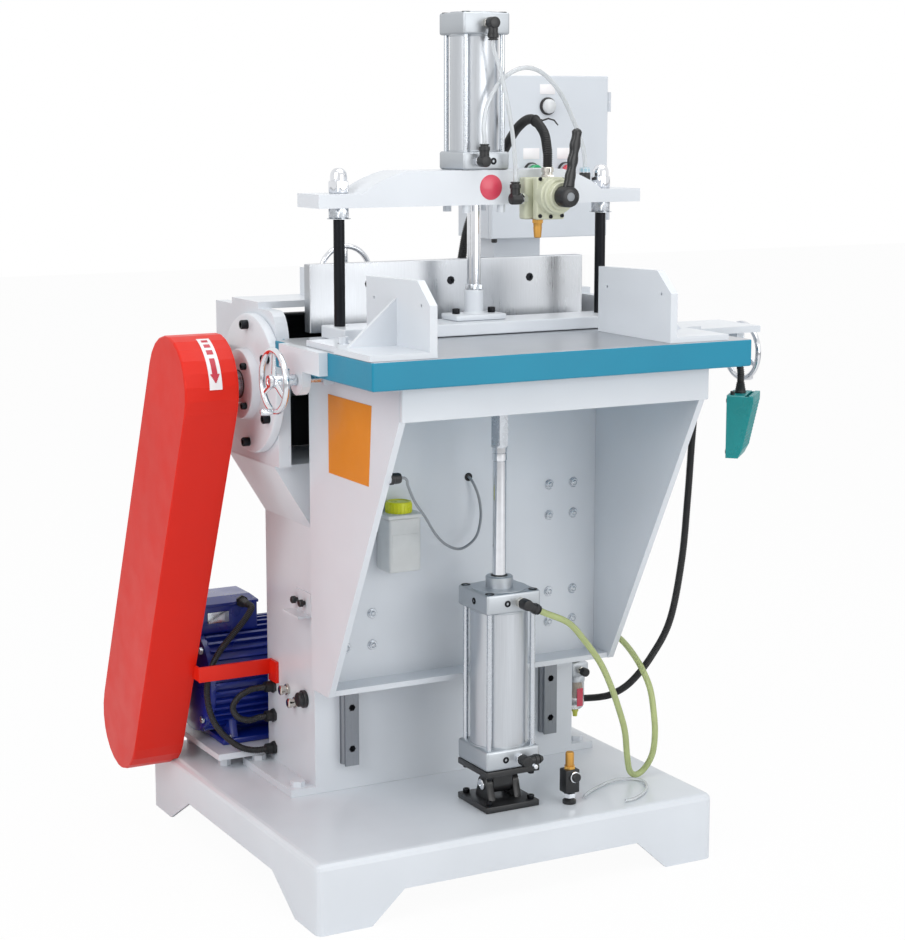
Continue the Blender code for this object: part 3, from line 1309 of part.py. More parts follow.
def make_clamp_foot():
    centre = (0, -CLAMP_FORWARD, 0)
    foot_low = BAR_TOP + GAP
    neck_top = foot_low + CLAMP_FLANGE_THICK + CLAMP_NECK_HEIGHT
    nut_low = neck_top + GAP
    rod_low = foot_low + CLAMP_FLANGE_THICK
    half = CLAMP_FLANGE_WIDTH / 2
    deep = CLAMP_FLANGE_DEPTH / 2
    flange = box("clamp_foot", (-half, half), (centre[1] - deep, centre[1] + deep),
                 (foot_low, foot_low + CLAMP_FLANGE_THICK))
    bevelled(flange, CLAMP_FLANGE_THICK / 5)
    join(flange, rod("neck", "Z", centre, CLAMP_NECK_RADIUS, foot_low + GAP, neck_top))
    cut(flange, rod("bore", "Z", centre, clear_of(PRESS_ROD_RADIUS), rod_low,
                    neck_top + OVERRUN))
    piston_low = PRESS_INNER_LOW + PISTON_TOP_CLEAR
    piston_radius = within(PRESS_BARREL_RADIUS - PRESS_BARREL_WALL, FINE_SIDES)
    nut = CLAMP_NUT_ACROSS / 2
    profile = [(0, piston_low + PISTON_THICK), (piston_radius, piston_low + PISTON_THICK),
               (piston_radius, piston_low), (PRESS_ROD_RADIUS, piston_low),
               (PRESS_ROD_RADIUS, nut_low + CLAMP_NUT_HEIGHT), (nut, nut_low + CLAMP_NUT_HEIGHT),
               (nut, nut_low), (PRESS_ROD_RADIUS, nut_low), (PRESS_ROD_RADIUS, rod_low + GAP),
               (0, rod_low + GAP)]
    fit(turned("clamp_rod", "Z", centre, profile), clamp, bright_steel)
    screws = []
    for x in (-CLAMP_SCREW_SIDE, CLAMP_SCREW_SIDE):
        screws.append(rod("screw", "Z", (x, centre[1], 0), CLAMP_SCREW_RADIUS,
                          foot_low + CLAMP_FLANGE_THICK - GAP,
                          foot_low + CLAMP_FLANGE_THICK + CLAMP_SCREW_HEIGHT, SMALL_SIDES))
    join(flange, *screws)
    fit(flange, clamp, white_paint)

    bar = box("press_bar", (-PRESS_BAR_WIDTH / 2, PRESS_BAR_WIDTH / 2),
              (-PRESS_BAR_FRONT, -PRESS_BAR_REAR), (BAR_LOW, BAR_TOP))
    bevelled(bar, CLAMP_FLANGE_THICK / 5)
    for side in (-1, 1):
        cut(bar, rod("guide", "Z", (side * STUD_SPACING / 2, -CLAMP_FORWARD, 0),
                     STUD_RADIUS + GAP, BAR_LOW - OVERRUN, BAR_TOP + OVERRUN))
    fit(bar, clamp, white_paint)


# Side stops with their screws and handwheels

def make_stop(name, face, side):
    """A side stop. Side is -1 on the left and 1 on the right, where its foot lies outboard."""
    low = TABLE_TOP + GAP
    top = low + STOP_HEIGHT
    outer = face + side * STOP_THICK
    outline = [(-STOP_BACK, low), (-STOP_BACK, top - STOP_SLOPE),
               (-STOP_FRONT + STOP_CHAMFER_RUN, top), (-STOP_FRONT, top - STOP_CHAMFER_DROP),
               (-STOP_FRONT, low)]
    stop = plate(name, "X", [outline], face, outer)
    nut_x = side * STOP_NUT_SIDE
    nut_front = -STOP_SCREW_FORWARD - STOP_NUT_DEPTH / 2
    nut_back = nut_front + STOP_NUT_DEPTH
    seam = outer - side * GAP
    far = outer + side * STOP_FOOT_WIDTH
    foot_back = -STOP_FRONT + STOP_FOOT_DEPTH
    tongue_in = nut_x - side * STOP_TONGUE_WIDTH / 2
    tongue_out = nut_x + side * STOP_TONGUE_WIDTH / 2
    foot = [(seam, -STOP_FRONT), (far, -STOP_FRONT), (far, foot_back), (tongue_out, foot_back),
            (tongue_out, nut_back), (tongue_in, nut_back), (tongue_in, foot_back),
            (seam, foot_back)]
    join(stop, plate("foot", "Z", [foot], low, low + STOP_FOOT_THICK))
    rib_back = -STOP_BACK - STOP_RIB_BACK
    rib = [(seam, low + GAP), (far - side * STOP_RIB_THICK, low + GAP),
           (seam, low + STOP_RIB_HEIGHT)]
    join(stop, plate("rib", "Y", [rib], rib_back - STOP_RIB_THICK, rib_back))
    join(stop, box("nut", (nut_x - STOP_NUT_WIDTH / 2, nut_x + STOP_NUT_WIDTH / 2),
                   (nut_front, nut_back), (SCREW_HEIGHT - STOP_NUT_DEPTH / 2 - GAP, low + GAP)))
    join(stop, rod("bolt", "Z", (nut_x, -STOP_BOLT_FORWARD, 0), STOP_BOLT_RADIUS, low + GAP,
                   low + STOP_FOOT_THICK + STOP_BOLT_HEIGHT, SMALL_SIDES))
    holes = [(-STOP_BACK - STOP_HOLE_INSET, top - STOP_HOLE_DROP),
             (-STOP_FRONT + STOP_HOLE_INSET, top - STOP_HOLE_DROP)]
    for y, z in holes:
        cut(stop, rod("hole", "X", (0, y, z), STOP_HOLE_RADIUS, face - side * OVERRUN,
                      outer + side * OVERRUN, PIN_SIDES))
    bore = clear_of(STOP_SCREW_RADIUS, SMALL_SIDES)
    cut(stop, rod("thread", "X", (0, -STOP_SCREW_FORWARD, SCREW_HEIGHT), bore,
                  nut_x - STOP_NUT_WIDTH, nut_x + STOP_NUT_WIDTH, SMALL_SIDES))
    carrier = body(name + "_slide", (face, -STOP_SCREW_FORWARD, SCREW_HEIGHT))
    fit(stop, carrier, white_paint)


def make_wheel(name, axis, place, outward, screw_size, boss_length):
    """A handwheel with its rim, spokes, hub, turning knob and the screw that it drives.

    Outward is 1 or -1, the way from the machine along the axis. Screw_size holds the screw's
    radius and its far end along the axis.
    """
    centre = Vector(place)
    index = "XYZ".index(axis)
    section = arc((WHEEL_RADIUS - WHEEL_RIM, 0), WHEEL_RIM, 0, -360 + 60, 5)
    wheel = turned(name, axis, place, section, FINE_SIDES)
    hub_in = centre[index] - outward * WHEEL_HUB_LENGTH / 2
    hub_out = centre[index] + outward * WHEEL_HUB_LENGTH / 2
    hub = rod("hub", axis, place, WHEEL_HUB_RADIUS, hub_in, hub_out, SMALL_SIDES)
    join(hub, rod("boss", axis, place, WHEEL_BOSS_RADIUS, hub_in - outward * boss_length,
                  hub_in + outward * GAP, SMALL_SIDES))
    for i in range(WHEEL_SPOKES):
        turn = math.radians(WHEEL_START_DEG + 360 * i / WHEEL_SPOKES)
        spoke = rod("spoke", "Z", (0, 0, 0), WHEEL_SPOKE, WHEEL_HUB_RADIUS / 2,
                    WHEEL_RADIUS - WHEEL_RIM, SPOKE_SIDES)
        spoke.data.transform(Matrix.Translation(spoke.location))
        spoke.data.transform(Matrix.Rotation(math.radians(90), 4, 'Y'))
        spoke.data.transform(turn_to(axis) @ Matrix.Rotation(turn, 4, 'Z'))
        spoke.location = centre
        join(hub, spoke)
    radius, end = screw_size
    join(hub, rod("screw", axis, place, radius, centre[index], end, SMALL_SIDES))
    join(wheel, hub)
    knob_place = centre.copy()
    knob_place.z = centre.z - WHEEL_RADIUS + WHEEL_RIM
    join(wheel, rod("knob", axis, knob_place, WHEEL_KNOB_RADIUS, centre[index],
                    centre[index] + outward * WHEEL_KNOB_LENGTH, SMALL_SIDES))
    fit(wheel, body(name + "_axis", place), bright_steel)


def make_arms():
    half = TABLE_WIDTH / 2 + GAP
    lug_back = -STOP_SCREW_FORWARD + ARM_LUG_RADIUS
    lug_front = -STOP_SCREW_FORWARD - ARM_LUG_RADIUS
    arm = box("stop_arm_left", (-half - ARM_THICK, -half), (-ARM_FRONT, -ARM_BACK),
              (TABLE_TOP - ARM_LEFT_HEIGHT, TABLE_TOP))
    lug = [(lug_back, TABLE_TOP - ARM_LEFT_HEIGHT / 2)]
    lug += arc((-STOP_SCREW_FORWARD, SCREW_HEIGHT), ARM_LUG_RADIUS, 0, -180, 8)
    lug += [(lug_front, TABLE_TOP - ARM_LEFT_HEIGHT / 2)]
    join(arm, plate("lug", "X", [lug], -half - ARM_THICK, -half))

    reach = half + ARM_RIGHT_REACH
    right = [(half, TABLE_LOW), (half, TABLE_TOP), (reach, TABLE_TOP),
             (reach, SCREW_HEIGHT - ARM_LUG_RADIUS),
             (reach - ARM_RIGHT_LUG, SCREW_HEIGHT - ARM_LUG_RADIUS),
             (reach - ARM_RIGHT_LUG, TABLE_TOP - ARM_RIGHT_PLATE),
             (half + ARM_THICK, TABLE_TOP - ARM_RIGHT_PLATE), (half + ARM_THICK, TABLE_LOW)]
    long_arm = plate("stop_arm_right", "Y", [right], -ARM_FRONT + ARM_THICK, -ARM_BACK - ARM_THICK)
    trim = plate("trim", "X", [[(-ARM_FRONT, SCREW_HEIGHT - ARM_LUG_RADIUS * 2),
                                (-ARM_FRONT, TABLE_TOP - ARM_RIGHT_PLATE),
                                (lug_front, TABLE_TOP - ARM_RIGHT_PLATE),
                                (lug_front, SCREW_HEIGHT - ARM_LUG_RADIUS * 2)]],
                 reach - ARM_RIGHT_LUG - GAP, reach + OVERRUN)
    trim_back = plate("trim", "X", [[(lug_back, SCREW_HEIGHT - ARM_LUG_RADIUS * 2),
                                     (lug_back, TABLE_TOP - ARM_RIGHT_PLATE),
                                     (0, TABLE_TOP - ARM_RIGHT_PLATE),
                                     (0, SCREW_HEIGHT - ARM_LUG_RADIUS * 2)]],
                      reach - ARM_RIGHT_LUG - GAP, reach + OVERRUN)
    cut(long_arm, trim, trim_back)
    bore = clear_of(STOP_SCREW_RADIUS, SMALL_SIDES)
    place = (0, -STOP_SCREW_FORWARD, SCREW_HEIGHT)
    cut(arm, rod("bore", "X", place, bore, -half - ARM_THICK - OVERRUN, -half + OVERRUN,
                 SMALL_SIDES))
    cut(long_arm, rod("bore", "X", place, bore, reach - ARM_RIGHT_LUG - OVERRUN,
                      reach + OVERRUN, SMALL_SIDES))
    fit(arm, knee, white_paint)
    fit(long_arm, knee, white_paint)


# Bearing walls, housings, spindle and cutters

def make_head_frame():
    """Two bearing walls with the bridge over the hood that guides the fence."""
    front = -WALL_FRONT_REACH
    corner = arc((front + WALL_CORNER_RUN, WALL_TOP - WALL_CORNER_RISE),
                 (WALL_CORNER_RUN, WALL_CORNER_RISE), 180, 90, 6)
    outline = [(WALL_BACK, WALL_FOOT), (front, WALL_FOOT)] + corner + [(WALL_BACK, WALL_TOP)]
    outer = SADDLE_WIDTH / 2
    bore = circle((SPINDLE_BACK, SPINDLE_HEIGHT), HOUSING_SPIGOT + GAP, FINE_SIDES)
    bridge = box("head_frame", (-outer, outer), (BRIDGE_FRONT, BRIDGE_BACK),
                 (WALL_TOP - GAP, WALL_TOP + BRIDGE_THICK))
    join(bridge, plate("wall", "X", [outline, bore], outer - WALL_THICK, outer),
         plate("wall", "X", [outline, bore], -outer, WALL_THICK - outer))
    block_back = BRIDGE_BLOCK_FRONT + BRIDGE_BLOCK_DEPTH
    block_half = BRIDGE_BLOCK_WIDTH / 2
    join(bridge, box("block", (-block_half, block_half), (BRIDGE_BLOCK_FRONT, block_back),
                     (WALL_TOP + GAP, FENCE_ROD_HEIGHT + BRIDGE_BLOCK_COVER)))
    bores = ((-FENCE_ROD_SPACING / 2, FENCE_ROD_RADIUS + GAP),
             (FENCE_ROD_SPACING / 2, FENCE_ROD_RADIUS + GAP),
             (FENCE_NUT_SIDE, clear_of(FENCE_SCREW_RADIUS, SMALL_SIDES)))
    for x, radius in bores:
        cut(bridge, rod("bore", "Y", (x, 0, FENCE_ROD_HEIGHT), radius,
                        BRIDGE_BLOCK_FRONT - OVERRUN, block_back + OVERRUN, SMALL_SIDES))
    add_gland(bridge, "conduit foot", (VALVE_PORT_SIDE, VALVE_PORT_BACK,
                                       WALL_TOP + BRIDGE_THICK), (0, 0, 1), VALVE_ADAPTER_RADIUS)
    fit(bridge, frame, white_paint)


def make_housings():
    outer = SADDLE_WIDTH / 2 + GAP
    place = (0, SPINDLE_BACK, SPINDLE_HEIGHT)
    bore = ARBOR_JOURNAL + GAP
    inner = SADDLE_WIDTH / 2 - WALL_THICK - HOUSING_LEAD
    face = outer + HOUSING_THICK
    cover = face + COVER_THICK
    profile = [(bore, cover), (COVER_RADIUS - HOUSING_ROUND, cover),
               (COVER_RADIUS, cover - HOUSING_ROUND), (COVER_RADIUS, face),
               (HOUSING_RADIUS - HOUSING_ROUND, face), (HOUSING_RADIUS, face - HOUSING_ROUND),
               (HOUSING_RADIUS, outer), (HOUSING_SPIGOT, outer), (HOUSING_SPIGOT, inner),
               (bore, inner)]
    right = turned("bearing_housing_right", "X", place, profile, FINE_SIDES)
    circles = ((FLANGE_SCREWS, FLANGE_SCREW_CIRCLE, FLANGE_SCREW_RADIUS, face,
                FLANGE_SCREW_HEIGHT),
               (COVER_SCREWS, COVER_SCREW_CIRCLE, COVER_SCREW_RADIUS, cover, COVER_SCREW_HEIGHT))
    for count, circle_radius, radius, seat, height in circles:
        for i in range(count):
            y, z = polar((SPINDLE_BACK, SPINDLE_HEIGHT), circle_radius, 360 * (i + 0.5) / count)
            join(right, rod("screw", "X", (0, y, z), radius, seat - GAP, seat + height,
                            PIN_SIDES))
    fit(mirrored("bearing_housing_left", right), frame, white_paint)
    fit(right, frame, white_paint)


def stack_places():
    """The middle of each cutter along the arbor."""
    middle = (STOP_LEFT_FACE + STOP_RIGHT_FACE) / 2
    first = middle - CUTTER_PITCH * (CUTTER_COUNT - 1) / 2
    return [first + CUTTER_PITCH * i for i in range(CUTTER_COUNT)]


def make_spindle():
    place = (0, SPINDLE_BACK, SPINDLE_HEIGHT)
    places = stack_places()
    stack_left = places[0] - CUTTER_WIDTH / 2 - GAP
    stack_right = places[-1] + CUTTER_WIDTH / 2 + GAP
    inner = SADDLE_WIDTH / 2 - WALL_THICK - HOUSING_LEAD - GAP
    tail = SADDLE_WIDTH / 2 + GAP + HOUSING_THICK + COVER_THICK + ARBOR_TAIL
    pulley_right = -GUARD_INNER_LEFT - GUARD_PLATE_THICK - OVERRUN
    pulley_left = pulley_right - pulley_width()
    profile = [(0, tail), (ARBOR_JOURNAL, tail), (ARBOR_JOURNAL, inner), (ARBOR_RADIUS, inner),
               (ARBOR_RADIUS, stack_right + ARBOR_COLLAR_THICK),
               (ARBOR_COLLAR, stack_right + ARBOR_COLLAR_THICK), (ARBOR_COLLAR, stack_right),
               (ARBOR_RADIUS, stack_right), (ARBOR_RADIUS, stack_left),
               (ARBOR_COLLAR, stack_left), (ARBOR_COLLAR, stack_left - ARBOR_COLLAR_THICK),
               (ARBOR_RADIUS, stack_left - ARBOR_COLLAR_THICK), (ARBOR_RADIUS, -inner),
               (ARBOR_JOURNAL, -inner), (ARBOR_JOURNAL, pulley_right + GAP),
               (ARBOR_PULLEY_SEAT, pulley_right + GAP), (ARBOR_PULLEY_SEAT, pulley_left),
               (0, pulley_left)]
    carrier = body("spindle", place)
    fit(turned("spindle_arbor", "X", place, profile), carrier, bright_steel)

    centre = (SPINDLE_BACK, SPINDLE_HEIGHT)
    step = 360 / CUTTER_TEETH
    outline = []
    for i in range(CUTTER_TEETH):
        start = step * i
        outline.append(polar(centre, CUTTER_RADIUS, start))
        outline.append(polar(centre, CUTTER_ROOT, start + step * CUTTER_BACK_SHARE))
        outline.append(polar(centre, CUTTER_GULLET, start + step * CUTTER_GULLET_SHARE))
    stack = rod("cutter_stack", "X", place, SPACER_RADIUS, places[0], places[-1])
    for x in places:
        join(stack, plate("cutter", "X", [outline], x - CUTTER_WIDTH / 2,
                          x + CUTTER_WIDTH / 2))
    cut(stack, rod("bore", "X", place, clear_of(ARBOR_RADIUS), stack_left - OVERRUN,
                   stack_right + OVERRUN))
    fit(stack, carrier, ground_steel)

    pulley = make_pulley("spindle_pulley", place, SPINDLE_PULLEY_RADIUS, ARBOR_PULLEY_SEAT + GAP,
                         pulley_left, pulley_right)
    fit(pulley, carrier, black_oxide)
    return pulley_left, pulley_right


def pulley_width():
    return BELT_COUNT * (BELT_WIDTH + PULLEY_LAND) + PULLEY_LAND


def make_pulley(name, place, radius, bore, left, right):
    """A grooved pulley, with square grooves for the belts."""
    profile = [(bore, right - left), (radius, right - left)]
    x = right - left
    for _ in range(BELT_COUNT):
        x -= PULLEY_LAND
        profile += [(radius, x), (radius - PULLEY_GROOVE, x)]
        x -= BELT_WIDTH
        profile += [(radius - PULLEY_GROOVE, x), (radius, x)]
    profile += [(radius, 0), (bore, 0)]
    return turned(name, "X", (left, place[1], place[2]), profile, 18)


def make_hood():
    """A curved sheet behind the cutters, with an outlet for the chips."""
    centre = (SPINDLE_BACK, SPINDLE_HEIGHT)
    start = 180 * HOOD_FRONT_SHARE
    outer = arc(centre, HOOD_RADIUS, start, 0, 10)
    inner = arc(centre, HOOD_RADIUS - HOOD_SHEET, 0, start, 10)
    foot = SADDLE_TOP + GAP
    back = SPINDLE_BACK + HOOD_RADIUS
    outline = outer + [(back, foot), (back - HOOD_SHEET, foot)] + inner
    half = SADDLE_WIDTH / 2 - WALL_THICK - HOUSING_LEAD - HOOD_SHEET
    hood = plate("chip_hood", "X", [outline], -half, half)
    outlet_height = foot + HOOD_OUTLET_RISE
    place = (0, 0, outlet_height)
    join(hood, rod("spout", "Y", place, HOOD_OUTLET_RADIUS, back - HOOD_SHEET + GAP,
                   back + HOOD_OUTLET_LENGTH))
    cut(hood, rod("bore", "Y", place, HOOD_OUTLET_RADIUS - HOOD_SHEET, back - HOOD_SHEET * 3,
                  back + HOOD_OUTLET_LENGTH + OVERRUN))
    fit(hood, frame, black_paint)


# Fence

def make_fence():
    back = FENCE_BACK
    half = FENCE_WIDTH / 2
    block_back = BRIDGE_BLOCK_FRONT + BRIDGE_BLOCK_DEPTH
    fence = box("fence_plate", (-half, half), (FENCE_FRONT_BACK, back), (FENCE_LOW, FENCE_TOP))
    bevelled(fence, FENCE_EDGE_ROUND, 1)
    for side in (-1, 1):
        x = side * FENCE_ROD_SPACING / 2
        join(fence, rod("guide", "Y", (x, 0, FENCE_ROD_HEIGHT), FENCE_ROD_RADIUS, back - GAP,
                        back + FENCE_ROD_LENGTH, SMALL_SIDES))
    nut_place = (FENCE_NUT_SIDE, 0, FENCE_ROD_HEIGHT)
    join(fence, rod("nut", "Y", nut_place, FENCE_NUT_RADIUS, back - GAP,
                    back + FENCE_NUT_LENGTH))
    cut(fence, rod("thread", "Y", nut_place, clear_of(FENCE_SCREW_RADIUS, SMALL_SIDES), back + OVERRUN,
                   back + FENCE_NUT_LENGTH + OVERRUN, SMALL_SIDES))
    for i in (-1, 0, 1):
        place = (i * FENCE_SCREW_SPACING, 0, FENCE_ROD_HEIGHT)
        cut(fence, rod("sink", "Y", place, FENCE_SCREW_HEAD + GAP, FENCE_FRONT_BACK - OVERRUN,
                       FENCE_FRONT_BACK + FENCE_SCREW_SINK, SMALL_SIDES))
    fit(fence, body("fence_slide", (0, FENCE_FRONT_BACK, FENCE_ROD_HEIGHT)), milled_aluminium)

    wheel_place = (FENCE_NUT_SIDE, block_back + FENCE_WHEEL_BACK, FENCE_ROD_HEIGHT)
    screw_tip = back + FENCE_TRAVEL + OVERRUN * 2
    make_wheel("fence_handwheel", "Y", wheel_place, 1, (FENCE_SCREW_RADIUS, screw_tip),
               FENCE_WHEEL_BACK - WHEEL_HUB_LENGTH / 2 - GAP)


# Belt drive, motor and guard

def make_motor():
    place = (0, MOTOR_BACK, MOTOR_HEIGHT)
    centre = (MOTOR_BACK, MOTOR_HEIGHT)
    drive_end = -MOTOR_LEFT
    far_end = drive_end + MOTOR_LENGTH
    middle = (drive_end + far_end) / 2
    outer = MOTOR_RADIUS + MOTOR_FIN
    star = []
    step = 360 / MOTOR_FINS
    for i in range(MOTOR_FINS):
        start = step * i
        end = start + step * MOTOR_FIN_SHARE
        star += [polar(centre, MOTOR_RADIUS, start), polar(centre, outer, start),
                 polar(centre, outer, end), polar(centre, MOTOR_RADIUS, end)]
    motor = plate("motor", "X", [star], drive_end + MOTOR_SHIELD, far_end - MOTOR_COWL)
    shield = [(0, MOTOR_SHIELD + GAP), (MOTOR_SHIELD_RADIUS, MOTOR_SHIELD + GAP),
              (MOTOR_SHIELD_RADIUS, MOTOR_SHIELD / 3), (MOTOR_NOSE_RADIUS, 0), (0, 0)]
    cowl = [(0, MOTOR_COWL), (MOTOR_NOSE_RADIUS, MOTOR_COWL),
            (MOTOR_SHIELD_RADIUS, MOTOR_COWL - MOTOR_SHIELD), (MOTOR_SHIELD_RADIUS, -GAP),
            (0, -GAP)]
    join(motor, turned("shield", "X", (drive_end, place[1], place[2]), shield, FINE_SIDES),
         turned("cowl", "X", (far_end - MOTOR_COWL, place[1], place[2]), cowl, FINE_SIDES))
    bed_low = BASE_TOP + GAP + MOTOR_PLATE_LIFT
    foot_low = bed_low + MOTOR_PLATE_THICK + GAP
    foot_half = MOTOR_FOOT_DEPTH / 2
    join(motor, box("foot", (middle - foot_half, middle + foot_half),
                    (MOTOR_BACK - MOTOR_FOOT_WIDTH / 2, MOTOR_BACK + MOTOR_FOOT_WIDTH / 2),
                    (foot_low, foot_low + MOTOR_FOOT_THICK)),
         box("leg", (middle - MOTOR_FOOT_BLOCK / 2, middle + MOTOR_FOOT_BLOCK / 2),
             (MOTOR_BACK - MOTOR_FOOT_BLOCK / 2, MOTOR_BACK + MOTOR_FOOT_BLOCK / 2),
             (foot_low + GAP, MOTOR_HEIGHT)))
    left = drive_end + TERMINAL_INSET
    join(motor, box("terminals", (left, left + TERMINAL_WIDTH),
                    (MOTOR_BACK - TERMINAL_DEPTH / 2, MOTOR_BACK + TERMINAL_DEPTH / 2),
                    (MOTOR_HEIGHT, MOTOR_HEIGHT + outer + TERMINAL_HEIGHT)))
    cut(motor, rod("bore", "X", place, clear_of(MOTOR_SHAFT_RADIUS, SMALL_SIDES), drive_end - OVERRUN,
                   middle, SMALL_SIDES))
    add_gland(motor, "terminals",
              (left + TERMINAL_WIDTH - TERMINAL_GLAND_INSET, MOTOR_BACK - TERMINAL_DEPTH / 2,
               MOTOR_HEIGHT + outer + TERMINAL_HEIGHT - TERMINAL_GLAND_DROP), (0, -1, 0),
              MOTOR_GLAND_RADIUS)
    fit(motor, frame, blue_paint)

    left = middle - MOTOR_PLATE_WIDTH / 2
    right = middle + MOTOR_PLATE_WIDTH / 2
    step_side = -COLUMN_WIDTH / 2 - GAP
    step_back = COLUMN_DEPTH + GAP
    outline = [(left, MOTOR_PLATE_FRONT), (step_side, MOTOR_PLATE_FRONT), (step_side, step_back),
               (right, step_back), (right, MOTOR_PLATE_BACK), (left, MOTOR_PLATE_BACK)]
    bed = plate("motor_plate", "Z", [outline], bed_low, bed_low + MOTOR_PLATE_THICK)
    for x in (left + MOTOR_NUT_INSET, right - MOTOR_NUT_INSET):
        for y in (MOTOR_PLATE_FRONT + MOTOR_NUT_INSET_DEEP, MOTOR_PLATE_BACK - MOTOR_NUT_INSET):
            join(bed, hexagon("nut", "Z", (x, y, 0), MOTOR_NUT_ACROSS, BASE_TOP + GAP,
                              bed_low + GAP))
    fit(bed, frame, white_paint)


def make_drive(pulley_left, pulley_right):
    place = (0, MOTOR_BACK, MOTOR_HEIGHT)
    carrier = body("motor_shaft", place)
    pulley = make_pulley("pulley", place, MOTOR_PULLEY_RADIUS, 0, pulley_left, pulley_right)
    shaft = rod("shaft", "X", place, MOTOR_SHAFT_RADIUS, pulley_left + GAP,
                -MOTOR_LEFT + MOTOR_LENGTH / 2 - OVERRUN, SMALL_SIDES)
    join(pulley, shaft)
    pulley.name = "motor_pulley"
    fit(pulley, carrier, black_oxide)

    rim = PULLEY_GROOVE - BELT_PROUD
    high = (SPINDLE_BACK, SPINDLE_HEIGHT)
    low = (MOTOR_BACK, MOTOR_HEIGHT)
    flat = math.cos(math.pi / BELT_STEPS / 2)
    outer = obround(high, (SPINDLE_PULLEY_RADIUS + BELT_PROUD + BELT_BAND) / flat, low,
                    (MOTOR_PULLEY_RADIUS + BELT_PROUD + BELT_BAND) / flat, BELT_STEPS)
    rim_line = obround(high, (SPINDLE_PULLEY_RADIUS + BELT_PROUD) / flat, low,
                       (MOTOR_PULLEY_RADIUS + BELT_PROUD) / flat, BELT_STEPS)
    inner = obround(high, (SPINDLE_PULLEY_RADIUS - rim) / flat, low,
                    (MOTOR_PULLEY_RADIUS - rim) / flat, BELT_STEPS)
    first = pulley_left + PULLEY_LAND + GAP
    last = pulley_right - PULLEY_LAND - GAP
    belt = plate("drive_belt", "X", [outer, rim_line], first, last)
    for i in range(BELT_COUNT):
        left = first + i * (BELT_WIDTH + PULLEY_LAND)
        join(belt, plate("strand", "X", [outer, inner], left, left + BELT_WIDTH - GAP * 2))
    fit(belt, frame, belt_rubber)


def make_guard():
    high = Vector((SPINDLE_BACK, SPINDLE_HEIGHT))
    motor = Vector((MOTOR_BACK, MOTOR_HEIGHT))
    low = motor + (motor - high).normalized() * GUARD_EXTEND
    outer = obround(high, GUARD_RADIUS, low, GUARD_RADIUS, 12)
    inner = obround(high, GUARD_RADIUS - GUARD_SHEET, low, GUARD_RADIUS - GUARD_SHEET, 12)
    pan = plate("belt_guard", "X", [outer], -GUARD_LEFT, -GUARD_INNER_LEFT + GUARD_ROUND * 2)
    bevelled(pan, GUARD_ROUND)
    cut(pan, box("trim", (-GUARD_INNER_LEFT, 0), (-GUARD_BACK_REACH, GUARD_BACK_REACH),
                 (0, GUARD_BACK_REACH + SPINDLE_HEIGHT)))
    cut(pan, plate("hollow", "X", [inner], -GUARD_LEFT + GUARD_SHEET,
                   -GUARD_INNER_LEFT + OVERRUN))
    base_edge = box("clear", (-BASE_LEFT_REACH - GAP, 0), (-BASE_FRONT_REACH, BASE_DEPTH),
                    (0, BASE_TOP + GAP))
    cut(pan, base_edge)
    fit(pan, frame, red_paint)

    holes = [circle(high, ARBOR_JOURNAL + GUARD_HOLE_SPARE, ROUND_SIDES),
             circle(motor, MOTOR_SHAFT_RADIUS + GUARD_HOLE_SPARE, ROUND_SIDES)]
    left = -GUARD_INNER_LEFT + GAP
    right = left + GUARD_PLATE_THICK
    lid = plate("guard_back_plate", "X", [outer] + holes, left, right)
    strap_low = SPINDLE_HEIGHT - STRAP_DROP - STRAP_HEIGHT
    strap_top = strap_low + STRAP_HEIGHT
    column_side = -COLUMN_WIDTH / 2 - GAP
    tab = box("tab", (left, right), (STRAP_BACK, MOTOR_BACK), (strap_low, strap_top))
    strap = box("strap", (left, column_side), (STRAP_BACK, STRAP_BACK + STRAP_THICK),
                (strap_low, strap_top))
    hook = box("hook", (column_side - STRAP_THICK, column_side),
               (STRAP_BACK - STRAP_FOOT, STRAP_BACK + STRAP_THICK),
               (strap_low - STRAP_HEIGHT / 2, strap_top))
    cut(tab, rod("hole", "X", (0, motor.x, motor.y), GUARD_RADIUS - GUARD_SHEET * 2,
                 left - OVERRUN, right + OVERRUN))
    cut(lid, box("clear", (-BASE_LEFT_REACH - GAP, 0), (-BASE_FRONT_REACH, BASE_DEPTH),
                 (0, BASE_TOP + GAP)))
    join(lid, tab)
    join(lid, strap, hook)
    fit(lid, frame, red_paint)


# Cabinet with its door, buttons and post

def door_hinges(item, first, last, leaf_x, leaf_y, hinge):
    """Join hinge knuckles to the door or to the case, from first to last along each hinge."""
    for share in (DOOR_HINGE_SHARE, 1 - DOOR_HINGE_SHARE):
        middle = CABINET_LOW + CABINET_HEIGHT * share
        low = middle + first
        high = middle + last
        join(item, rod("knuckle", "Z", hinge, DOOR_HINGE_RADIUS, low, high, SMALL_SIDES),
             box("leaf", leaf_x, leaf_y, (low, high)))


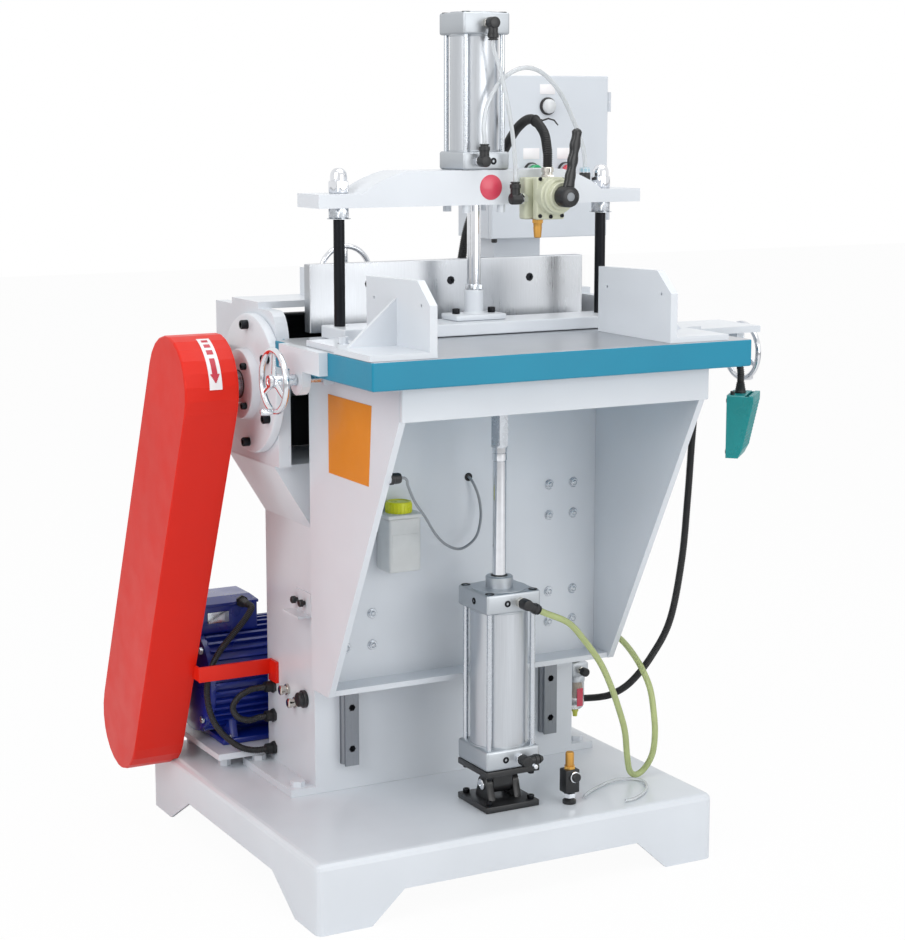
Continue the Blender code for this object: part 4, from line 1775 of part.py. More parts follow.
def push_button(door, name, x, z, material):
    """A round button in a bezel, free to slide in the door's skin."""
    inner = CABINET_BACK + DOOR_WALL + OVERRUN
    bezel_face = CABINET_BACK - BUTTON_BEZEL_HEIGHT
    bore = clear_of(BUTTON_STEM)
    cut(door, rod("hole", "Y", (x, 0, z), bore, CABINET_BACK - OVERRUN,
                  CABINET_BACK + DOOR_WALL + OVERRUN))
    join(door, turned("bezel", "Y", (x, 0, z),
                      [(bore, inner), (BUTTON_RADIUS, inner), (BUTTON_RADIUS, CABINET_BACK + GAP),
                       (BUTTON_BEZEL_RADIUS, CABINET_BACK + GAP), (BUTTON_BEZEL_RADIUS, bezel_face),
                       (bore, bezel_face)]))
    face = bezel_face - GAP - BUTTON_TRAVEL
    edge = BUTTON_RADIUS - BUTTON_ROUND
    button = turned(name, "Y", (x, 0, z),
                    [(0, inner), (BUTTON_STEM, inner), (BUTTON_STEM, face), (BUTTON_RADIUS, face),
                     (BUTTON_RADIUS, face - BUTTON_HEIGHT + BUTTON_ROUND),
                     (edge, face - BUTTON_HEIGHT), (0, face - BUTTON_HEIGHT)])
    fit(button, body(name + "_axis", (x, CABINET_BACK, z)), material)


def make_cabinet():
    left = CABINET_LEFT
    right = left + CABINET_WIDTH
    top = CABINET_LOW + CABINET_HEIGHT
    front = CABINET_BACK + DOOR_THICK + GAP
    back = CABINET_BACK + CABINET_DEPTH
    hinge = (right + DOOR_HINGE_RADIUS, CABINET_BACK + DOOR_THICK / 2, 0)
    leaf_half = DOOR_HINGE_LEAF / 2
    case = box("cabinet_box", (left, right), (front, back), (CABINET_LOW, top))
    cut(case, box("inside", (left + CABINET_WALL, right - CABINET_WALL),
                  (front - OVERRUN, back - CABINET_WALL),
                  (CABINET_LOW + CABINET_WALL, top - CABINET_WALL)))
    door_hinges(case, GAP, DOOR_HINGE_HEIGHT / 2, (right - GAP, hinge[0]),
                (hinge[1], front + DOOR_THICK), hinge)
    fit(case, frame, white_paint)

    post_right = POST_LEFT + POST_WIDTH
    post_low = BASE_TOP + GAP
    post_back_face = POST_BACK + POST_DEPTH
    post = box("cabinet_post", (POST_LEFT, post_right), (POST_BACK, post_back_face),
               (post_low + POST_FOOT_THICK - GAP, CABINET_LOW - GAP))
    join(post, box("foot", (POST_LEFT - POST_FOOT_REACH, post_right),
                   (POST_BACK - POST_FOOT_REACH, post_back_face + POST_FOOT_REACH),
                   (post_low, post_low + POST_FOOT_THICK)))
    cut(post, box("inside", (POST_LEFT + POST_WALL, post_right - POST_WALL),
                  (POST_BACK + POST_WALL, post_back_face - POST_WALL),
                  (post_low - OVERRUN, CABINET_LOW + OVERRUN)))
    fit(post, frame, white_paint)

    door_edge = right - DOOR_REVEAL
    door = box("cabinet_door", (left, door_edge), (CABINET_BACK, CABINET_BACK + DOOR_THICK),
               (CABINET_LOW, top))
    bevelled(door, DOOR_REVEAL, 1)
    cut(door, box("inside", (left + DOOR_WALL, door_edge - DOOR_WALL),
                  (CABINET_BACK + DOOR_WALL, CABINET_BACK + DOOR_THICK + OVERRUN),
                  (CABINET_LOW + DOOR_WALL, top - DOOR_WALL)))
    door_hinges(door, -DOOR_HINGE_HEIGHT / 2, -GAP, (door_edge - GAP, hinge[0]),
                (hinge[1] - leaf_half, hinge[1] + leaf_half), hinge)
    button_z = CABINET_LOW + CABINET_HEIGHT * BUTTON_HEIGHT_SHARE
    push_button(door, "start_button", left + CABINET_WIDTH * START_SIDE_SHARE, button_z,
                green_plastic)
    push_button(door, "stop_button", left + CABINET_WIDTH * STOP_SIDE_SHARE, button_z,
                red_plastic)
    lamp_place = (left + CABINET_WIDTH * LAMP_SIDE_SHARE, 0,
                  CABINET_LOW + CABINET_HEIGHT * LAMP_HEIGHT_SHARE)
    join(door, turned("lamp", "Y", lamp_place,
                      [(0, CABINET_BACK + GAP), (BUTTON_BEZEL_RADIUS, CABINET_BACK + GAP),
                       (BUTTON_BEZEL_RADIUS, CABINET_BACK - BUTTON_BEZEL_HEIGHT),
                       (LAMP_RADIUS, CABINET_BACK - BUTTON_BEZEL_HEIGHT),
                       (LAMP_RADIUS, CABINET_BACK - LAMP_HEIGHT),
                       (0, CABINET_BACK - LAMP_HEIGHT - LAMP_CROWN)]))
    fit(door, body("cabinet_door_hinge", (hinge[0], hinge[1], CABINET_LOW)), white_paint)


# Air parts

def make_valve():
    near = -CLAMP_FORWARD - BEAM_DEPTH / 2 - GAP
    front = near - VALVE_DEPTH
    low = BEAM_LOW + VALVE_RISE
    top = low + VALVE_HEIGHT
    middle_y = front + VALVE_DEPTH / 2
    valve = bevelled(box("hand_valve", (VALVE_SIDE, VALVE_SIDE + VALVE_WIDTH), (front, near),
                         (low, top)), VALVE_ROUND)
    hub = Vector((VALVE_HUB_SIDE, front, low + VALVE_HUB_RISE))
    join(valve, turned("neck", "Y", hub,
                       [(0, GAP), (VALVE_SKIRT_RADIUS, GAP),
                        (VALVE_SKIRT_RADIUS, -VALVE_SKIRT_LENGTH),
                        (VALVE_NECK_RADIUS, -VALVE_SKIRT_LENGTH),
                        (VALVE_NECK_RADIUS, VALVE_ROUND - VALVE_NECK_LENGTH),
                        (VALVE_NECK_RADIUS - VALVE_ROUND, -VALVE_NECK_LENGTH),
                        (0, -VALVE_NECK_LENGTH)]))
    join(valve, turned("silencer", "Z", (SILENCER_SIDE, middle_y, low),
                       [(0, GAP), (SILENCER_HEX / 2, GAP), (SILENCER_HEX / 2, -SILENCER_HEX_LENGTH),
                        (SILENCER_RADIUS, -SILENCER_HEX_LENGTH),
                        (SILENCER_TIP_RADIUS, -SILENCER_LENGTH), (0, -SILENCER_LENGTH)],
                       SMALL_SIDES))
    join(valve, rod("adapter", "Z", (VALVE_CONDUIT_SIDE, middle_y, 0), VALVE_ADAPTER_RADIUS,
                    top - GAP, top + ELBOW_STEM_LENGTH, SMALL_SIDES))
    add_elbow(valve, "valve side", (VALVE_SIDE, middle_y, (low + top) / 2), (-1, 0, 0),
              (0, 0, 1))
    fit(valve, knee, olive_casting)

    axis = hub + Vector((0, -VALVE_NECK_LENGTH - GAP, 0))
    lever = rod("valve_lever", "Y", axis, LEVER_HUB_RADIUS, axis.y, axis.y - LEVER_HUB_LENGTH)
    bevelled(lever, LEVER_ROUND, 1)
    half = LEVER_WIDTH / 2
    grip = [(-half, 0)] + arc((0, LEVER_LENGTH - half), half, 180, 0, 6) + [(half, 0)]
    handle = bevelled(plate("grip", "Y", [grip], -LEVER_THICK / 2, LEVER_THICK / 2), LEVER_ROUND, 1)
    handle.data.transform(Matrix.Rotation(math.radians(LEVER_LEAN_DEG), 4, 'Y'))
    handle.location = axis + Vector((0, -LEVER_HUB_LENGTH / 2, 0))
    fit(join(lever, handle), body("valve_lever_axis", axis), black_plastic)
    ports["valve top"] = (Vector((VALVE_CONDUIT_SIDE, middle_y, top + ELBOW_STEM_LENGTH + GAP)),
                          Vector((0, 0, 1)))


def make_filter():
    side = COLUMN_WIDTH / 2 + GAP
    low = BASE_TOP + FILTER_RISE
    half = FILTER_HEAD_WIDTH / 2
    right = side + FILTER_BRACKET + FILTER_HEAD_WIDTH
    head = box("air_filter", (side, right), (FILTER_BACK - half, FILTER_BACK + half),
               (low, low + FILTER_HEAD_HEIGHT))
    bevelled(head, FILTER_ROUND, 1)
    x = right - half
    taper = FILTER_BOWL_RADIUS - FILTER_ROUND * 2
    foot = -FILTER_BOWL_HEIGHT
    join(head, turned("bowl", "Z", (x, FILTER_BACK, low),
                      [(0, GAP), (FILTER_BOWL_RADIUS, GAP),
                       (FILTER_BOWL_RADIUS, foot + FILTER_DRAIN_HEIGHT), (taper, foot),
                       (FILTER_DRAIN_RADIUS, foot),
                       (FILTER_DRAIN_RADIUS, foot - FILTER_DRAIN_HEIGHT),
                       (0, foot - FILTER_DRAIN_HEIGHT)]))
    add_gland(head, "filter", (x, FILTER_BACK, low + FILTER_HEAD_HEIGHT), (0, 0, 1),
              ELBOW_BODY_RADIUS)
    fit(head, frame, clear_plastic)


def make_exhaust_valve():
    """A quick exhaust valve that stands on its plug in front of the column."""
    place = (EXHAUST_SIDE, -EXHAUST_FORWARD, 0)
    low = BASE_TOP + GAP
    block_low = low + EXHAUST_PLUG_HEIGHT
    block_top = block_low + EXHAUST_HEIGHT
    block = box("exhaust_valve",
                (EXHAUST_SIDE - EXHAUST_WIDTH / 2, EXHAUST_SIDE + EXHAUST_WIDTH / 2),
                (-EXHAUST_FORWARD - EXHAUST_DEPTH / 2, -EXHAUST_FORWARD + EXHAUST_DEPTH / 2),
                (block_low, block_top))
    bevelled(block, FILTER_ROUND, 1)
    nut_top = block_top + EXHAUST_NUT_HEIGHT
    join(block, rod("plug", "Z", place, EXHAUST_PLUG_RADIUS, low, block_low + GAP, SMALL_SIDES),
         hexagon("nut", "Z", place, EXHAUST_NUT_ACROSS, block_top - GAP, nut_top),
         rod("muffler", "Z", place, EXHAUST_MUFFLER_RADIUS, nut_top - GAP,
             nut_top + EXHAUST_MUFFLER_HEIGHT, SMALL_SIDES))
    fit(block, frame, black_plastic)


def at_pedal(item):
    """Move a piece drawn round the cord's axis, with its tread towards +X, to the pedal's place."""
    item.data.transform(Matrix.Translation(item.location))
    item.location = (0, 0, 0)
    item.data.transform(Matrix.Translation((PEDAL_SIDE, -PEDAL_FORWARD, 0))
                        @ Matrix.Rotation(math.radians(-PEDAL_TURN_DEG), 4, 'Z'))
    return item


def pedal_line(drop_back):
    """The tread's line from its top to its foot, moved back towards the base by a distance."""
    low = PEDAL_TOP - PEDAL_LENGTH
    return [(PEDAL_FRONT - drop_back, PEDAL_TOP),
            (PEDAL_FRONT - drop_back, PEDAL_TOP - PEDAL_STRAIGHT),
            (PEDAL_LOW_FRONT - drop_back, low + PEDAL_TOE),
            (PEDAL_LOW_FRONT - drop_back - PEDAL_TOE / 2, low)]


def make_pedal():
    """A foot pedal that hangs from its cord, with its tread to the front and right."""
    low = PEDAL_TOP - PEDAL_LENGTH
    near = -PEDAL_WIDTH / 2
    far = PEDAL_WIDTH / 2
    tilt = pedal_line(PEDAL_TREAD_THICK + PEDAL_GAP)[:2]
    toe = pedal_line(PEDAL_TREAD_THICK + GAP)[2:]
    shoe = plate("pedal_base", "Y", [[(-PEDAL_BACK, low), (-PEDAL_BACK, PEDAL_TOP)] + tilt + toe],
                 near, far)
    bevelled(shoe, PEDAL_ROUND, 1)
    join(shoe, rod("gland", "Z", (0, 0, 0), PEDAL_GLAND_RADIUS, PEDAL_TOP - SEAT_DEPTH,
                   PEDAL_TOP + PEDAL_GLAND_HEIGHT, SMALL_SIDES))
    fit(at_pedal(shoe), knee, pedal_plastic)

    tread = plate("pedal_tread", "Y", [pedal_line(0) + pedal_line(PEDAL_TREAD_THICK)[::-1]],
                  near, far)
    hinge_x, hinge_z = pedal_line(PEDAL_TREAD_THICK / 2)[2]
    spin = Matrix.Rotation(math.radians(-PEDAL_TURN_DEG), 4, 'Z')
    hinge = Vector((PEDAL_SIDE, -PEDAL_FORWARD, 0)) + spin @ Vector((hinge_x, 0, hinge_z))
    fit(at_pedal(tread), body("pedal_hinge", hinge), pedal_plastic)
    ports["pedal"] = (Vector((PEDAL_SIDE, -PEDAL_FORWARD, PEDAL_TOP + PEDAL_GLAND_HEIGHT + GAP)),
                      Vector((0, 0, 1)))


# Hoses and cables

def smooth_route(points, step):
    """Places along a route with straight ends and a smooth curve between, and its length.

    The places between the straight ends are evenly spaced, an even number of steps apart.
    """
    route = [Vector(point) for point in points]
    first, last = route[0], route[-1]
    inner = route[1:-1]
    way_in = (inner[0] - first).normalized()
    way_out = (last - inner[-1]).normalized()
    ends = [inner[1] - way_in * (inner[1] - inner[0]).length * 2] + inner
    ends.append(inner[-2] + way_out * (inner[-1] - inner[-2]).length * 2)
    fine = []
    for a, b, c, d in zip(ends, ends[1:], ends[2:], ends[3:]):
        for i in range(CURVE_STEPS):
            t = i / CURVE_STEPS
            fine.append((b * 2 + (c - a) * t + (a * 2 - b * 5 + c * 4 - d) * t ** 2
                         + (b * 3 - a - c * 3 + d) * t ** 3) / 2)
    fine.append(inner[-1])
    lengths = [0]
    for a, b in zip(fine, fine[1:]):
        lengths.append(lengths[-1] + (b - a).length)
    count = max(2, round(lengths[-1] / step / 2) * 2)
    spaced = [first, first.lerp(inner[0], 0.5)]
    at = 0
    for i in range(count + 1):
        target = lengths[-1] * i / count
        while at < len(fine) - 2 and lengths[at + 1] < target:
            at += 1
        share = (target - lengths[at]) / (lengths[at + 1] - lengths[at])
        spaced.append(fine[at].lerp(fine[at + 1], share))
    spaced += [inner[-1].lerp(last, 0.5), last]
    total = lengths[-1] + (inner[0] - first).length + (last - inner[-1]).length
    return spaced, total


def hose_curve(name, places, diameter, waist=1):
    """A tube through the given points. Where waist is under 1, every other point is drawn in."""
    curve = bpy.data.curves.new(name, 'CURVE')
    curve.dimensions = '3D'
    curve.bevel_depth = diameter / 2
    curve.bevel_resolution = 2
    curve.use_fill_caps = True
    spline = curve.splines.new('POLY')
    spline.points.add(len(places) - 1)
    for i, (point, place) in enumerate(zip(spline.points, places)):
        point.co = (*place, 1)
        if i % 2:
            point.radius = waist
    item = bpy.data.objects.new(name, curve)
    machine.objects.link(item)
    return item


def as_mesh(drawn):
    """A curve object made a mesh object of the same name, with its caps welded."""
    name = drawn.name
    item = bpy.data.objects.new("made", evaluated_mesh(drawn))
    bpy.data.objects.remove(drawn)
    item.name = name
    machine.objects.link(item)
    return settle(item)


def cord(name, first, middle, last, diameter, carrier, material, ribbed=False):
    """A hose or cable from one port to another by way of the points between them.

    It leaves each port straight for its own diameter. A ribbed one gets a rib at every other
    point and a smooth bore.
    """
    ends = []
    for port in (first, last):
        end, way = ports[port]
        ends.append([end, end + way * diameter])
    route = ends[0] + [Vector(point) for point in middle] + ends[1][::-1]
    step = RIB_PITCH / 2 if ribbed else max(diameter * CORD_POINT_DIAMETERS, CORD_LEAST_STEP)
    places, length = smooth_route(route, step)
    print(name, "is", round(length, 3), "m long")
    if ribbed:
        item = as_mesh(hose_curve(name, places, diameter, 1 - RIB_DEPTH_SHARE))
        bore_places = places[::3]
        start = places[0] * 2 - places[1]
        finish = places[-1] * 2 - places[-2]
        bore = hose_curve("bore", [start] + bore_places[:-1] + [places[-1], finish],
                          diameter * CONDUIT_BORE_SHARE)
        cut(item, as_mesh(bore))
    else:
        item = hose_curve(name, places[:1] + places[2:-2] + places[-1:], diameter)
    fit(item, carrier, material)


def make_cords():
    wall = KNEE_FRONT - OVERRUN
    ports["cable hole"] = (Vector((CABLE_HOLE_SIDE, wall + KNEE_PLATE / 2,
                                   TABLE_LOW - CABLE_HOLE_DROP)), Vector((0, -1, 0)))
    cord("lift_air_hose", "lift top", LIFT_HOSE_ROUTE, "filter", AIR_HOSE_DIAMETER, frame,
         hose_plastic)
    cord("clamp_tube_down", "press top", TUBE_DOWN_ROUTE, "valve side", CLEAR_TUBE_DIAMETER, knee,
         clear_plastic)
    cord("clamp_tube_up", "press foot", TUBE_UP_ROUTE, "beam", CLEAR_TUBE_DIAMETER, knee,
         clear_plastic)
    cord("switch_cable", "cable hole", SWITCH_CABLE_ROUTE, "switch", SWITCH_CABLE_DIAMETER, knee,
         grey_sheath)
    cord("valve_conduit", "conduit foot", VALVE_CONDUIT_ROUTE, "valve top", CONDUIT_DIAMETER,
         frame, black_plastic, True)
    cord("pedal_cord", "pedal foot", PEDAL_CORD_ROUTE, "pedal", PEDAL_CORD_DIAMETER, frame,
         black_plastic, True)
    cord("motor_feed_cord", "terminals", MOTOR_FEED_ROUTE, "motor feed", MOTOR_CORD_DIAMETER,
         frame, black_plastic)
    cord("side_loop_cord", "loop top", SIDE_LOOP_ROUTE, "loop foot", MOTOR_CORD_DIAMETER, frame,
         black_plastic)


# Assembly

make_base()
make_column()
make_rails()
make_knee()
make_table()
make_oil_tank()
make_lift_cylinder()
make_clevis()
make_beam()
make_studs()
make_press_cylinder()
make_clamp_foot()
make_stop("stop_left", STOP_LEFT_FACE, -1)
make_stop("stop_right", STOP_RIGHT_FACE, 1)
make_arms()
right_wheel = (ARM_RIGHT_OUT + WHEEL_RIGHT_STAND_OFF, -STOP_SCREW_FORWARD, SCREW_HEIGHT)
make_wheel("handwheel_left", "X",
           (-ARM_LEFT_OUT - WHEEL_LEFT_STAND_OFF, -STOP_SCREW_FORWARD, SCREW_HEIGHT), -1,
           (STOP_SCREW_RADIUS, -STOP_SCREW_INNER),
           WHEEL_LEFT_STAND_OFF - WHEEL_HUB_LENGTH / 2 - GAP)
make_wheel("handwheel_right", "X", right_wheel, 1, (STOP_SCREW_RADIUS, STOP_SCREW_INNER),
           WHEEL_RIGHT_STAND_OFF - WHEEL_HUB_LENGTH / 2 - GAP)
make_head_frame()
make_housings()
pulley_ends = make_spindle()
make_hood()
make_fence()
make_motor()
make_drive(*pulley_ends)
make_guard()
make_cabinet()
make_valve()
make_filter()
make_exhaust_valve()
make_pedal()
make_cords()

# The root brings the middle of the footprint to the origin.
left_edge = -GUARD_LEFT
right_edge = right_wheel[0] + WHEEL_KNOB_LENGTH
front_edge = TABLE_FRONT
belt_run = (Vector((MOTOR_BACK, MOTOR_HEIGHT)) - Vector((SPINDLE_BACK, SPINDLE_HEIGHT))).normalized()
back_edge = MOTOR_BACK + belt_run.x * GUARD_EXTEND + GUARD_RADIUS
root.location = (-(left_edge + right_edge) / 2, -(front_edge + back_edge) / 2, 0)
bpy.context.view_layer.update()
print("root at", [round(value, 6) for value in root.location])
for name, empty in bodies.items():
    print("body", name, [round(value, 6) for value in empty.matrix_world.translation])
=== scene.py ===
# %% [markdown]
# # A pneumatic tenoning machine
#
# The machine cuts tenons on the ends of boards. A board lies on a knee that an air cylinder
# lifts, a second cylinder clamps it, and a stack of grooving cutters turns behind it. The CAD
# model holds the exact solids. This file loads them as a fixed frame and dresses them: finer
# shapes stand in for the plain ones, and each surface gets a finish worked out from what the
# real one is made of.

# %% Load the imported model
import math

import bmesh
import bpy
from mathutils import Matrix, Vector


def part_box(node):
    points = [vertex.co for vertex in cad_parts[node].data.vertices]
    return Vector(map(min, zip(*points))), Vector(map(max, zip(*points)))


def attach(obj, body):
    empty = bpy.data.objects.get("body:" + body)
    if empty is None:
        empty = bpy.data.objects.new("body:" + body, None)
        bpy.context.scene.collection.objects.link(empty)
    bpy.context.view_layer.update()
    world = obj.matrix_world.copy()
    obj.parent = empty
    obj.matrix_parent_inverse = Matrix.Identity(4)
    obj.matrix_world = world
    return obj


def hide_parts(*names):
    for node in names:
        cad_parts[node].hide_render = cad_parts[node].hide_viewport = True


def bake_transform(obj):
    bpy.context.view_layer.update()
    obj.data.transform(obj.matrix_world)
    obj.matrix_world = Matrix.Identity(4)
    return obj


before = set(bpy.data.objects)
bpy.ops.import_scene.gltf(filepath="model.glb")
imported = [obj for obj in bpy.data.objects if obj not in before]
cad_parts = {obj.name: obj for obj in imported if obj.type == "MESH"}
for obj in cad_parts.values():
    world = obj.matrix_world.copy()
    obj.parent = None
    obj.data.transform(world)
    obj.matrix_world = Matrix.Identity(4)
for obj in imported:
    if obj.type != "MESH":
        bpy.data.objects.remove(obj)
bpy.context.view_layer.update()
base_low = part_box("base_frame")[0]
# From the base's front left corner to the machine's own origin, on the column's front face
BASE_LEFT, BASE_FRONT = 0.440, 0.350
to_row = Vector((base_low.x + BASE_LEFT, base_low.y + BASE_FRONT, 0.0))
print("CAD nodes:", len(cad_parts), "machine frame moves by", tuple(to_row))

# %% [markdown]
# ## Small helpers for every finish
#
# Colours are picked as sRGB hex values, the way a paint chart gives them, but a shader adds
# and multiplies light, so it needs linear numbers. One function does that. Another adds one
# node, sets it and wires it. The rest name the few steps that every recipe repeats, so that
# each recipe reads as a short list of layers.

# %% Colour and node helpers
def linear(hex_colour):
    """The linear numbers of an sRGB hex colour, with full alpha."""
    shares = [int(hex_colour[i:i + 2], 16) / 255 for i in (1, 3, 5)]
    return [c / 12.92 if c <= 0.04045 else ((c + 0.055) / 1.055) ** 2.4 for c in shares] + [1]


def add(tree, kind, settings=None, inputs=None):
    """Adds one node. Inputs are values, or the output sockets that they are wired to."""
    node = tree.nodes.new(kind)
    for name, value in (settings or {}).items():
        setattr(node, name, value)
    for name, value in (inputs or {}).items():
        if isinstance(value, bpy.types.NodeSocket):
            tree.links.new(value, node.inputs[name])
        else:
            node.inputs[name].default_value = value
    return node


def start_finish(name):
    """A new material with an empty tree, and a pattern space in metres."""
    finish = bpy.data.materials.new(name)
    finish.use_nodes = True
    tree = finish.node_tree
    tree.nodes.clear()
    space = add(tree, "ShaderNodeTexCoord").outputs["Object"]
    return finish, tree, space


def per_metre(millimetres):
    """The scale that makes a pattern's features this many millimetres across."""
    return 1000 / millimetres


def noise(tree, space, millimetres, detail):
    """Noise with lumps of this many millimetres."""
    return add(tree, "ShaderNodeTexNoise", {}, {
        "Vector": space, "Scale": per_metre(millimetres), "Detail": detail}).outputs["Fac"]


def streaks(tree, space, scales):
    """Noise in a space that is scaled axis by axis, for marks that run one way."""
    squeezed = add(tree, "ShaderNodeMapping", {}, {"Vector": space, "Scale": scales})
    return add(tree, "ShaderNodeTexNoise", {}, {
        "Vector": squeezed.outputs["Vector"], "Scale": 1.0, "Detail": 3.0}).outputs["Fac"]


def shades(hex_colour, low, high):
    """A darker and a lighter shade of one colour."""
    return [[min(c * share, 1) for c in linear(hex_colour)[:3]] + [1] for share in (low, high)]


def ramp(tree, source, colours, places=(0, 1)):
    """Goes from one colour to the other as the source passes the two places."""
    node = add(tree, "ShaderNodeValToRGB", {}, {"Fac": source})
    for stop, colour, place in zip(node.color_ramp.elements, colours, places):
        stop.color, stop.position = colour, place
    return node.outputs["Color"]


def between(tree, source, low, high, places=(0, 1)):
    """Goes from low to high as the source passes the two places."""
    return add(tree, "ShaderNodeMapRange", {}, {
        "Value": source, "From Min": places[0], "From Max": places[1],
        "To Min": low, "To Max": high}).outputs["Result"]


def bump(tree, height, depth, strength):
    """Relief of this depth in metres."""
    return add(tree, "ShaderNodeBump", {}, {
        "Height": height, "Distance": depth, "Strength": strength}).outputs["Normal"]


def surface(finish, tree, inputs):
    """Ends a finish with the general surface shader."""
    shader = add(tree, "ShaderNodeBsdfPrincipled", {}, inputs)
    add(tree, "ShaderNodeOutputMaterial", {}, {"Surface": shader.outputs["BSDF"]})
    return finish


# %% [markdown]
# ## The camera of the photograph
#
# The photograph's perspective was solved from the square section of the air cylinders and the
# hole pitch of the linear rails. The machine was seen from its front left, a little from above,
# with a short telephoto lens. The camera comes first, because the hoses and cables that it sees
# are laid out next.

# %% Camera
lens = bpy.data.cameras.new("photo_lens")
lens.lens = 79.97
lens.sensor_width = 36
lens.clip_end = 60
camera = bpy.data.objects.new("photo_camera", lens)
camera.location = Vector((-1.84482, -3.44506, 1.39780)) + to_row
camera.rotation_euler = (math.radians(90 - 9.773), 0, math.radians(-28.307))
bpy.context.scene.collection.objects.link(camera)
bpy.context.scene.camera = camera
print("camera at", tuple(round(c, 4) for c in camera.location))

# %% [markdown]
# ## Paint
#
# Most of the machine is welded steel under cool white machine enamel: a two-pack paint sprayed
# on, half gloss, with a faint orange peel where the drops ran together. The lumps of real
# orange peel are 1 to 2 mm. They are drawn 3 mm across so that a render can still show them.
# Broad, faint clouds of tone and of gloss keep large panels from looking like plastic sheet.

# %% A recipe for sprayed enamel
def enamel(name, hex_colour, roughness=0.34, peel=0.00006, coat=0.25, ior=1.5):
    """Peel is the height of the orange peel in metres, and coat the share of clear gloss."""
    finish, tree, space = start_finish(name)
    return surface(finish, tree, {
        "Base Color": ramp(tree, noise(tree, space, 240, 3), shades(hex_colour, 0.955, 1.03),
                           (0.3, 0.7)),
        "Roughness": between(tree, noise(tree, space, 55, 4), roughness - 0.05,
                             roughness + 0.07, (0.3, 0.7)),
        "Normal": bump(tree, noise(tree, space, 3, 1), peel, 0.6),
        "IOR": ior, "Coat Weight": coat, "Coat Roughness": 0.12})


white_enamel = enamel("cool_white_machine_enamel", "#DCE1E7")
cabinet_enamel = enamel("pale_grey_cabinet_enamel", "#D3D9E0", 0.38)
red_enamel = enamel("signal_red_enamel", "#DF2412", 0.36, 0.00006, 0.0, 1.35)
blue_enamel = enamel("dark_blue_motor_enamel", "#0D2789", 0.30, 0.00010, 0.4)
# Black paint on the lift cylinder's foot plate and clevis, and painted shade on the chip hood,
# which stands in the dark space between the head's walls.
black_enamel = enamel("satin_black_enamel", "#1B1C1E", 0.45)
orange_plate_finish = enamel("bare_orange_plate", "#E08A20", 0.40, 0.00002)
red_disc_finish = enamel("bare_red_disc", "#D8455C", 0.35, 0.00002)
strip_white = enamel("white_arrow_strip", "#F2F0F2", 0.35, 0.00002)
strip_red = enamel("red_arrow_print", "#C4243C", 0.35, 0.00002)
print("enamels:", [m.name for m in bpy.data.materials if "enamel" in m.name])

# %% [markdown]
# ## Metal
#
# A bare metal's colour is all reflection, so what tells one from another is how it was worked.
# Grinding and brushing leave fine scratches along one way, turning leaves rings, a casting
# leaves grain, and plating leaves almost nothing. Each is noise, squeezed across the way the
# tool moved. Real scratches are a few hundredths of a millimetre apart. They are drawn 1 to
# 3 mm apart, so that they still show from across the shop.

# %% A recipe for worked metal
def metal(name, hex_colour, roughness, spacing, along, spread=0.10, relief_depth=0.00002):
    """Spacing is the drawn distance between marks in mm, and along stretches them per axis."""
    finish, tree, space = start_finish(name)
    marks = streaks(tree, space, [per_metre(spacing) / stretch for stretch in along])
    both = add(tree, "ShaderNodeMath", {"operation": "ADD"}, {
        0: marks, 1: noise(tree, space, 90, 2)})
    return surface(finish, tree, {
        "Base Color": ramp(tree, marks, shades(hex_colour, 0.86, 1.08)), "Metallic": 1.0,
        "Roughness": between(tree, both.outputs["Value"], max(roughness - spread, 0.03),
                             roughness + spread, (0.6, 1.4)),
        "Normal": bump(tree, marks, relief_depth, 0.5)})


EVEN = (1, 1, 1)
milled_aluminium = metal("milled_aluminium_plate", "#C0C3C7", 0.33, 1.4, (1, 1, 30))
rail_steel = metal("hardened_rail_steel", "#85898F", 0.30, 1.2, (1, 1, 60), 0.06)
chrome = metal("bright_chrome_plate", "#E2E4E8", 0.10, 14, EVEN, 0.05, 0.0)
zinc = metal("zinc_plated_steel", "#CBD0D6", 0.26, 5, EVEN, 0.08)
nickel = metal("nickel_plated_brass", "#C9C6BF", 0.18, 6, EVEN, 0.06)
brass = metal("yellow_brass", "#D9A95A", 0.28, 2, (1, 1, 8), 0.08)
sintered_bronze = metal("sintered_bronze", "#C99A52", 0.55, 1.2, EVEN, 0.10, 0.0002)
black_oxide = metal("black_oxide_steel", "#2B2C2F", 0.38, 3, EVEN, 0.10)
barrel_aluminium = metal("anodised_drawn_barrel", "#C6CACF", 0.36, 1.5, (1, 1, 60), 0.06)
head_aluminium = metal("anodised_die_casting", "#BDC2C7", 0.46, 1.6, EVEN, 0.08, 0.00008)
cutter_steel = metal("ground_cutter_steel", "#A9ADB3", 0.28, 2, EVEN, 0.10)
print("metals:", len([m for m in bpy.data.materials if "steel" in m.name or "alum" in m.name]))

# %% [markdown]
# ## Plastic and rubber
#
# Push-in fittings, glands and conduits are moulded in black nylon, and buttons and the pedal in
# glossy coloured plastic. Moulded parts take the fine spark-eroded grain of their mould, about
# 0.2 mm. It is drawn 1.2 mm across.

# %% A recipe for moulded plastic
def moulded(name, hex_colour, roughness, grain=0.00008, clear=0.0, ior=1.5):
    """Clear is the share of light that passes through, from 0 to 1."""
    finish, tree, space = start_finish(name)
    handled = noise(tree, space, 30, 3)
    return surface(finish, tree, {
        "Base Color": ramp(tree, handled, shades(hex_colour, 0.88, 1.10)),
        "Roughness": between(tree, handled, max(roughness - 0.06, 0.03), roughness + 0.08,
                             (0.3, 0.7)),
        "Normal": bump(tree, noise(tree, space, 1.2, 2), grain, 0.5),
        "IOR": ior, "Transmission Weight": clear})


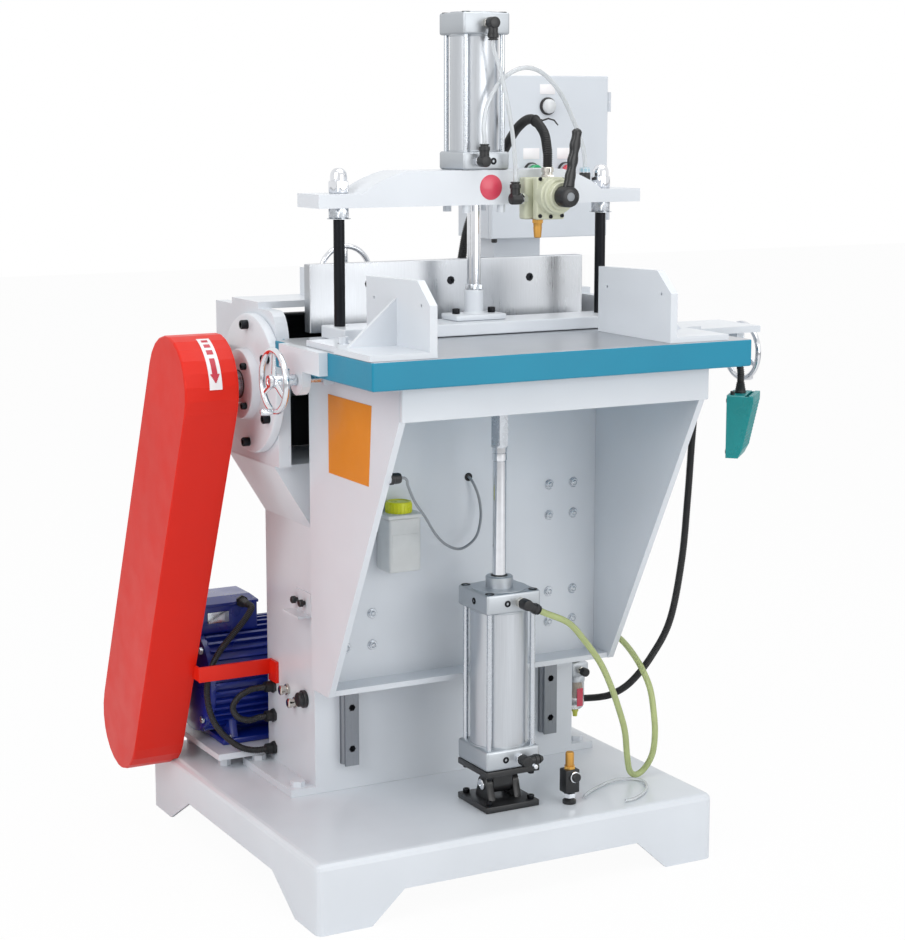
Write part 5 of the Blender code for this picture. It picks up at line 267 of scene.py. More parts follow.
nylon = moulded("black_nylon", "#1C1D1F", 0.40)
conduit_nylon = moulded("black_conduit_nylon", "#18191B", 0.46)
lever_plastic = moulded("black_lever_plastic", "#1E1F21", 0.28)
belt_rubber = moulded("black_belt_rubber", "#1F1F20", 0.70, 0.0002)
grey_sheath = moulded("grey_cable_sheath", "#8E9398", 0.42)
clear_tube = moulded("clear_polyurethane_tube", "#E9EDF0", 0.16, 0.00002, 0.45, 1.45)
green_hose = moulded("yellow_green_hose", "#C6D294", 0.18, 0.00002, 0.35, 1.45)
clear_bowl = moulded("clear_polycarbonate", "#E8ECEE", 0.08, 0.00001, 0.70, 1.58)
milky_tank = moulded("milky_polyethylene", "#E7EAEA", 0.35, 0.00004, 0.20)
valve_casting = enamel("olive_grey_valve_enamel", "#C9CCB4", 0.34, 0.00012)
green_button = moulded("green_button_plastic", "#14A064", 0.20)
red_button = moulded("red_button_plastic", "#D83A4C", 0.20)
lamp_lens = moulded("white_lamp_lens", "#F0F3F6", 0.14, 0.00001, 0.30)
cap_yellow = moulded("yellow_valve_cap", "#D8DC10", 0.30)
collar_blue = moulded("pale_blue_collar", "#A9CBD8", 0.30)
yellow_drain = moulded("yellow_green_drain", "#C8CC5A", 0.30)
pedal_teal = moulded("teal_pedal_plastic", "#008E90", 0.30)
print("finishes so far:", len(bpy.data.materials))

# %% [markdown]
# ## A workbench for mesh pieces
#
# Real machine parts are turned, milled, cast or drawn, so the pieces are made the same ways: a
# profile spun round an axis, a block with its edges broken, a plate cut from an outline, and a
# section drawn along a path. Each piece gathers such forms in one mesh, in the machine's own
# frame, with a finish for each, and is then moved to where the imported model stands.

# %% The workbench
X, Y, Z = Vector((1, 0, 0)), Vector((0, 1, 0)), Vector((0, 0, 1))
CORNER_PER_FLAT = 1.1547        # a hexagon's width over corners to its width across flats


def turns(count, sweep=2 * math.pi):
    """Angles from zero, spread evenly over the sweep, without its end."""
    return [sweep * i / count for i in range(count)]


def across(way):
    """Two unit vectors square to way and to each other."""
    way = Vector(way).normalized()
    side = way.cross(Z if abs(way.z) < 0.9 else X).normalized()
    return side, way.cross(side).normalized()


class Piece:
    """One mesh object in the making."""

    def __init__(self, name):
        self.name = name
        self.mesh = bmesh.new()
        self.made = self.mesh.faces.layers.int.new("made")
        self.finishes = []

    def give(self, finish):
        """Gives the finish to the faces that have none yet."""
        if finish not in self.finishes:
            self.finishes.append(finish)
        for face in self.mesh.faces:
            if not face[self.made]:
                face[self.made] = 1
                face.material_index = self.finishes.index(finish)

    def skin(self, rings, finish, ends=True):
        """Joins rings of points. A ring of one point is a tip."""
        made = [[self.mesh.verts.new(point) for point in ring] for ring in rings]
        for a, b in zip(made, made[1:]):
            count = max(len(a), len(b))
            for i in range(count):
                j = (i + 1) % count
                if len(a) == 1:
                    self.mesh.faces.new((a[0], b[i], b[j]))
                elif len(b) == 1:
                    self.mesh.faces.new((a[i], b[0], a[j]))
                else:
                    self.mesh.faces.new((a[i], b[i], b[j], a[j]))
        if ends:
            for ring in (made[0], made[-1]):
                if len(ring) > 2:
                    self.mesh.faces.new(ring)
        self.give(finish)

    def turned(self, profile, centre, way, finish, sides=48):
        """Spins (radius, along) or (radius, along, corners) round way. Corners make it a nut."""
        side, other = across(way)
        way, centre = Vector(way).normalized(), Vector(centre)
        rings = []
        for radius, along, *corners in profile:
            middle = centre + way * along
            if radius <= 0:
                rings.append([middle])
                continue
            ring = []
            for turn in turns(sides):
                reach = radius
                if corners:
                    wedge = 2 * math.pi / corners[0]
                    reach = radius / math.cos((turn + wedge / 2) % wedge - wedge / 2)
                ring.append(middle + (side * math.cos(turn) + other * math.sin(turn)) * reach)
            rings.append(ring)
        self.skin(rings, finish)

    def block(self, low, high, finish, edge=0.002, segments=2):
        """A box from its low corner to its high one, with its edges rounded."""
        low, high = Vector(low), Vector(high)
        made = bmesh.ops.create_cube(self.mesh, size=1)["verts"]
        for vertex in made:
            vertex.co = [low[i] + (vertex.co[i] + 0.5) * (high[i] - low[i]) for i in range(3)]
        if edge:
            edges = list({e for vertex in made for e in vertex.link_edges})
            bmesh.ops.bevel(self.mesh, geom=edges, offset=edge, segments=segments,
                            affect="EDGES", profile=0.5)
        self.give(finish)

    def slab(self, outline, way, near, far, finish, edge=0.001):
        """A plate from an outline of 3-D points in one plane, from near to far along way."""
        way = Vector(way).normalized()
        points = [Vector(point) for point in outline]
        rings = []
        middle = sum(points, Vector()) / len(points)
        for along, inset in ((near, edge), (near + edge, 0), (far - edge, 0), (far, edge)):
            ring = []
            for point in points:
                inward = middle - point
                inward -= way * inward.dot(way)
                ring.append(point + way * along + inward.normalized() * inset)
            rings.append(ring)
        self.skin(rings, finish)

    def tube(self, path, radii, finish, sides=20):
        """A round section along a path. Radii is one radius or one for each place."""
        path = [Vector(point) for point in path]
        if not isinstance(radii, (list, tuple)):
            radii = [radii] * len(path)
        way = (path[1] - path[0]).normalized()
        side = across(way)[0]
        rings = []
        for i, point in enumerate(path):
            way = (path[min(i + 1, len(path) - 1)] - path[max(i - 1, 0)]).normalized()
            side = (side - way * side.dot(way)).normalized()
            other = way.cross(side)
            rings.append([point + (side * math.cos(t) + other * math.sin(t)) * radii[i]
                          for t in turns(sides)])
        self.skin(rings, finish)

    def socket_screw(self, seat, way, radius, height, finish=black_oxide):
        """A cap screw with a hexagon socket."""
        key = radius * 0.52
        self.turned([(radius * 0.96, 0), (radius, height * 0.06), (radius, height * 0.88),
                     (radius * 0.9, height), (key * 1.15, height), (key, height * 0.94, 6),
                     (key, height * 0.45, 6), (0, height * 0.40)], seat, way, finish, 24)

    def button_screw(self, seat, way, radius, height, finish):
        """A washer with a round-headed screw on it."""
        self.turned([(radius * 1.25, 0), (radius * 1.25, height * 0.16),
                     (radius * 1.18, height * 0.22), (radius * 0.86, height * 0.22),
                     (radius * 0.86, height * 0.45), (radius * 0.74, height * 0.78),
                     (radius * 0.46, height), (radius * 0.40, height), (radius * 0.38, height, 6),
                     (radius * 0.38, height * 0.55, 6), (0, height * 0.5)], seat, way, finish, 24)

    def nut(self, seat, way, half, height, finish):
        """A hexagon nut with both faces chamfered. Half is half of its width across flats."""
        corner = half * CORNER_PER_FLAT
        self.turned([(half * 0.9, 0), (half, 0.0005), (half, height * 0.1, 6),
                     (half, height * 0.86, 6), (min(half * 1.02, corner), height),
                     (half * 0.62, height), (0, height * 0.98)], seat, way, finish, 36)

    def done(self, body, replaces=()):
        """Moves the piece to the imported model's place and hands it to the frame."""
        bmesh.ops.recalc_face_normals(self.mesh, faces=self.mesh.faces)
        self.mesh.transform(Matrix.Translation(to_row))
        data = bpy.data.meshes.new(self.name)
        self.mesh.to_mesh(data)
        self.mesh.free()
        data.shade_smooth()
        data.set_sharp_from_angle(angle=math.radians(34))
        for finish in self.finishes:
            data.materials.append(finish)
        piece = bpy.data.objects.new(self.name, data)
        bpy.context.scene.collection.objects.link(piece)
        if body:
            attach(piece, body)
        if replaces:
            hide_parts(*replaces)
        return piece


# %% [markdown]
# ## Hoses and cables
#
# The machine's lines are fixed lengths that hang and lie between two fittings. Their routes are
# the CAD model's: straight out of a fitting, then one smooth curve, then straight into the
# next. A smooth curve through a few points is a Catmull-Rom curve, which passes through every
# point that it is given. The section is then drawn along it: plain for air hose, and ribbed
# every 3.5 mm for the slotted conduit that the electrical lines run in.

# %% Routes
def smooth_route(port, way, through, far_port, far_way, diameter):
    """Fine places from port to far_port, both in the machine's frame."""
    first, last = Vector(port), Vector(far_port)
    inner = [first + Vector(way).normalized() * diameter]
    inner += [Vector(point) for point in through]
    inner += [last + Vector(far_way).normalized() * diameter]
    way_in = (inner[0] - first).normalized()
    way_out = (last - inner[-1]).normalized()
    ends = [inner[1] - way_in * (inner[1] - inner[0]).length * 2] + inner
    ends.append(inner[-2] + way_out * (inner[-1] - inner[-2]).length * 2)
    fine = []
    for a, b, c, d in zip(ends, ends[1:], ends[2:], ends[3:]):
        for i in range(24):
            t = i / 24
            fine.append((b * 2 + (c - a) * t + (a * 2 - b * 5 + c * 4 - d) * t ** 2
                         + (b * 3 - a - c * 3 + d) * t ** 3) / 2)
    fine.append(inner[-1])
    return [first] + fine + [last]


def evenly(places, step):
    """The same path with places a step apart."""
    lengths = [0.0]
    for a, b in zip(places, places[1:]):
        lengths.append(lengths[-1] + (b - a).length)
    count = max(2, round(lengths[-1] / step))
    spaced, at = [], 0
    for i in range(count + 1):
        target = lengths[-1] * i / count
        while at < len(places) - 2 and lengths[at + 1] < target:
            at += 1
        span = lengths[at + 1] - lengths[at]
        spaced.append(places[at].lerp(places[at + 1], (target - lengths[at]) / span))
    return spaced, lengths[-1]


RIB_PITCH = 0.0035
RIB_SHAPE = (1.0, 1.0, 0.87, 0.87)      # shares of the radius over one rib
DRAWN_STEP, GUIDE_STEP = 0.005, 0.008   # between places on a plain line and on its guide


def make_cord(name, ends, through, diameter, finish, body, ribbed=False):
    """A hose or cable. Ends holds the two ports and the ways out of them."""
    port, way, far_port, far_way = ends
    path = smooth_route(port, way, through, far_port, far_way, diameter)
    spaced, length = evenly(path, RIB_PITCH / len(RIB_SHAPE) if ribbed else DRAWN_STEP)
    shape = RIB_SHAPE if ribbed else (1.0,)
    radii = [diameter / 2 * shape[i % len(shape)] for i in range(len(spaced))]
    piece = Piece(name + "_line")
    piece.tube(spaced, radii, finish, 16 if ribbed else 20)
    line = piece.done(body, (name,))
    guide = [tuple(point + to_row) for point in evenly(path, GUIDE_STEP)[0]]
    print(name, "is", round(length, 3), "m long")
    return line


# %% The eight lines
PRESS_TOP = (0, -0.171, 1.5198)
PRESS_FOOT = (-0.017, -0.171, 1.3389)
VALVE_SIDE = (0.045, -0.1738, 1.2716)
VALVE_TOP = (0.112, -0.1738, 1.2916)
BEAM_PORT = (0.236, -0.102, 1.2926)
LIFT_TOP = (0.0391, -0.278, 0.50575)
LIFT_FOOT = (0.0423, -0.278, 0.2263)
FILTER_PORT = (0.3083, 0.03, 0.3243)
TERMINALS = (-0.301, 0.2842, 0.44)
LOWER_MOTOR_PORT = (-0.3003, 0.19, 0.167)
LOOP_TOP = (-0.3003, 0.19, 0.292)
LOOP_FOOT = (-0.3003, 0.19, 0.233)
PEDAL_FOOT = (0.3003, 0.1, 0.205)
PEDAL_PORT = (0.466, -0.29, 0.8973)
CONDUIT_FOOT = (0.074, 0.085, 1.0719)
CABLE_HOLE = (0.013, -0.0543, 0.7193)
SWITCH = (-0.2757, -0.343, 0.7853)
LIFT_WAY = (0.8944, 0, -0.4472)

make_cord("lift_air_hose", (LIFT_TOP, LIFT_WAY, FILTER_PORT, Z), [
    (0.100, -0.280, 0.476), (0.139, -0.275, 0.436), (0.178, -0.267, 0.388),
    (0.210, -0.255, 0.336), (0.238, -0.243, 0.280), (0.256, -0.235, 0.235),
    (0.268, -0.225, 0.185), (0.281, -0.215, 0.149), (0.300, -0.209, 0.1365),
    (0.318, -0.212, 0.148), (0.324, -0.228, 0.180), (0.321, -0.240, 0.222),
    (0.318, -0.240, 0.262), (0.318, -0.226, 0.308), (0.318, -0.198, 0.340),
    (0.318, -0.160, 0.366), (0.318, -0.115, 0.384), (0.317, -0.070, 0.388),
    (0.312, -0.025, 0.382), (0.308, 0.010, 0.368), (0.308, 0.028, 0.348)],
    0.012, green_hose, "frame")
make_cord("clamp_tube_down", (PRESS_TOP, -Z, VALVE_SIDE, Z), [
    (0.010, -0.172, 1.480), (0.026, -0.174, 1.420), (0.038, -0.174, 1.360),
    (0.044, -0.174, 1.310)], 0.008, clear_tube, "knee")
make_cord("clamp_tube_up", (PRESS_FOOT, Z, BEAM_PORT, Z), [
    (-0.018, -0.170, 1.370), (-0.008, -0.168, 1.410), (0.022, -0.162, 1.450),
    (0.068, -0.153, 1.472), (0.115, -0.143, 1.466), (0.165, -0.127, 1.430),
    (0.204, -0.111, 1.380), (0.229, -0.103, 1.335)], 0.008, clear_tube, "knee")
make_cord("switch_cable", (CABLE_HOLE, -Y, SWITCH, X), [
    (0.020, -0.074, 0.700), (0.027, -0.078, 0.672), (0.024, -0.086, 0.640),
    (0.006, -0.098, 0.610), (-0.034, -0.116, 0.597), (-0.075, -0.136, 0.612),
    (-0.110, -0.158, 0.640), (-0.156, -0.206, 0.684), (-0.199, -0.250, 0.722),
    (-0.240, -0.305, 0.762), (-0.258, -0.335, 0.779)], 0.005, grey_sheath, "knee")
valve_conduit = make_cord("valve_conduit", (CONDUIT_FOOT, Z, VALVE_TOP, Z), [
    (0.078, 0.083, 1.130), (0.087, 0.075, 1.185), (0.102, 0.045, 1.250),
    (0.115, 0.000, 1.315), (0.120, -0.050, 1.365), (0.121, -0.100, 1.382),
    (0.118, -0.148, 1.360), (0.113, -0.170, 1.329)], 0.018, conduit_nylon, None,
    ribbed=True)
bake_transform(valve_conduit)
pedal_cord = make_cord("pedal_cord", (PEDAL_FOOT, X, PEDAL_PORT, Z), [
    (0.330, 0.092, 0.206), (0.348, 0.060, 0.214), (0.354, 0.005, 0.230),
    (0.350, -0.050, 0.252), (0.350, -0.110, 0.290), (0.362, -0.160, 0.350),
    (0.378, -0.200, 0.431), (0.385, -0.226, 0.554), (0.386, -0.240, 0.674),
    (0.390, -0.245, 0.790), (0.397, -0.245, 0.870), (0.403, -0.248, 0.925),
    (0.418, -0.256, 0.960), (0.438, -0.270, 0.970), (0.456, -0.282, 0.957)],
    0.014, conduit_nylon, None, ribbed=True)
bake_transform(pedal_cord)
make_cord("motor_feed_cord", (TERMINALS, -Y, LOWER_MOTOR_PORT, -X), [
    (-0.300, 0.254, 0.437), (-0.318, 0.242, 0.420), (-0.344, 0.235, 0.397),
    (-0.374, 0.229, 0.370), (-0.393, 0.226, 0.344), (-0.404, 0.226, 0.316),
    (-0.408, 0.226, 0.286), (-0.405, 0.222, 0.252), (-0.394, 0.215, 0.220),
    (-0.371, 0.207, 0.191), (-0.346, 0.197, 0.173)], 0.013, conduit_nylon, "frame",
    ribbed=True)
make_cord("side_loop_cord", (LOOP_TOP, -X, LOOP_FOOT, -X), [
    (-0.333, 0.193, 0.289), (-0.355, 0.197, 0.276), (-0.366, 0.198, 0.257),
    (-0.356, 0.197, 0.237), (-0.334, 0.193, 0.229)], 0.013, conduit_nylon, "frame",
    ribbed=True)

# %% [markdown]
# ## Where the lines go in
#
# Air lines end in push-in elbows: a threaded stem with a hexagon, a nylon body that swivels on
# it and a release collar. Cables and conduits end in glands: a nut and a sleeve that tapers
# onto the cable, with grooves that let it bend.

# %% Push-in elbows and glands
ELBOW_ARM, ELBOW_RISE = 0.0303, 0.022   # from the port to the stem's axis, and to its seat


def elbow(piece, port, way, normal, stem=nickel):
    """A swivel elbow whose arm ends at port. Normal points out of what it is screwed into."""
    way, normal = Vector(way).normalized(), Vector(normal).normalized()
    middle = Vector(port) - way * ELBOW_ARM
    seat = middle - normal * ELBOW_RISE
    piece.turned([(0.0085, 0, 6), (0.0088, 0.001, 6), (0.0088, 0.0085, 6), (0.0080, 0.0095),
                  (0.0068, 0.0095), (0.0068, 0.013)], seat, normal, stem, 36)
    piece.turned([(0.0090, 0.0105), (0.0104, 0.012), (0.0104, 0.029), (0.0094, 0.0312),
                  (0.0060, 0.0320), (0, 0.0322)], seat, normal, nylon, 32)
    piece.turned([(0.0088, 0), (0.0088, 0.018), (0.0101, 0.0188), (0.0101, 0.0252),
                  (0.0092, 0.0262)], middle, way, nylon, 32)
    piece.turned([(0.0072, 0.0258), (0.0072, 0.0278), (0.0088, 0.0280), (0.0088, 0.0296),
                  (0.0078, 0.0304), (0.0050, 0.0304)], middle, way, nylon, 32)


GLAND_NUT, GLAND_RINGS = 0.0055, 6      # the nut's height, and the rings of the sleeve


def gland(piece, seat, way, radius, cord_radius, length):
    """A cable gland: a hexagon, and a grooved sleeve that tapers to the cable."""
    profile = [(radius * 0.98, 0), (radius, 0.0006), (radius, 0.004), (radius * 0.92, 0.0046)]
    piece.nut(seat, way, radius * 1.08, GLAND_NUT, nylon)
    pitch = (length - GLAND_NUT) / GLAND_RINGS
    for i in range(GLAND_RINGS):
        share = i / (GLAND_RINGS - 1)
        sleeve = radius * 0.95 + (cord_radius * 1.06 - radius * 0.95) * share
        start = GLAND_NUT + pitch * i
        profile += [(sleeve, start), (sleeve, start + pitch * 0.62),
                    (sleeve * 0.93, start + pitch * 0.66), (sleeve * 0.93, start + pitch * 0.94)]
    profile.append((cord_radius * 1.01, length))
    piece.turned(profile, seat, way, nylon, 28)


fittings = Piece("air_fittings_on_knee")
elbow(fittings, PRESS_TOP, -Z, -Y)
elbow(fittings, PRESS_FOOT, Z, -Y, chrome)
elbow(fittings, VALVE_SIDE, Z, -X, chrome)
on_beam = (0.236, -0.102, 1.2543)
fittings.turned([(0.0105, 0, 6), (0.0105, 0.008, 6), (0.0090, 0.009), (0.0090, 0.016)],
                on_beam, Z, chrome, 36)
fittings.turned([(0.0100, 0.016), (0.0104, 0.018), (0.0104, 0.028), (0.0092, 0.030)],
                on_beam, Z, nylon, 32)
fittings.turned([(0.0082, 0.030), (0.0098, 0.031), (0.0098, 0.036), (0.0086, 0.0385),
                 (0.0050, 0.0385)], on_beam, Z, collar_blue, 32)
fittings.done("knee")

# %% [markdown]
# ## Solids that keep their CAD shape
#
# Sheet and plate parts already have the right form, so they keep their solids and take a
# finish. The table is the exception that needs two: its top and lip are one casting, painted
# on the sides and ground bare on top, so the face's own direction chooses between them.

# %% The painted table with its ground top
def table_finish():
    """Teal enamel, with ground steel on each face that looks up."""
    finish, tree, space = start_finish("teal_enamel_with_ground_top")
    facing = add(tree, "ShaderNodeSeparateXYZ", {}, {
        "Vector": add(tree, "ShaderNodeNewGeometry").outputs["Normal"]})
    upward = add(tree, "ShaderNodeMath", {"operation": "GREATER_THAN"},
                 {0: facing.outputs["Z"], 1: 0.9}).outputs["Value"]
    scratches = streaks(tree, space, [per_metre(70), per_metre(1.8), per_metre(10)])
    steel = ramp(tree, scratches, [linear("#A9ADB2"), linear("#CDD0D4")])
    teal = ramp(tree, noise(tree, space, 150, 3), [linear("#007E9E"), linear("#008BAA")])
    colour = add(tree, "ShaderNodeMix", {"data_type": "RGBA"}, {0: upward, 6: teal, 7: steel})
    return surface(finish, tree, {
        "Base Color": colour.outputs[2], "Metallic": upward,
        "Roughness": between(tree, scratches, 0.26, 0.46),
        "Normal": bump(tree, scratches, 0.00003, 0.4)})


# %% Finishes of the kept solids
kept = {
    white_enamel: ["base_frame", "column", "head_frame", "motor_plate", "knee_back_plate",
                   "knee_gussets", "clamp_beam", "stop_arm_left", "stop_arm_right",
                   "stop_left", "stop_right", "press_bar"],
    cabinet_enamel: ["cabinet_post", "cabinet_box", "cabinet_door"],
    red_enamel: ["belt_guard", "guard_back_plate"],
    # The chip hood's black is painted shade: a black sheet fills the shaded space between the
    # head's walls behind the cutters.
    black_enamel: ["chip_hood"],
    rail_steel: ["guide_rail_left", "guide_rail_right"],
    milled_aluminium: ["fence_plate"],
    table_finish(): ["table_plate"],
    belt_rubber: ["drive_belt"],
    black_oxide: ["spindle_pulley", "motor_pulley"],
}
for finish, names in kept.items():
    for name in names:
        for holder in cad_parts[name].material_slots:
            holder.material = finish
print("kept solids:", sum(len(names) for names in kept.values()))

# %% [markdown]
# ## Air cylinders
#
# Two tie-rod air cylinders move the machine: a 100 mm bore lifts the knee, and an 80 mm bore
# clamps the board. Each is a drawn aluminium barrel held between two die-cast heads by four
# long steel ties. The heads' corners are rounded, each tie ends in a recessed socket nut, and
# small cushion screws sit beside the ports. Blocks with broken edges and turned forms make all
# of that.

# %% A tie-rod cylinder
def cylinder(piece, centre, levels, half, barrel, tie, inset, neck=None):
    """Levels are the four heights of the heads' faces, from the lowest up."""
    foot, inner_low, inner_top, top = levels
    cx, cy = centre
    for low, high in ((foot, inner_low), (inner_top, top)):
        piece.block((cx - half, cy - half, low), (cx + half, cy + half, high), head_aluminium,
                    half * 0.09, 3)
        piece.turned([(half * 0.93, 0), (half * 0.93, high - low + 0.002)],
                     (cx, cy, low - 0.001), Z, head_aluminium, 64)
    piece.turned([(barrel, 0), (barrel, inner_top - inner_low)], (cx, cy, inner_low), Z,
                 barrel_aluminium, 96)
    for end, way in ((inner_low, Z), (inner_top, -Z)):
        piece.turned([(barrel + 0.0012, -0.001), (barrel + 0.0012, 0.002), (barrel, 0.003)],
                     (cx, cy, end), way, head_aluminium, 96)
    reach = half - inset
    for dx in (-reach, reach):
        for dy in (-reach, reach):
            spot = Vector((cx + dx, cy + dy, 0))
            piece.turned([(tie, 0), (tie, inner_top - inner_low + 0.002)],
                         spot + Z * (inner_low - 0.001), Z, zinc, 24)
            for height, way in ((top, Z), (foot, -Z)):
                piece.turned([(tie * 1.75, -0.002), (tie * 1.75, 0.0004), (tie * 1.6, 0.0009),
                              (tie * 1.1, 0.0009), (tie * 0.95, 0.0009, 6),
                              (tie * 0.95, -0.004, 6), (0, -0.0045)],
                             spot + Z * height, way, black_oxide, 24)
    if neck:
        radius, rise = neck
        piece.turned([(radius, -0.002), (radius, rise - 0.002), (radius - 0.002, rise),
                      (radius * 0.66, rise), (radius * 0.60, rise - 0.003)], (cx, cy, top), Z,
                     head_aluminium, 64)
        piece.turned([(radius * 0.60, rise - 0.006), (radius * 0.60, rise + 0.0012),
                      (radius * 0.53, rise + 0.002)], (cx, cy, top), Z, nylon, 48)


def cushion_screw(piece, spot, way):
    """The small sunk screw that sets how softly the piston stops."""
    piece.turned([(0.0062, -0.001), (0.0062, 0.0006), (0.0046, 0.0012), (0.0026, 0.0012),
                  (0.0022, -0.001, 6), (0, -0.0012)], spot, way, black_oxide, 24)


# %% The lift cylinder, its rod and its clevis
PIN_HEIGHT, EAR_RADIUS = 0.1663, 0.018
half_circle = turns(16, math.pi) + [math.pi]
lift = Piece("lift_air_cylinder")
cylinder(lift, (0, -0.2), (0.2073, 0.2453, 0.5003, 0.5383), 0.056, 0.053, 0.005, 0.011,
         (0.025, 0.022))
cushion_screw(lift, (-0.014, -0.256, 0.519), -Y)
cushion_screw(lift, (-0.016, -0.256, 0.226), -Y)
cushion_screw(lift, (-0.056, -0.206, 0.519), -X)
elbow(lift, LIFT_TOP, LIFT_WAY, -Y)
elbow(lift, LIFT_FOOT, X, -Y, chrome)
lift.turned([(0.0066, 0), (0.0066, 0.0035), (0.0050, 0.004), (0.0050, 0.006)],
            Vector(LIFT_FOOT) - X * 0.0005, X, nylon, 24)
lift.turned([(0.0040, 0), (0.0040, 0.008), (0.0030, 0.009), (0, 0.009)],
            (0.012, -0.3095, 0.2263), -Y, chrome, 24)
lift.block((-0.056, -0.256, 0.1954), (0.056, -0.144, 0.2072), black_enamel, 0.002)
tongue = [(0, -0.2 - EAR_RADIUS * math.cos(t), PIN_HEIGHT - EAR_RADIUS * math.sin(t))
          for t in half_circle]
tongue += [(0, -0.182, 0.1965), (0, -0.218, 0.1965)]
lift.slab(tongue, X, -0.0202, 0.0202, black_enamel, 0.0015)
for dx in (-0.044, 0.044):
    for dy in (-0.044, 0.044):
        lift.socket_screw((dx, -0.2 + dy, 0.1954), -Z, 0.006, 0.006)
lift.done("frame", ["lift_cylinder"])

lift_rod = Piece("lift_piston_rod")
lift_rod.turned([(0.049, 0), (0.050, 0.001), (0.050, 0.028), (0.0125, 0.029), (0.0125, 0.345),
                 (0.0115, 0.3455), (0.0115, 0.347), (0.0133, 0.3475), (0.0135, 0.349),
                 (0.0135, 0.3600), (0.0120, 0.3605), (0.0120, 0.3618), (0.0135, 0.3623),
                 (0.0135, 0.3705)], (0, -0.2, 0.4265), Z, chrome, 64)
lift_rod.turned([(0.0148, 0), (0.0150, 0.001), (0.0150, 0.006, 6), (0.0150, 0.172, 6),
                 (0.0150, 0.1785)], (0, -0.2, 0.7972), Z, zinc, 48)
lift_rod.done("knee", ["lift_rod"])

clevis = Piece("clevis_bracket")
clevis.block((-0.056, -0.256, 0.1283), (0.056, -0.144, 0.1403), black_enamel, 0.002)
for side in (-1, 1):
    ear = [(0, -0.2 - EAR_RADIUS * math.cos(t), PIN_HEIGHT + EAR_RADIUS * math.sin(t))
           for t in half_circle]
    ear += [(0, -0.174, 0.1400), (0, -0.226, 0.1400)]
    near, far = sorted((side * 0.0205, side * 0.0345))
    clevis.slab(ear, X, near, far, black_enamel, 0.0015)
    clevis.turned([(0.0105, 0), (0.0110, 0.0005), (0.0110, 0.0032), (0.0098, 0.0040),
                   (0.0030, 0.0040), (0.0022, 0.0030), (0, 0.0030)],
                  (side * 0.0345, -0.2, PIN_HEIGHT), X * side, chrome, 36)
    for dy in (-0.044, 0.044):
        clevis.socket_screw((side * 0.044, -0.2 + dy, 0.1403), Z, 0.0065, 0.0075)
clevis.done("frame", ["clevis_foot"])

# %% [markdown]
# ## The clamp
#
# The clamp's cylinder stands on the beam, and its chromed rod goes down through the beam to the
# press bar. Two blackened studs carry the beam, with a hexagon nut under it and a domed cap nut
# above. The rod ends in a flanged foot that is screwed to the bar.

# %% The clamp cylinder, rod, foot and studs
press = Piece("clamp_air_cylinder")
cylinder(press, (0, -0.102), (1.2926, 1.3246, 1.5306, 1.5696), 0.047, 0.044, 0.0045, 0.010)
cushion_screw(press, (0.020, -0.149, 1.552), -Y)
cushion_screw(press, (0.014, -0.149, 1.308), -Y)
press.done("knee", ["clamp_cylinder"])

rod = Piece("clamp_piston_rod")
rod.turned([(0.0125, 0), (0.0125, 0.3046), (0.040, 0.3050), (0.0407, 0.3060), (0.0407, 0.333),
            (0.0395, 0.3344)], (0, -0.102, 1.0324), Z, chrome, 64)
rod.nut((0, -0.102, 1.0756), Z, 0.015, 0.0098, zinc)
rod.done("clamp", ["clamp_rod"])

foot = Piece("clamp_rod_foot")
foot.block((-0.052, -0.132, 1.0211), (0.052, -0.072, 1.0321), white_enamel, 0.0025)
foot.turned([(0.0205, 0), (0.0175, 0.0035), (0.0175, 0.0415), (0.0165, 0.0429),
             (0.0140, 0.0429)], (0, -0.102, 1.0321), Z, white_enamel, 48)
for side in (-1, 1):
    foot.socket_screw((side * 0.037, -0.102, 1.0321), Z, 0.007, 0.0098)
foot.done("clamp", ["clamp_foot"])

for side, name in ((-1, "left"), (1, "right")):
    spot = Vector((side * 0.271, -0.102, 0))
    stud = Piece(f"clamp_stud_{name}_bar")
    stud.turned([(0.0096, 0), (0.0100, 0.001), (0.0100, 0.2685)], spot + Z * 0.9858, Z,
                black_oxide, 40)
    stud.nut(spot + Z * 1.2108, Z, 0.017, 0.0189, zinc)
    stud.turned([(0.0210, 0), (0.0210, 0.0012)], spot + Z * 1.2098, Z, zinc, 40)
    stud.turned([(0.0160, 0), (0.0168, 0.0008), (0.0170, 0.003, 6), (0.0170, 0.0195, 6),
                 (0.0168, 0.0215), (0.0150, 0.0222), (0.0150, 0.0290), (0.0142, 0.0345),
                 (0.0118, 0.0395), (0.0080, 0.0428), (0.0035, 0.0439), (0, 0.0440)],
                spot + Z * 1.2546, Z, chrome, 48)
    stud.done("knee", [f"clamp_stud_{name}"])
print("clamp done")

# %% [markdown]
# ## Handwheels
#
# Three chromed handwheels set the two side stops and the fence. Each has a round rim, a
# turned hub with a set screw, flat spokes that widen towards the hub, and a small turning knob
# in the rim. They ride on their own bodies, so they turn with their screws.

# %% A chromed handwheel
RIM_RADIUS, RIM_HALF, SPOKES = 0.0525, 0.0054, 3


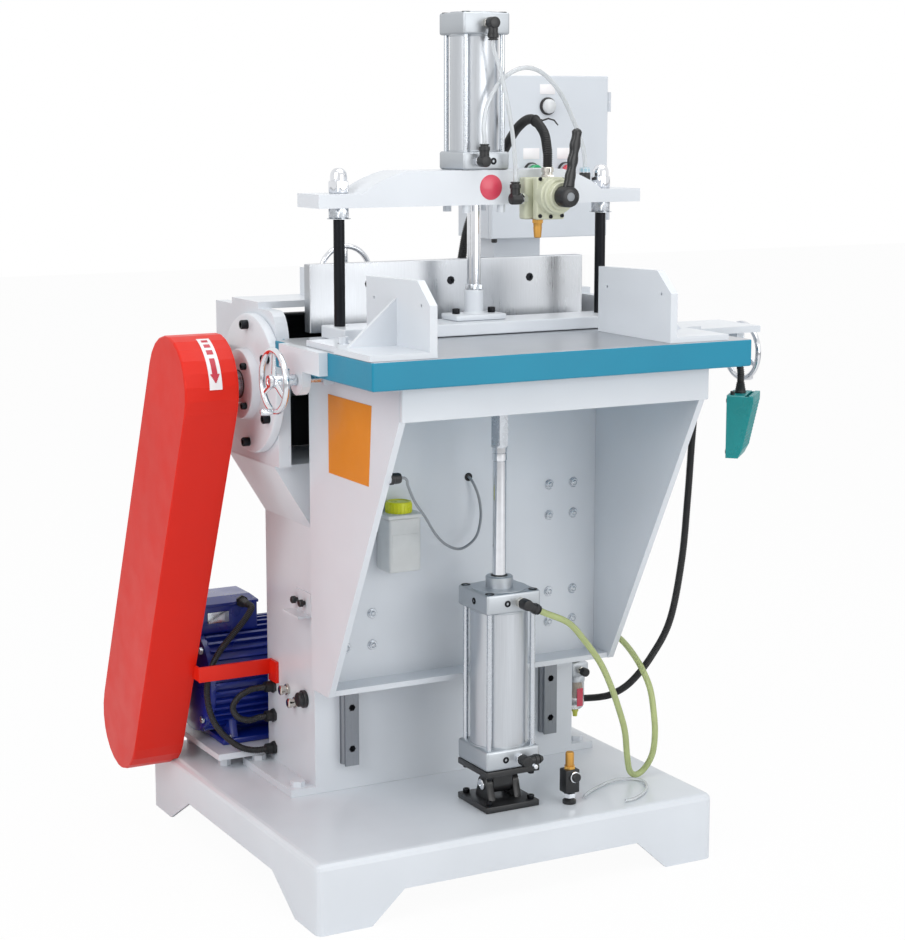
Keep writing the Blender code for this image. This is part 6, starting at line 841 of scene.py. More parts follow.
def handwheel(name, centre, outward, screw):
    """Screw is (radius, reach, boss length), measured inward from the wheel's middle."""
    centre, outward = Vector(centre), Vector(outward)
    level = outward.cross(Z)
    wheel = Piece(name + "_chromed")
    section = []
    for t in turns(72):
        radial = level * math.cos(t) + Z * math.sin(t)
        section.append([centre + radial * (RIM_RADIUS + RIM_HALF * math.cos(s))
                        + outward * RIM_HALF * math.sin(s) for s in turns(16)])
    wheel.skin(section + [section[0]], chrome, ends=False)
    bmesh.ops.remove_doubles(wheel.mesh, verts=wheel.mesh.verts, dist=0.000001)
    wheel.turned([(0.0100, -0.011), (0.0118, -0.0105), (0.0120, -0.008), (0.0120, 0.008),
                  (0.0108, 0.0108), (0.0062, 0.0110), (0.0055, 0.0098), (0, 0.0098)], centre,
                 outward, chrome, 48)
    for turn in turns(SPOKES):
        radial = Z * math.cos(turn) - level * math.sin(turn)
        tangent = outward.cross(radial)
        near, far = centre + radial * 0.0095, centre + radial * 0.0500
        rings = []
        for spot, half, thick in ((near, 0.0075, 0.0045), (near.lerp(far, 0.4), 0.0058, 0.0036),
                                  (far, 0.0050, 0.0030)):
            rings.append([spot + tangent * half * math.cos(s) + outward * thick * math.sin(s)
                          for s in turns(20)])
        wheel.skin(rings, chrome)
    grip = centre - Z * RIM_RADIUS
    wheel.turned([(0.0042, 0), (0.0042, 0.006), (0.0056, 0.007), (0.0060, 0.011),
                  (0.0060, 0.020), (0.0052, 0.0245), (0.0030, 0.0258), (0, 0.026)], grip,
                 outward, chrome, 32)
    wheel.turned([(0.0024, 0), (0.0024, 0.0026), (0, 0.0026)], centre + Z * 0.0108
                 - outward * 0.003, Z, black_oxide, 16)
    radius, reach, boss = screw
    wheel.turned([(radius, 0), (radius, reach - 0.002), (radius * 0.7, reach)], centre,
                 -outward, zinc, 32)
    wheel.turned([(0.0098, 0.0105), (0.0100, 0.012), (0.0100, 0.0105 + boss)], centre, -outward,
                 zinc, 36)
    wheel.done(name, [name])
    print(name, "has", SPOKES, "spokes")


handwheel("handwheel_left", (-0.4328, -0.18, 0.9413), -X, (0.0069, 0.1226, 0.029))
handwheel("handwheel_right", (0.5478, -0.18, 0.9413), X, (0.0069, 0.2376, 0.004))
handwheel("fence_handwheel", (-0.1, 0.234, 1.0856), Y, (0.0079, 0.1690, 0.040))

# %% [markdown]
# ## Spindle, bearings and cutters
#
# The cutter spindle runs in two flanged housings bolted to the head's walls. Fourteen grooving
# cutters sit on it with spacers between them. A grooving cutter is a thick steel disc with
# eight relieved teeth: each tooth's back falls away from its edge, and a gullet in front of the
# next one takes the chip. Small carbide tips are brazed to the tooth faces.

# %% Bearing housings
for side, name in ((-1, "left"), (1, "right")):
    way = X * side
    face = Vector((side * 0.3563, 0.075, 0.9053))
    housing = Piece(f"bearing_housing_{name}_cast")
    housing.turned([(0.068, -0.030), (0.0695, -0.029), (0.0695, 0.0), (0.1265, 0.0),
                    (0.128, 0.0015), (0.128, 0.0130), (0.1265, 0.0165), (0.123, 0.0180),
                    (0.070, 0.0180), (0.067, 0.0195), (0.0645, 0.0205), (0.0645, 0.0345),
                    (0.0630, 0.0370), (0.0605, 0.0380), (0.036, 0.0380), (0.034, 0.0365),
                    (0.0265, 0.0365)], face, way, white_enamel, 96)
    housing.turned([(0.0262, 0.030), (0.0262, 0.0372), (0.0246, 0.0378)], face, way, nylon, 48)
    for count, circle, seat, radius, height in ((6, 0.108, 0.0180, 0.0085, 0.013),
                                                (4, 0.051, 0.0380, 0.0065, 0.009)):
        for i in range(count):
            turn = 2 * math.pi * (i + 0.5) / count
            spot = face + way * seat + Y * circle * math.cos(turn) + Z * circle * math.sin(turn)
            housing.socket_screw(spot, way, radius, height)
    housing.done("frame", [f"bearing_housing_{name}"])

# %% Arbor and cutters
arbor_low, arbor_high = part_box("spindle_arbor")
stack_low, stack_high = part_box("cutter_stack")
arbor_left, arbor_right = arbor_low.x - to_row.x, arbor_high.x - to_row.x
stack_left, stack_right = stack_low.x - to_row.x, stack_high.x - to_row.x
axis = Vector((0, 0.075, 0.9053))
GUARD_SIDE = -0.4421            # where the arbor's step for the pulley starts
arbor = Piece("spindle_arbor_turned")
arbor.turned([(0.0185, arbor_left), (0.019, arbor_left + 0.001), (0.019, GUARD_SIDE),
              (0.024, GUARD_SIDE + 0.001), (0.024, -0.3256), (0.030, -0.3246),
              (0.030, stack_left - 0.0165), (0.039, stack_left - 0.0163),
              (0.040, stack_left - 0.0150), (0.040, stack_left - 0.0003),
              (0.0297, stack_left - 0.0002), (0.0297, stack_right + 0.0002),
              (0.040, stack_right + 0.0003), (0.040, stack_right + 0.0150),
              (0.039, stack_right + 0.0163), (0.030, stack_right + 0.0165), (0.030, 0.3246),
              (0.024, 0.3256), (0.024, arbor_right - 0.002), (0.022, arbor_right),
              (0.006, arbor_right), (0.003, arbor_right - 0.004), (0, arbor_right - 0.004)],
             axis, X, cutter_steel, 64)
arbor.done("spindle", ["spindle_arbor"])

cutters = Piece("grooving_cutters")
CUTTERS, TEETH = 14, 8
STACK_MIDDLE, CUTTER_PITCH = -0.0225, 0.028
STAGGER = 0.06                  # turn of every second cutter, as a share of a tooth
step = 2 * math.pi / TEETH
for number in range(CUTTERS):
    middle = STACK_MIDDLE + CUTTER_PITCH * (number - (CUTTERS - 1) / 2)
    stagger = STAGGER * (number % 2)
    outline = []
    for tooth in range(TEETH):
        start = step * (tooth + stagger)
        shape = [(0.0900, 0.0), (0.0872, 0.12), (0.0835, 0.28), (0.0785, 0.45), (0.0715, 0.60),
                 (0.0655, 0.72), (0.0630, 0.82), (0.0640, 0.90), (0.0700, 0.955),
                 (0.0860, 0.985)]
        outline += [axis + (Y * math.cos(start + step * share) + Z * math.sin(start + step * share))
                    * radius for radius, share in shape]
    rings = []
    for along, inset in ((-0.006, 0.0006), (-0.0054, 0), (0.0054, 0), (0.006, 0.0006)):
        rings.append([p - (p - axis).normalized() * inset + X * (middle + along)
                      for p in outline])
    hub = [axis + (Y * math.cos(t) + Z * math.sin(t)) * 0.0303
           for t in turns(len(outline))]
    low_hub = [p - X * 0.006 + X * middle for p in hub]
    high_hub = [p + X * 0.006 + X * middle for p in hub]
    cutters.skin([low_hub] + rings + [high_hub], cutter_steel, ends=False)
    cutters.turned([(0.0378, -0.0078), (0.0380, -0.0070), (0.0380, 0.0070), (0.0378, 0.0078)],
                   axis + X * (middle + CUTTER_PITCH / 2 if number < CUTTERS - 1 else middle), X,
                   black_oxide, 40)
    for tooth in range(TEETH):
        turn = step * (tooth + stagger) - 0.010
        radial = Y * math.cos(turn) + Z * math.sin(turn)
        back = radial.cross(X)
        low_end, high_end = axis + radial * 0.0775 + X * middle, axis + radial * 0.0897 + X * middle
        rings = [[spot + X * dx + back * db for dx, db in ((-0.0062, 0), (0.0062, 0),
                                                            (0.0062, 0.0022), (-0.0062, 0.0022))]
                 for spot in (low_end, high_end)]
        cutters.skin(rings, zinc)
cutters.done("spindle", ["cutter_stack"])

# %% [markdown]
# ## The motor
#
# A foot-mounted induction motor in dark blue enamel stands on an adjusting plate behind the
# guard. Its cast body has shallow cooling fins along its length, with end shields bolted on
# and a fan cowl at the far end. The terminal box on top has a lid that slopes at the sides.

# %% Motor with fins, shields and terminal box
motor = Piece("induction_motor")
motor_axis = Vector((0, 0.35, 0.285))
FINS = 40
star = []
for fin in range(FINS):
    for share, radius in ((0.0, 0.1005), (0.30, 0.1005), (0.36, 0.1095), (0.64, 0.1095),
                          (0.70, 0.1005)):
        turn = 2 * math.pi * (fin + share) / FINS
        star.append((radius, turn))
rings = [[motor_axis + X * x + (Y * math.cos(t) + Z * math.sin(t)) * r for r, t in star]
         for x in (-0.3825, -0.2165)]
motor.skin(rings, blue_enamel)
motor.turned([(0.020, -0.402), (0.060, -0.402), (0.064, -0.3995), (0.085, -0.3985),
              (0.092, -0.397), (0.106, -0.392), (0.1062, -0.3815), (0.1035, -0.3805)],
             motor_axis, X, blue_enamel, 72)
motor.turned([(0.1035, -0.2180), (0.1062, -0.2170), (0.1062, -0.188), (0.104, -0.180),
              (0.096, -0.170), (0.088, -0.1672), (0.020, -0.1670), (0, -0.1670)], motor_axis, X,
             blue_enamel, 72)
for i in range(9):
    radius = 0.020 + 0.0075 * i
    motor.turned([(radius, -0.1672), (radius + 0.0012, -0.1662), (radius + 0.0034, -0.1662),
                  (radius + 0.0046, -0.1672)], motor_axis, X, blue_enamel, 60)
for i in range(4):
    turn = math.pi / 4 + math.pi / 2 * i
    spot = motor_axis + (Y * math.cos(turn) + Z * math.sin(turn)) * 0.098
    motor.nut(spot + X * -0.3945, -X, 0.0065, 0.006, zinc)
motor.block((-0.3645, 0.255, 0.1646), (-0.2045, 0.445, 0.1766), blue_enamel, 0.003)
for dy in (-0.070, 0.070):
    leg = [(0, 0.35 + dy * 1.25, 0.1760), (0, 0.35 + dy * 0.62, 0.1760),
           (0, 0.35 + dy * 0.55, 0.215), (0, 0.35 + dy * 1.05, 0.232)]
    motor.slab(leg, X, -0.345, -0.330, blue_enamel, 0.001)
    motor.slab(leg, X, -0.240, -0.225, blue_enamel, 0.001)
    for x in (-0.350, -0.220):
        motor.nut((x, 0.35 + dy * 1.2, 0.1766), Z, 0.0075, 0.007, zinc)
motor.block((-0.332, 0.315, 0.170), (-0.237, 0.385, 0.285), blue_enamel, 0.003)
motor.block((-0.3920, 0.3025, 0.380), (-0.2670, 0.3975, 0.4365), blue_enamel, 0.004, 3)
lid = [[Vector((x, y, z)) for x, y in ((-0.3935, 0.3012), (-0.2655, 0.3012),
                                       (-0.2655, 0.3988), (-0.3935, 0.3988))]
       for z in (0.4352, 0.4402)]
lid.append([Vector((x, y, 0.4520)) for x, y in ((-0.3800, 0.3160), (-0.2790, 0.3160),
                                                (-0.2790, 0.3840), (-0.3800, 0.3840))])
motor.skin(lid, blue_enamel)
for x in (-0.3855, -0.2735):
    for y in (0.3085, 0.3915):
        motor.socket_screw((x, y, 0.4420), Z, 0.0032, 0.0028, zinc)
gland(motor, (-0.301, 0.3030, 0.440), -Y, 0.0102, 0.0065, 0.034)
motor.block((-0.3740, 0.3000, 0.4020), (-0.3290, 0.3020, 0.4240), zinc, 0.0006)
motor.done("frame", ["motor"])
print("motor has", FINS, "fins")

# %% [markdown]
# ## The hand valve
#
# The clamp is worked by a hand valve screwed to the front of the beam. It is a small zinc
# casting in three layers: a body, a thin middle plate and a front plate held by black socket
# screws. A stepped round hub stands out of it and carries a black plastic lever with a wavy
# grip. Air leaves through a brass silencer below.

# %% Valve body and hub
valve = Piece("hand_valve_cast")
valve.block((0.0675, -0.1690, 1.2035), (0.1100, -0.1473, 1.2790), valve_casting, 0.004, 3)
valve.block((0.0860, -0.1735, 1.2050), (0.1385, -0.1500, 1.2775), valve_casting, 0.003, 3)
valve.block((0.0790, -0.1925, 1.2035), (0.1380, -0.1765, 1.2790), valve_casting, 0.0035, 3)
valve.block((0.0840, -0.1780, 1.2065), (0.1350, -0.1720, 1.2760), valve_casting, 0.001)
hub = Vector((0.112, -0.1925, 1.2463))
valve.turned([(0.034, -0.002), (0.034, 0.0150), (0.0325, 0.0170), (0.0312, 0.0175),
              (0.0310, 0.0190), (0.0310, 0.0245), (0.0290, 0.0262), (0.0255, 0.0265),
              (0.0250, 0.0280), (0.0250, 0.0335), (0.0235, 0.0356), (0, 0.0356)], hub, -Y,
             valve_casting, 72)
for dx, dz in ((-0.0265, 0.030), (-0.0265, -0.036), (0.020, 0.0285), (0.0195, -0.036),
               (-0.004, -0.0375), (-0.0045, 0.0285)):
    valve.socket_screw(hub + X * dx + Z * dz + Y * 0.0005, -Y, 0.0036, 0.0030)
valve.turned([(0.0095, 0, 6), (0.0095, 0.006, 6), (0.0080, 0.0064), (0.0080, 0.010),
              (0.0074, 0.012), (0.0080, 0.014), (0.0066, 0.032), (0.0050, 0.033), (0, 0.033)],
             (0.092, -0.1738, 1.2033), -Z, sintered_bronze, 36)
valve.turned([(0.0110, 0, 6), (0.0110, 0.0045, 6), (0.0095, 0.0050), (0.0095, 0.0090),
              (0.0112, 0.0095), (0.0112, 0.0165), (0.0098, 0.0180)], (0.112, -0.1738, 1.2788),
             Z, nickel, 36)
valve.done("knee", ["hand_valve"])

# %% The lever with its wavy grip
lever = Piece("valve_lever_moulded")
pivot = Vector((0.112, -0.2286, 1.2463))
lever.turned([(0.0180, 0), (0.0190, 0.0010), (0.0190, 0.0225), (0.0178, 0.0262),
              (0.0150, 0.0278), (0.0085, 0.0280), (0.0080, 0.0268), (0.0078, 0.0268)], pivot,
             -Y, lever_plastic, 56)
lever.turned([(0.0078, 0.0240), (0.0078, 0.0272), (0.0066, 0.0276), (0, 0.0276)], pivot, -Y,
             grey_sheath, 40)
lean = math.radians(9)
along = Vector((math.sin(lean), 0, math.cos(lean)))
level = Vector((math.cos(lean), 0, -math.sin(lean)))
rings = []
for i in range(57):
    share = i / 56
    reach = 0.004 + 0.118 * share
    wave = 0.0011 * math.sin(2 * math.pi * (share * 4.2 + 0.1)) if 0.22 < share < 0.95 else 0
    half = 0.0125 - 0.0035 * min(share / 0.25, 1) + wave
    deep = 0.0074
    if share > 0.93:
        fall = math.sqrt(max(1 - ((share - 0.93) / 0.07) ** 2, 0.0))
        half, deep = max(half * fall, 0.0004), max(deep * fall, 0.0004)
    spot = pivot - Y * (0.0140 + 0.002 * share) + along * reach
    rings.append([spot + level * half * math.copysign(abs(math.cos(s)) ** 0.8, math.cos(s))
                  + Y * deep * math.copysign(abs(math.sin(s)) ** 0.8, math.sin(s))
                  for s in turns(28)])
lever.skin(rings, lever_plastic)
lever.done("valve_lever", ["valve_lever"])

tie = Piece("conduit_zip_tie")
tie_spot = Vector((0.1205, -0.115, 1.3790))
ring = [tie_spot + (Z * math.cos(t) + X * math.sin(t)) * 0.0099
        for t in turns(32) + [2 * math.pi]]
tie.tube(ring, 0.0013, nylon, 8)
tie.block(tie_spot + Vector((0.0085, -0.003, -0.0032)), tie_spot + Vector((0.0135, 0.003, 0.0032)),
          nylon, 0.0008)
tie.tube([tie_spot + Vector((0.012, -0.002, 0)), tie_spot + Vector((0.024, -0.006, 0.004)),
          tie_spot + Vector((0.034, -0.010, 0.001)), tie_spot + Vector((0.040, -0.014, -0.008))],
         [0.0016, 0.0016, 0.0015, 0.0012], nylon, 8)
tie.done("knee")

# %% [markdown]
# ## Air filter, exhaust valve and oil tank
#
# The air comes in through a filter whose clear bowl shows its element, and drains at the
# bottom. A quick exhaust valve with a bronze muffler stands on the base in front of the
# column. A milky plastic tank under the table holds oil for the slides.

# %% Air filter
unit = Piece("air_filter_unit")
under_head, side_port = (0.3083, 0.03, 0.2660), (0.3083, 0.0105, 0.2900)
unit.block((0.2824, 0.012, 0.2660), (0.2890, 0.048, 0.3040), white_enamel, 0.0015)
unit.block((0.2885, 0.0105, 0.2760), (0.3280, 0.0495, 0.3058), head_aluminium, 0.005, 3)
unit.turned([(0.0190, -0.001), (0.0190, 0.010), (0.0180, 0.0115)], under_head, Z,
            head_aluminium, 48)
unit.turned([(0.0180, 0.0010), (0.0180, -0.048), (0.0165, -0.054), (0.0120, -0.0590),
             (0.0075, -0.0605)], under_head, Z, clear_bowl, 48)
unit.turned([(0.0085, 0.001), (0.0085, -0.034), (0.0060, -0.036), (0, -0.036)],
            under_head, Z, sintered_bronze, 32)
unit.turned([(0.0065, -0.0590), (0.0070, -0.0600), (0.0070, -0.0655), (0.0055, -0.0665),
             (0.0045, -0.0758), (0, -0.0760)], under_head, Z, yellow_drain, 32)
unit.block((0.3015, 0.0108, 0.2150), (0.3150, 0.0128, 0.2520), red_disc_finish, 0.0006)
unit.turned([(0.0085, 0, 6), (0.0085, 0.005, 6), (0.0098, 0.0056), (0.0102, 0.007),
             (0.0102, 0.0150), (0.0088, 0.0182), (0.0064, 0.0183)], (0.3083, 0.03, 0.3058), Z,
            nylon, 36)
unit.turned([(0.0070, 0, 6), (0.0070, 0.005, 6), (0.0060, 0.0056), (0.0060, 0.010)],
            side_port, -Y, nickel, 36)
unit.turned([(0.0075, 0.009), (0.0086, 0.010), (0.0086, 0.021), (0.0076, 0.0225),
             (0.0040, 0.0225)], side_port, -Y, nylon, 32)
unit.done("frame", ["air_filter"])

# %% Exhaust valve on the base
exhaust = Piece("quick_exhaust_valve")
spot = Vector((0.112, -0.270, 0.1283))
top_port, front_port = spot + Z * 0.0668, spot + Vector((0.002, -0.0128, 0.0540))
exhaust.turned([(0.0125, 0), (0.0128, 0.001), (0.0128, 0.006), (0.0100, 0.008),
                (0.0080, 0.010), (0.0080, 0.0225)], spot, Z, nylon, 36)
exhaust.turned([(0.0105, 0.0120, 6), (0.0105, 0.0200, 6), (0.0090, 0.0206)], spot, Z, chrome, 36)
exhaust.block(spot + Vector((-0.0148, -0.0128, 0.0220)), spot + Vector((0.0148, 0.0128, 0.0668)),
              nylon, 0.0028, 3)
exhaust.turned([(0.0098, 0), (0.0104, 0.0010), (0.0104, 0.0055), (0.0085, 0.0062)],
               front_port, -Y, chrome, 36)
exhaust.turned([(0.0080, 0.0055), (0.0086, 0.0062), (0.0086, 0.0105), (0.0070, 0.0125),
                (0, 0.0125)], front_port, -Y, nylon, 36)
exhaust.turned([(0.0095, 0, 6), (0.0095, 0.0055, 6), (0.0084, 0.0060)], top_port, Z,
               brass, 36)
exhaust.turned([(0.0078, 0.0055), (0.0080, 0.0070), (0.0080, 0.0290), (0.0068, 0.0318),
                (0, 0.0320)], top_port, Z, sintered_bronze, 36)
exhaust.done("frame", ["exhaust_valve"])

# %% Oil tank under the table
tank = Piece("slide_oil_tank")
tank_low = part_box("oil_tank")[0] - to_row
TANK_X, TANK_HALF, CAP_RIBS = -0.148, 0.033, 24
left, right = TANK_X - TANK_HALF, TANK_X + TANK_HALF
back, front = -0.0586, -0.1136
tank.block((left, front, tank_low.z), (right, back, 0.6650), milky_tank, 0.006, 3)
tank.block((left + 0.006, front - 0.0006, 0.5800), (right - 0.006, front + 0.002, 0.6350),
           milky_tank, 0.0008)
tank.block((left - 0.0035, front - 0.0035, 0.6640), (right + 0.0035, back, 0.6720), milky_tank,
           0.0025, 3)
tank.turned([(0.0240, 0), (0.0240, 0.0180), (0.0225, 0.0206), (0.0190, 0.0210), (0.0185, 0.0196),
             (0, 0.0196)], (TANK_X, (front + back) / 2, 0.6718), Z, cap_yellow, 48)
for turn in turns(CAP_RIBS):
    tank.turned([(0.0010, 0), (0.0010, 0.0160), (0, 0.0165)],
                (TANK_X + 0.0239 * math.cos(turn), (front + back) / 2 + 0.0239 * math.sin(turn),
                 0.6725), Z, cap_yellow, 6)
tank.done("knee", ["oil_tank"])

# %% [markdown]
# ## The foot pedal
#
# The pedal hangs by its own conduit at the right of the table, put away for transport. It is a
# teal plastic shoe with a ribbed rim and a tread plate with rows of round grip dots. The
# pieces are drawn upright round the cord's axis, then turned to face front right.

# %% Pedal shoe and dotted tread
def at_pedal(piece):
    """Moves a piece from the cord's axis to where the pedal hangs, turned to face out."""
    piece.mesh.transform(Matrix.Translation((0.466, -0.290, 0))
                         @ Matrix.Rotation(math.radians(-45), 4, "Z"))


shoe = Piece("foot_pedal_shoe")
profile = [(-0.019, 0.759), (-0.019, 0.877), (0.0155, 0.877), (0.0155, 0.8652),
           (0.0030, 0.7750), (-0.0052, 0.759)]
shoe.slab([(x, 0, z) for x, z in profile], Y, -0.0425, 0.0425, pedal_teal, 0.0018)
cheek = [(-0.0185, 0.7610), (-0.0185, 0.8755), (0.0225, 0.8755), (0.0225, 0.8640),
         (0.0075, 0.7790), (-0.0010, 0.7605)]
for side in (-1, 1):
    near, far = sorted((side * 0.0400, side * 0.0428))
    shoe.slab([(x, 0, z) for x, z in cheek], Y, near, far, pedal_teal, 0.0008)
for height in (0.770, 0.866):
    for y in (-0.030, 0.030):
        shoe.turned([(0.0050, 0), (0.0050, 0.0012), (0.0040, 0.0022), (0, 0.0022)],
                    (-0.0188, y, height), -X, nylon, 24)
shoe.turned([(0.0105, -0.001), (0.0105, 0.004), (0.0095, 0.0050), (0.0096, 0.0085),
             (0.0085, 0.0092), (0.0090, 0.0125), (0.0078, 0.0132), (0.0084, 0.0165),
             (0.0072, 0.0172), (0.0078, 0.0200)], (0, 0, 0.877), Z, nylon, 32)
shoe.turned([(0.0040, 0), (0.0040, 0.006), (0.0030, 0.007), (0, 0.007)],
            (-0.010, -0.030, 0.8770), Z, nylon, 20)
at_pedal(shoe)
shoe.done("knee", ["pedal_base"])

tread = Piece("foot_pedal_tread")
front_line = [(0.031, 0.877), (0.031, 0.865), (0.012, 0.775), (0.004, 0.759)]
back_line = [(0.022, 0.877), (0.022, 0.865), (0.003, 0.775), (-0.005, 0.759)]
tread.slab([(x, 0, z) for x, z in front_line + back_line[::-1]], Y, -0.0425, 0.0425, pedal_teal,
           0.0014)
top, low = Vector((0.031, 0, 0.865)), Vector((0.012, 0, 0.775))
out = Vector((0.978, 0, -0.207))
ROWS, COLUMNS, DOT_PITCH = 14, 11, 0.0072
for row in range(ROWS):
    for column in range(COLUMNS):
        y = DOT_PITCH * (column - (COLUMNS - 1) / 2)
        spot = top.lerp(low, (row + 0.5) / ROWS) + Y * y - out * 0.0004
        tread.turned([(0.0022, 0), (0.0021, 0.0007), (0.0014, 0.0012), (0, 0.0013)], spot, out,
                     pedal_teal, 10)
at_pedal(tread)
tread.done("pedal_tread", ["pedal_tread"])

# %% [markdown]
# ## Buttons and lamp
#
# A green start button and a red stop button sit in black bezels on the cabinet's door, under a
# white lamp. A push button's cap is dished on top so that a finger finds it.

# %% Push buttons and the lamp
for name, finish, slot in (("start_button", green_button, "green_plastic"),
                           ("stop_button", red_button, "red_plastic")):
    low, high = [corner - to_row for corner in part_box(name)]
    centre = (low + high) / 2
    cap = Piece(name + "_cap")
    cap.turned([(0.0080, 0), (0.0080, high.y - low.y - 0.0125)],
               (centre.x, high.y, centre.z), -Y, nylon, 32)
    cap.turned([(0.0128, 0.0130), (0.0133, 0.0120), (0.0133, 0.0022), (0.0120, 0.0006),
                (0.0100, 0.0002), (0.0070, 0.0012), (0, 0.0016)], (centre.x, low.y, centre.z),
               Y, finish, 48)
    cap.done(name, [name])
    bezel = Piece(name + "_bezel")
    bezel.turned([(0.0175, 0), (0.0175, 0.0030), (0.0165, 0.0060), (0.0150, 0.0063),
                  (0.0142, 0.0050), (0.0142, 0.0010)], (centre.x, 0.250, centre.z), -Y, nylon,
                 48)
    bezel.done("cabinet_door")
    plate = Piece(name + "_bare_label")
    plate.block((centre.x - 0.019, 0.2493, centre.z + 0.024),
                (centre.x + 0.019, 0.2502, centre.z + 0.046), strip_white, 0.0003)
    plate.done("cabinet_door")

door_low, door_high = [corner - to_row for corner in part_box("cabinet_door")]
LAMP_FROM_EDGE, LAMP_HEIGHT = 0.127875, 1.406038
lamp_spot = Vector((door_low.x + LAMP_FROM_EDGE, 0.250, LAMP_HEIGHT))
lamp_piece = Piece("cabinet_lamp")
lamp_piece.turned([(0.0178, 0), (0.0178, 0.0040), (0.0168, 0.0062), (0.0150, 0.0066)],
                  lamp_spot, -Y, nylon, 48)
lamp_piece.turned([(0.0148, 0.0050), (0.0148, 0.0090), (0.0138, 0.0120), (0.0100, 0.0146),
                   (0.0050, 0.0156), (0, 0.0158)], lamp_spot, -Y, lamp_lens, 48)
lamp_piece.block(lamp_spot + Vector((-0.018, -0.0007, 0.024)),
                 lamp_spot + Vector((0.018, 0.0002, 0.044)), strip_white, 0.0003)
lamp_piece.done("cabinet_door")

locks = Piece("cabinet_quarter_locks")
for x in (door_low.x + 0.012, door_high.x - 0.020):
    locks.turned([(0.0060, 0.0005), (0.0060, -0.006), (0.0048, -0.0075), (0, -0.0075)],
                 (x, 0.262, 1.1405), Z, nylon, 24)
locks.done("frame")

# %% [markdown]
# ## Screws and small hardware
#
# Real machines show every fastening. Zinc screws with washers hold the carriages to the knee's
# back plate, black ones hold the rails, and each cable enters through a black gland.

# %% Carriage screws and rail screws
screws = Piece("carriage_screws")
for side in (-1, 1):
    for height in (0.450, 0.660):
        for dx in (-0.027, 0.027):
            for dz in (-0.030, 0.030):
                screws.button_screw((side * 0.217 + dx, -0.0583, height + dz), -Y, 0.0078,
                                    0.0072, zinc)
screws.done("knee")

plugs = Piece("rail_screws")
RAIL_HOLES, FIRST_HOLE, HOLE_PITCH = 7, 0.214, 0.080
for side in (-1, 1):
    for i in range(RAIL_HOLES):
        height = FIRST_HOLE + HOLE_PITCH * i
        plugs.turned([(0.0068, 0), (0.0068, 0.0018), (0.0060, 0.0024), (0.0034, 0.0024),
                      (0.0030, 0.0006, 6), (0, 0.0006)],
                     (side * 0.217, -0.0145, height), -Y, black_oxide, 24)
plugs.done("frame")

# %% Glands on the column, the knee and the bridge
ports = Piece("frame_glands")
for spot in (LOWER_MOTOR_PORT, LOOP_TOP, LOOP_FOOT):
    gland(ports, Vector(spot) + X * 0.0180, -X, 0.0112, 0.0100, 0.0195)
gland(ports, (0.2823, 0.1, 0.205), X, 0.0108, 0.007, 0.030)
gland(ports, (0.074, 0.085, 1.0537), Z, 0.0135, 0.009, 0.030)
ports.done("frame")
knee_ports = Piece("knee_glands")
knee_ports.turned([(0.0102, 0), (0.0105, 0.0006), (0.0105, 0.0050), (0.0096, 0.0062),
                   (0.0093, 0.0160), (0.0086, 0.0190), (0.0040, 0.0192)],
                  (-0.2942, -0.343, 0.7853), X, nylon, 32)
knee_ports.turned([(0.0078, -0.0010), (0.0078, 0.0012), (0.0064, 0.0022), (0.0052, 0.0010)],
                  (0.013, -0.0583, 0.7193), -Y, nylon, 32)
knee_ports.done("knee")

# %% Bare orange plate, bare red disc and the turning-direction strip
tag = Piece("bare_gusset_plate")
tag.slab([(0, -0.126, 0.764), (0, -0.126, 0.905), (0, -0.300, 0.905), (0, -0.287, 0.764)], X,
         -0.3068, -0.3059, orange_plate_finish, 0.0003)
tag.done("knee")
disc = Piece("bare_beam_disc")
disc.turned([(0.0225, 0), (0.0225, 0.0005), (0.0222, 0.0007), (0, 0.0007)],
            (0.010, -0.1470, 1.2615), -Y, red_disc_finish, 72)
disc.done("knee")

STRIP_RADIUS = 0.0952


def on_rim(x, turn_deg, lift):
    """A place on the guard's rim. The turn is counted up from the front."""
    turn = math.radians(turn_deg)
    return axis + X * x + (Y * -math.cos(turn) + Z * math.sin(turn)) * (STRIP_RADIUS + lift)


def rim_patch(piece, x_low, x_high, start, end, lift, finish):
    """A thin patch that follows the guard's rim between two turns in degrees."""
    steps = max(2, int(abs(end - start) / 3))
    turns = [start + (end - start) * i / steps for i in range(steps + 1)]
    outline = [[on_rim(x_low, t, lift), on_rim(x_high, t, lift), on_rim(x_high, t, lift + 0.0004),
                on_rim(x_low, t, lift + 0.0004)] for t in turns]
    piece.skin(outline, finish)


strip = Piece("turning_direction_strip")
rim_patch(strip, -0.487, -0.463, 3, 70, 0.0, strip_white)
for start, end in ((62, 66), (53, 58), (43, 49)):
    rim_patch(strip, -0.481, -0.469, start, end, 0.0005, strip_red)
rim_patch(strip, -0.480, -0.470, 20, 38, 0.0005, strip_red)
HEAD_STEPS = 6                  # the arrow's head narrows in this many steps
for i in range(HEAD_STEPS):
    half = 0.0085 * (1 - i / HEAD_STEPS)
    rim_patch(strip, -0.475 - half, -0.475 + half, 20 - i * 1.6, 20 - (i + 1) * 1.6, 0.0005,
              strip_red)
strip.done("frame")

# %% Red guard strap with its hook
strap = Piece("guard_strap")
strap.block((-0.4360, 0.1946, 0.3164), (-0.2850, 0.1964, 0.3456), red_enamel, 0.0005)
hook = [Vector((-0.2860, 0.1952, 0.3320)), Vector((-0.2760, 0.1930, 0.3300)),
        Vector((-0.2700, 0.1880, 0.3220)), Vector((-0.2700, 0.1850, 0.3080)),
        Vector((-0.2740, 0.1850, 0.2960))]
strap.tube(hook, 0.0022, nylon, 10)
strap.done("frame")

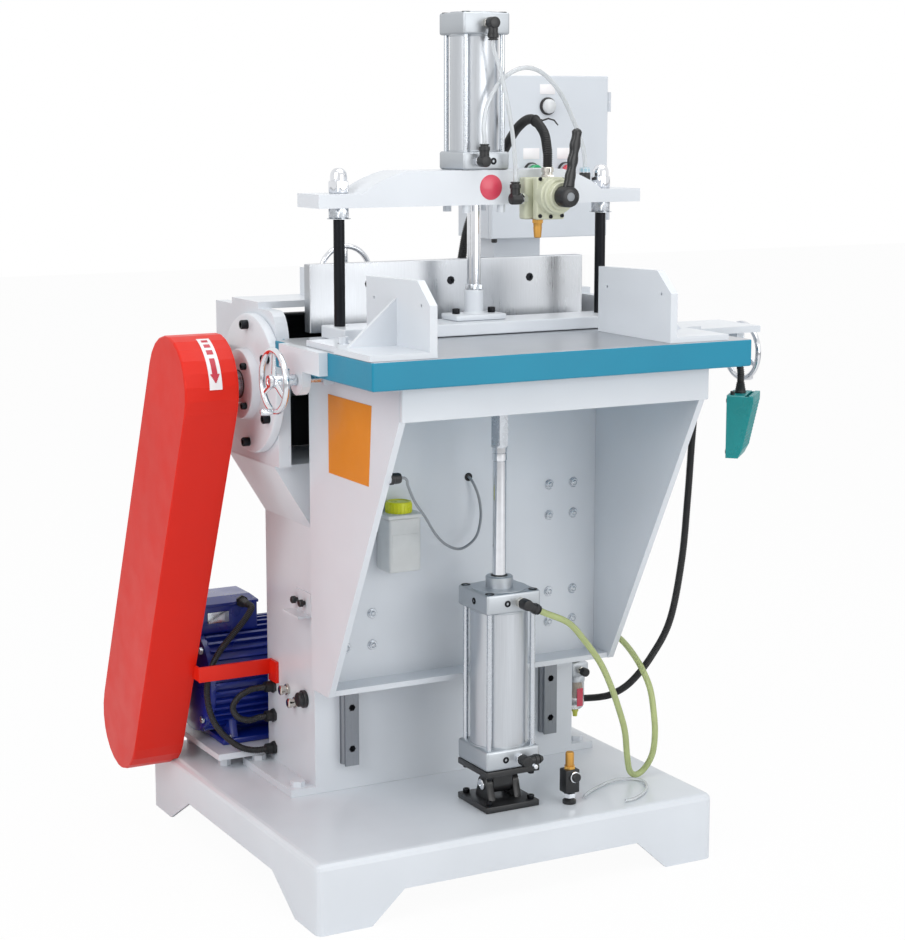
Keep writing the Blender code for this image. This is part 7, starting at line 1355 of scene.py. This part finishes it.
# %% [markdown]
# ## Bolts, clips and loose lines
#
# The last small pieces are the ones the eye expects without noticing them: bolts on the stops
# and under the beam, sunk screws in the fence, the air unit on the column's left face and a
# thin hose that lies on the base.

# %% Bolts on the clamp beam, the stops and the fence
under_beam = Piece("beam_socket_screws")
for dx in (-0.036, 0.036):
    for dy in (-0.036, 0.036):
        under_beam.socket_screw((dx, -0.102 + dy, 1.2303), -Z, 0.0072, 0.0130)
under_beam.done("knee")
for side, body in ((-1, "stop_left"), (1, "stop_right")):
    bolt = Piece(body + "_clamp_bolt")
    bolt.socket_screw((side * 0.334, -0.250, 1.0070), Z, 0.0078, 0.0112)
    bolt.turned([(0.0110, 0), (0.0110, 0.0012), (0.0102, 0.0018), (0.0078, 0.0018)],
                (side * 0.334, -0.250, 1.0062), Z, zinc, 32)
    bolt.done(body)
sunk = Piece("fence_sunk_screws")
for x in (-0.17, 0, 0.17):
    sunk.turned([(0.0068, 0), (0.0068, 0.0040), (0.0062, 0.0046), (0.0038, 0.0046),
                 (0.0034, 0.0020, 6), (0, 0.0020)], (x, -0.0085, 1.0856), -Y, black_oxide, 24)
sunk.done("fence")

# %% Air unit and shelf knobs on the column's left face
LEFT_FACE = -0.2822
side_air = Piece("column_air_unit")
for y, height in ((0.122, 0.302), (0.084, 0.286)):
    side_air.turned([(0.0098, 0, 6), (0.0098, 0.0050, 6), (0.0080, 0.0056), (0.0080, 0.0110),
                     (0.0094, 0.0120), (0.0094, 0.0170), (0.0070, 0.0186), (0, 0.0186)],
                    (LEFT_FACE, y, height), -X, nickel, 36)
side_air.turned([(0.0165, 0), (0.0170, 0.0010), (0.0170, 0.0060), (0.0160, 0.0072),
                 (0.0138, 0.0078), (0.0138, 0.0150), (0.0120, 0.0166), (0, 0.0166)],
                (LEFT_FACE, 0.043, 0.303), -X, nylon, 48)
side_air.done("frame")

shelf_knobs = Piece("side_shelf_knobs")
for y in (0.030, 0.064):
    shelf_knobs.turned([(0.0042, 0), (0.0042, 0.0040), (0.0070, 0.0050), (0.0070, 0.0110),
                        (0.0058, 0.0126), (0, 0.0126)], (LEFT_FACE - 0.004, y, 0.492), -X, nylon,
                       28)
shelf_knobs.done("frame")

# %% [markdown]
# A thin clear hose lies in a loop on the base at its right front. The filter drains there.

# %% Thin hose on the base
drain = Piece("drain_hose_line")
loop = smooth_route((0.150, -0.262, 0.1318), X + Y, [
    (0.205, -0.225, 0.1318), (0.262, -0.205, 0.1318), (0.298, -0.232, 0.1318),
    (0.272, -0.284, 0.1318)], (0.205, -0.318, 0.1318), X, 0.0056)
drain.tube(evenly(loop, 0.006)[0], 0.0028, clear_tube, 12)
drain.done("frame")

# %% [markdown]
# ## Floor, backdrop and light
#
# The photograph was cut out on white, with soft even light from the upper left. A large pale
# floor takes the shadow, and the world shows white to the camera, in reflections and through
# clear plastic, while it lights the machine at a plainer level.

# %% Floor
floor_mesh = bpy.data.meshes.new("studio_floor")
FLOOR_REACH = 14.0
floor_mesh.from_pydata([(x * FLOOR_REACH, y * FLOOR_REACH, 0) for x, y in (
    (-1, -1), (1, -1), (1, 1), (-1, 1))], [], [(0, 1, 2, 3)])
floor = bpy.data.objects.new("studio_floor", floor_mesh)
bpy.context.scene.collection.objects.link(floor)
finish, tree, space = start_finish("white_studio_floor")
shade = ramp(tree, noise(tree, space, 400, 2), [linear("#F4F5F6"), linear("#FAFAFB")])
matt = add(tree, "ShaderNodeBsdfDiffuse", {}, {"Color": shade})
glow = add(tree, "ShaderNodeEmission", {}, {"Color": linear("#FFFFFF"), "Strength": 1.0})
seen = add(tree, "ShaderNodeLightPath")
share = add(tree, "ShaderNodeMath", {"operation": "MULTIPLY"},
            {0: seen.outputs["Is Camera Ray"], 1: 0.96})
floor_mix = add(tree, "ShaderNodeMixShader", {}, {0: share.outputs["Value"],
                                                  1: matt.outputs["BSDF"],
                                                  2: glow.outputs["Emission"]})
add(tree, "ShaderNodeOutputMaterial", {}, {"Surface": floor_mix.outputs["Shader"]})
floor_mesh.materials.append(finish)

# %% World and lamps
world = bpy.data.worlds.new("studio_world")
bpy.context.scene.world = world
world.use_nodes = True
tree = world.node_tree
tree.nodes.clear()
seen = add(tree, "ShaderNodeLightPath")
first = add(tree, "ShaderNodeMath", {"operation": "MAXIMUM"}, {
    0: seen.outputs["Is Camera Ray"], 1: seen.outputs["Is Glossy Ray"]})
either = add(tree, "ShaderNodeMath", {"operation": "MAXIMUM"}, {
    0: first.outputs["Value"], 1: seen.outputs["Is Transmission Ray"]})
sky = add(tree, "ShaderNodeBackground", {}, {
    "Color": linear("#FFFFFF"), "Strength": between(tree, either.outputs["Value"], 0.52, 1.0)})
add(tree, "ShaderNodeOutputWorld", {}, {"Surface": sky.outputs["Background"]})


def softbox(name, place, aim, width, height, watts):
    """A rectangular lamp that faces the place it aims at."""
    lamp = bpy.data.lights.new(name, "AREA")
    lamp.shape = "RECTANGLE"
    lamp.size, lamp.size_y = width, height
    lamp.energy = watts
    holder = bpy.data.objects.new(name, lamp)
    holder.location = Vector(place)
    holder.rotation_euler = (Vector(aim) - Vector(place)).to_track_quat("-Z", "Y").to_euler()
    bpy.context.scene.collection.objects.link(holder)


softbox("left_softbox", (-3.2, -1.6, 2.6), (0, 0, 0.7), 2.2, 2.6, 54)
softbox("overhead_softbox", (0.4, -0.8, 4.0), (0, 0, 0.6), 3.2, 3.2, 54)
softbox("front_fill", (1.4, -4.4, 1.8), (0, 0, 0.7), 2.6, 2.2, 46)
bpy.context.scene.view_settings.view_transform = "Standard"
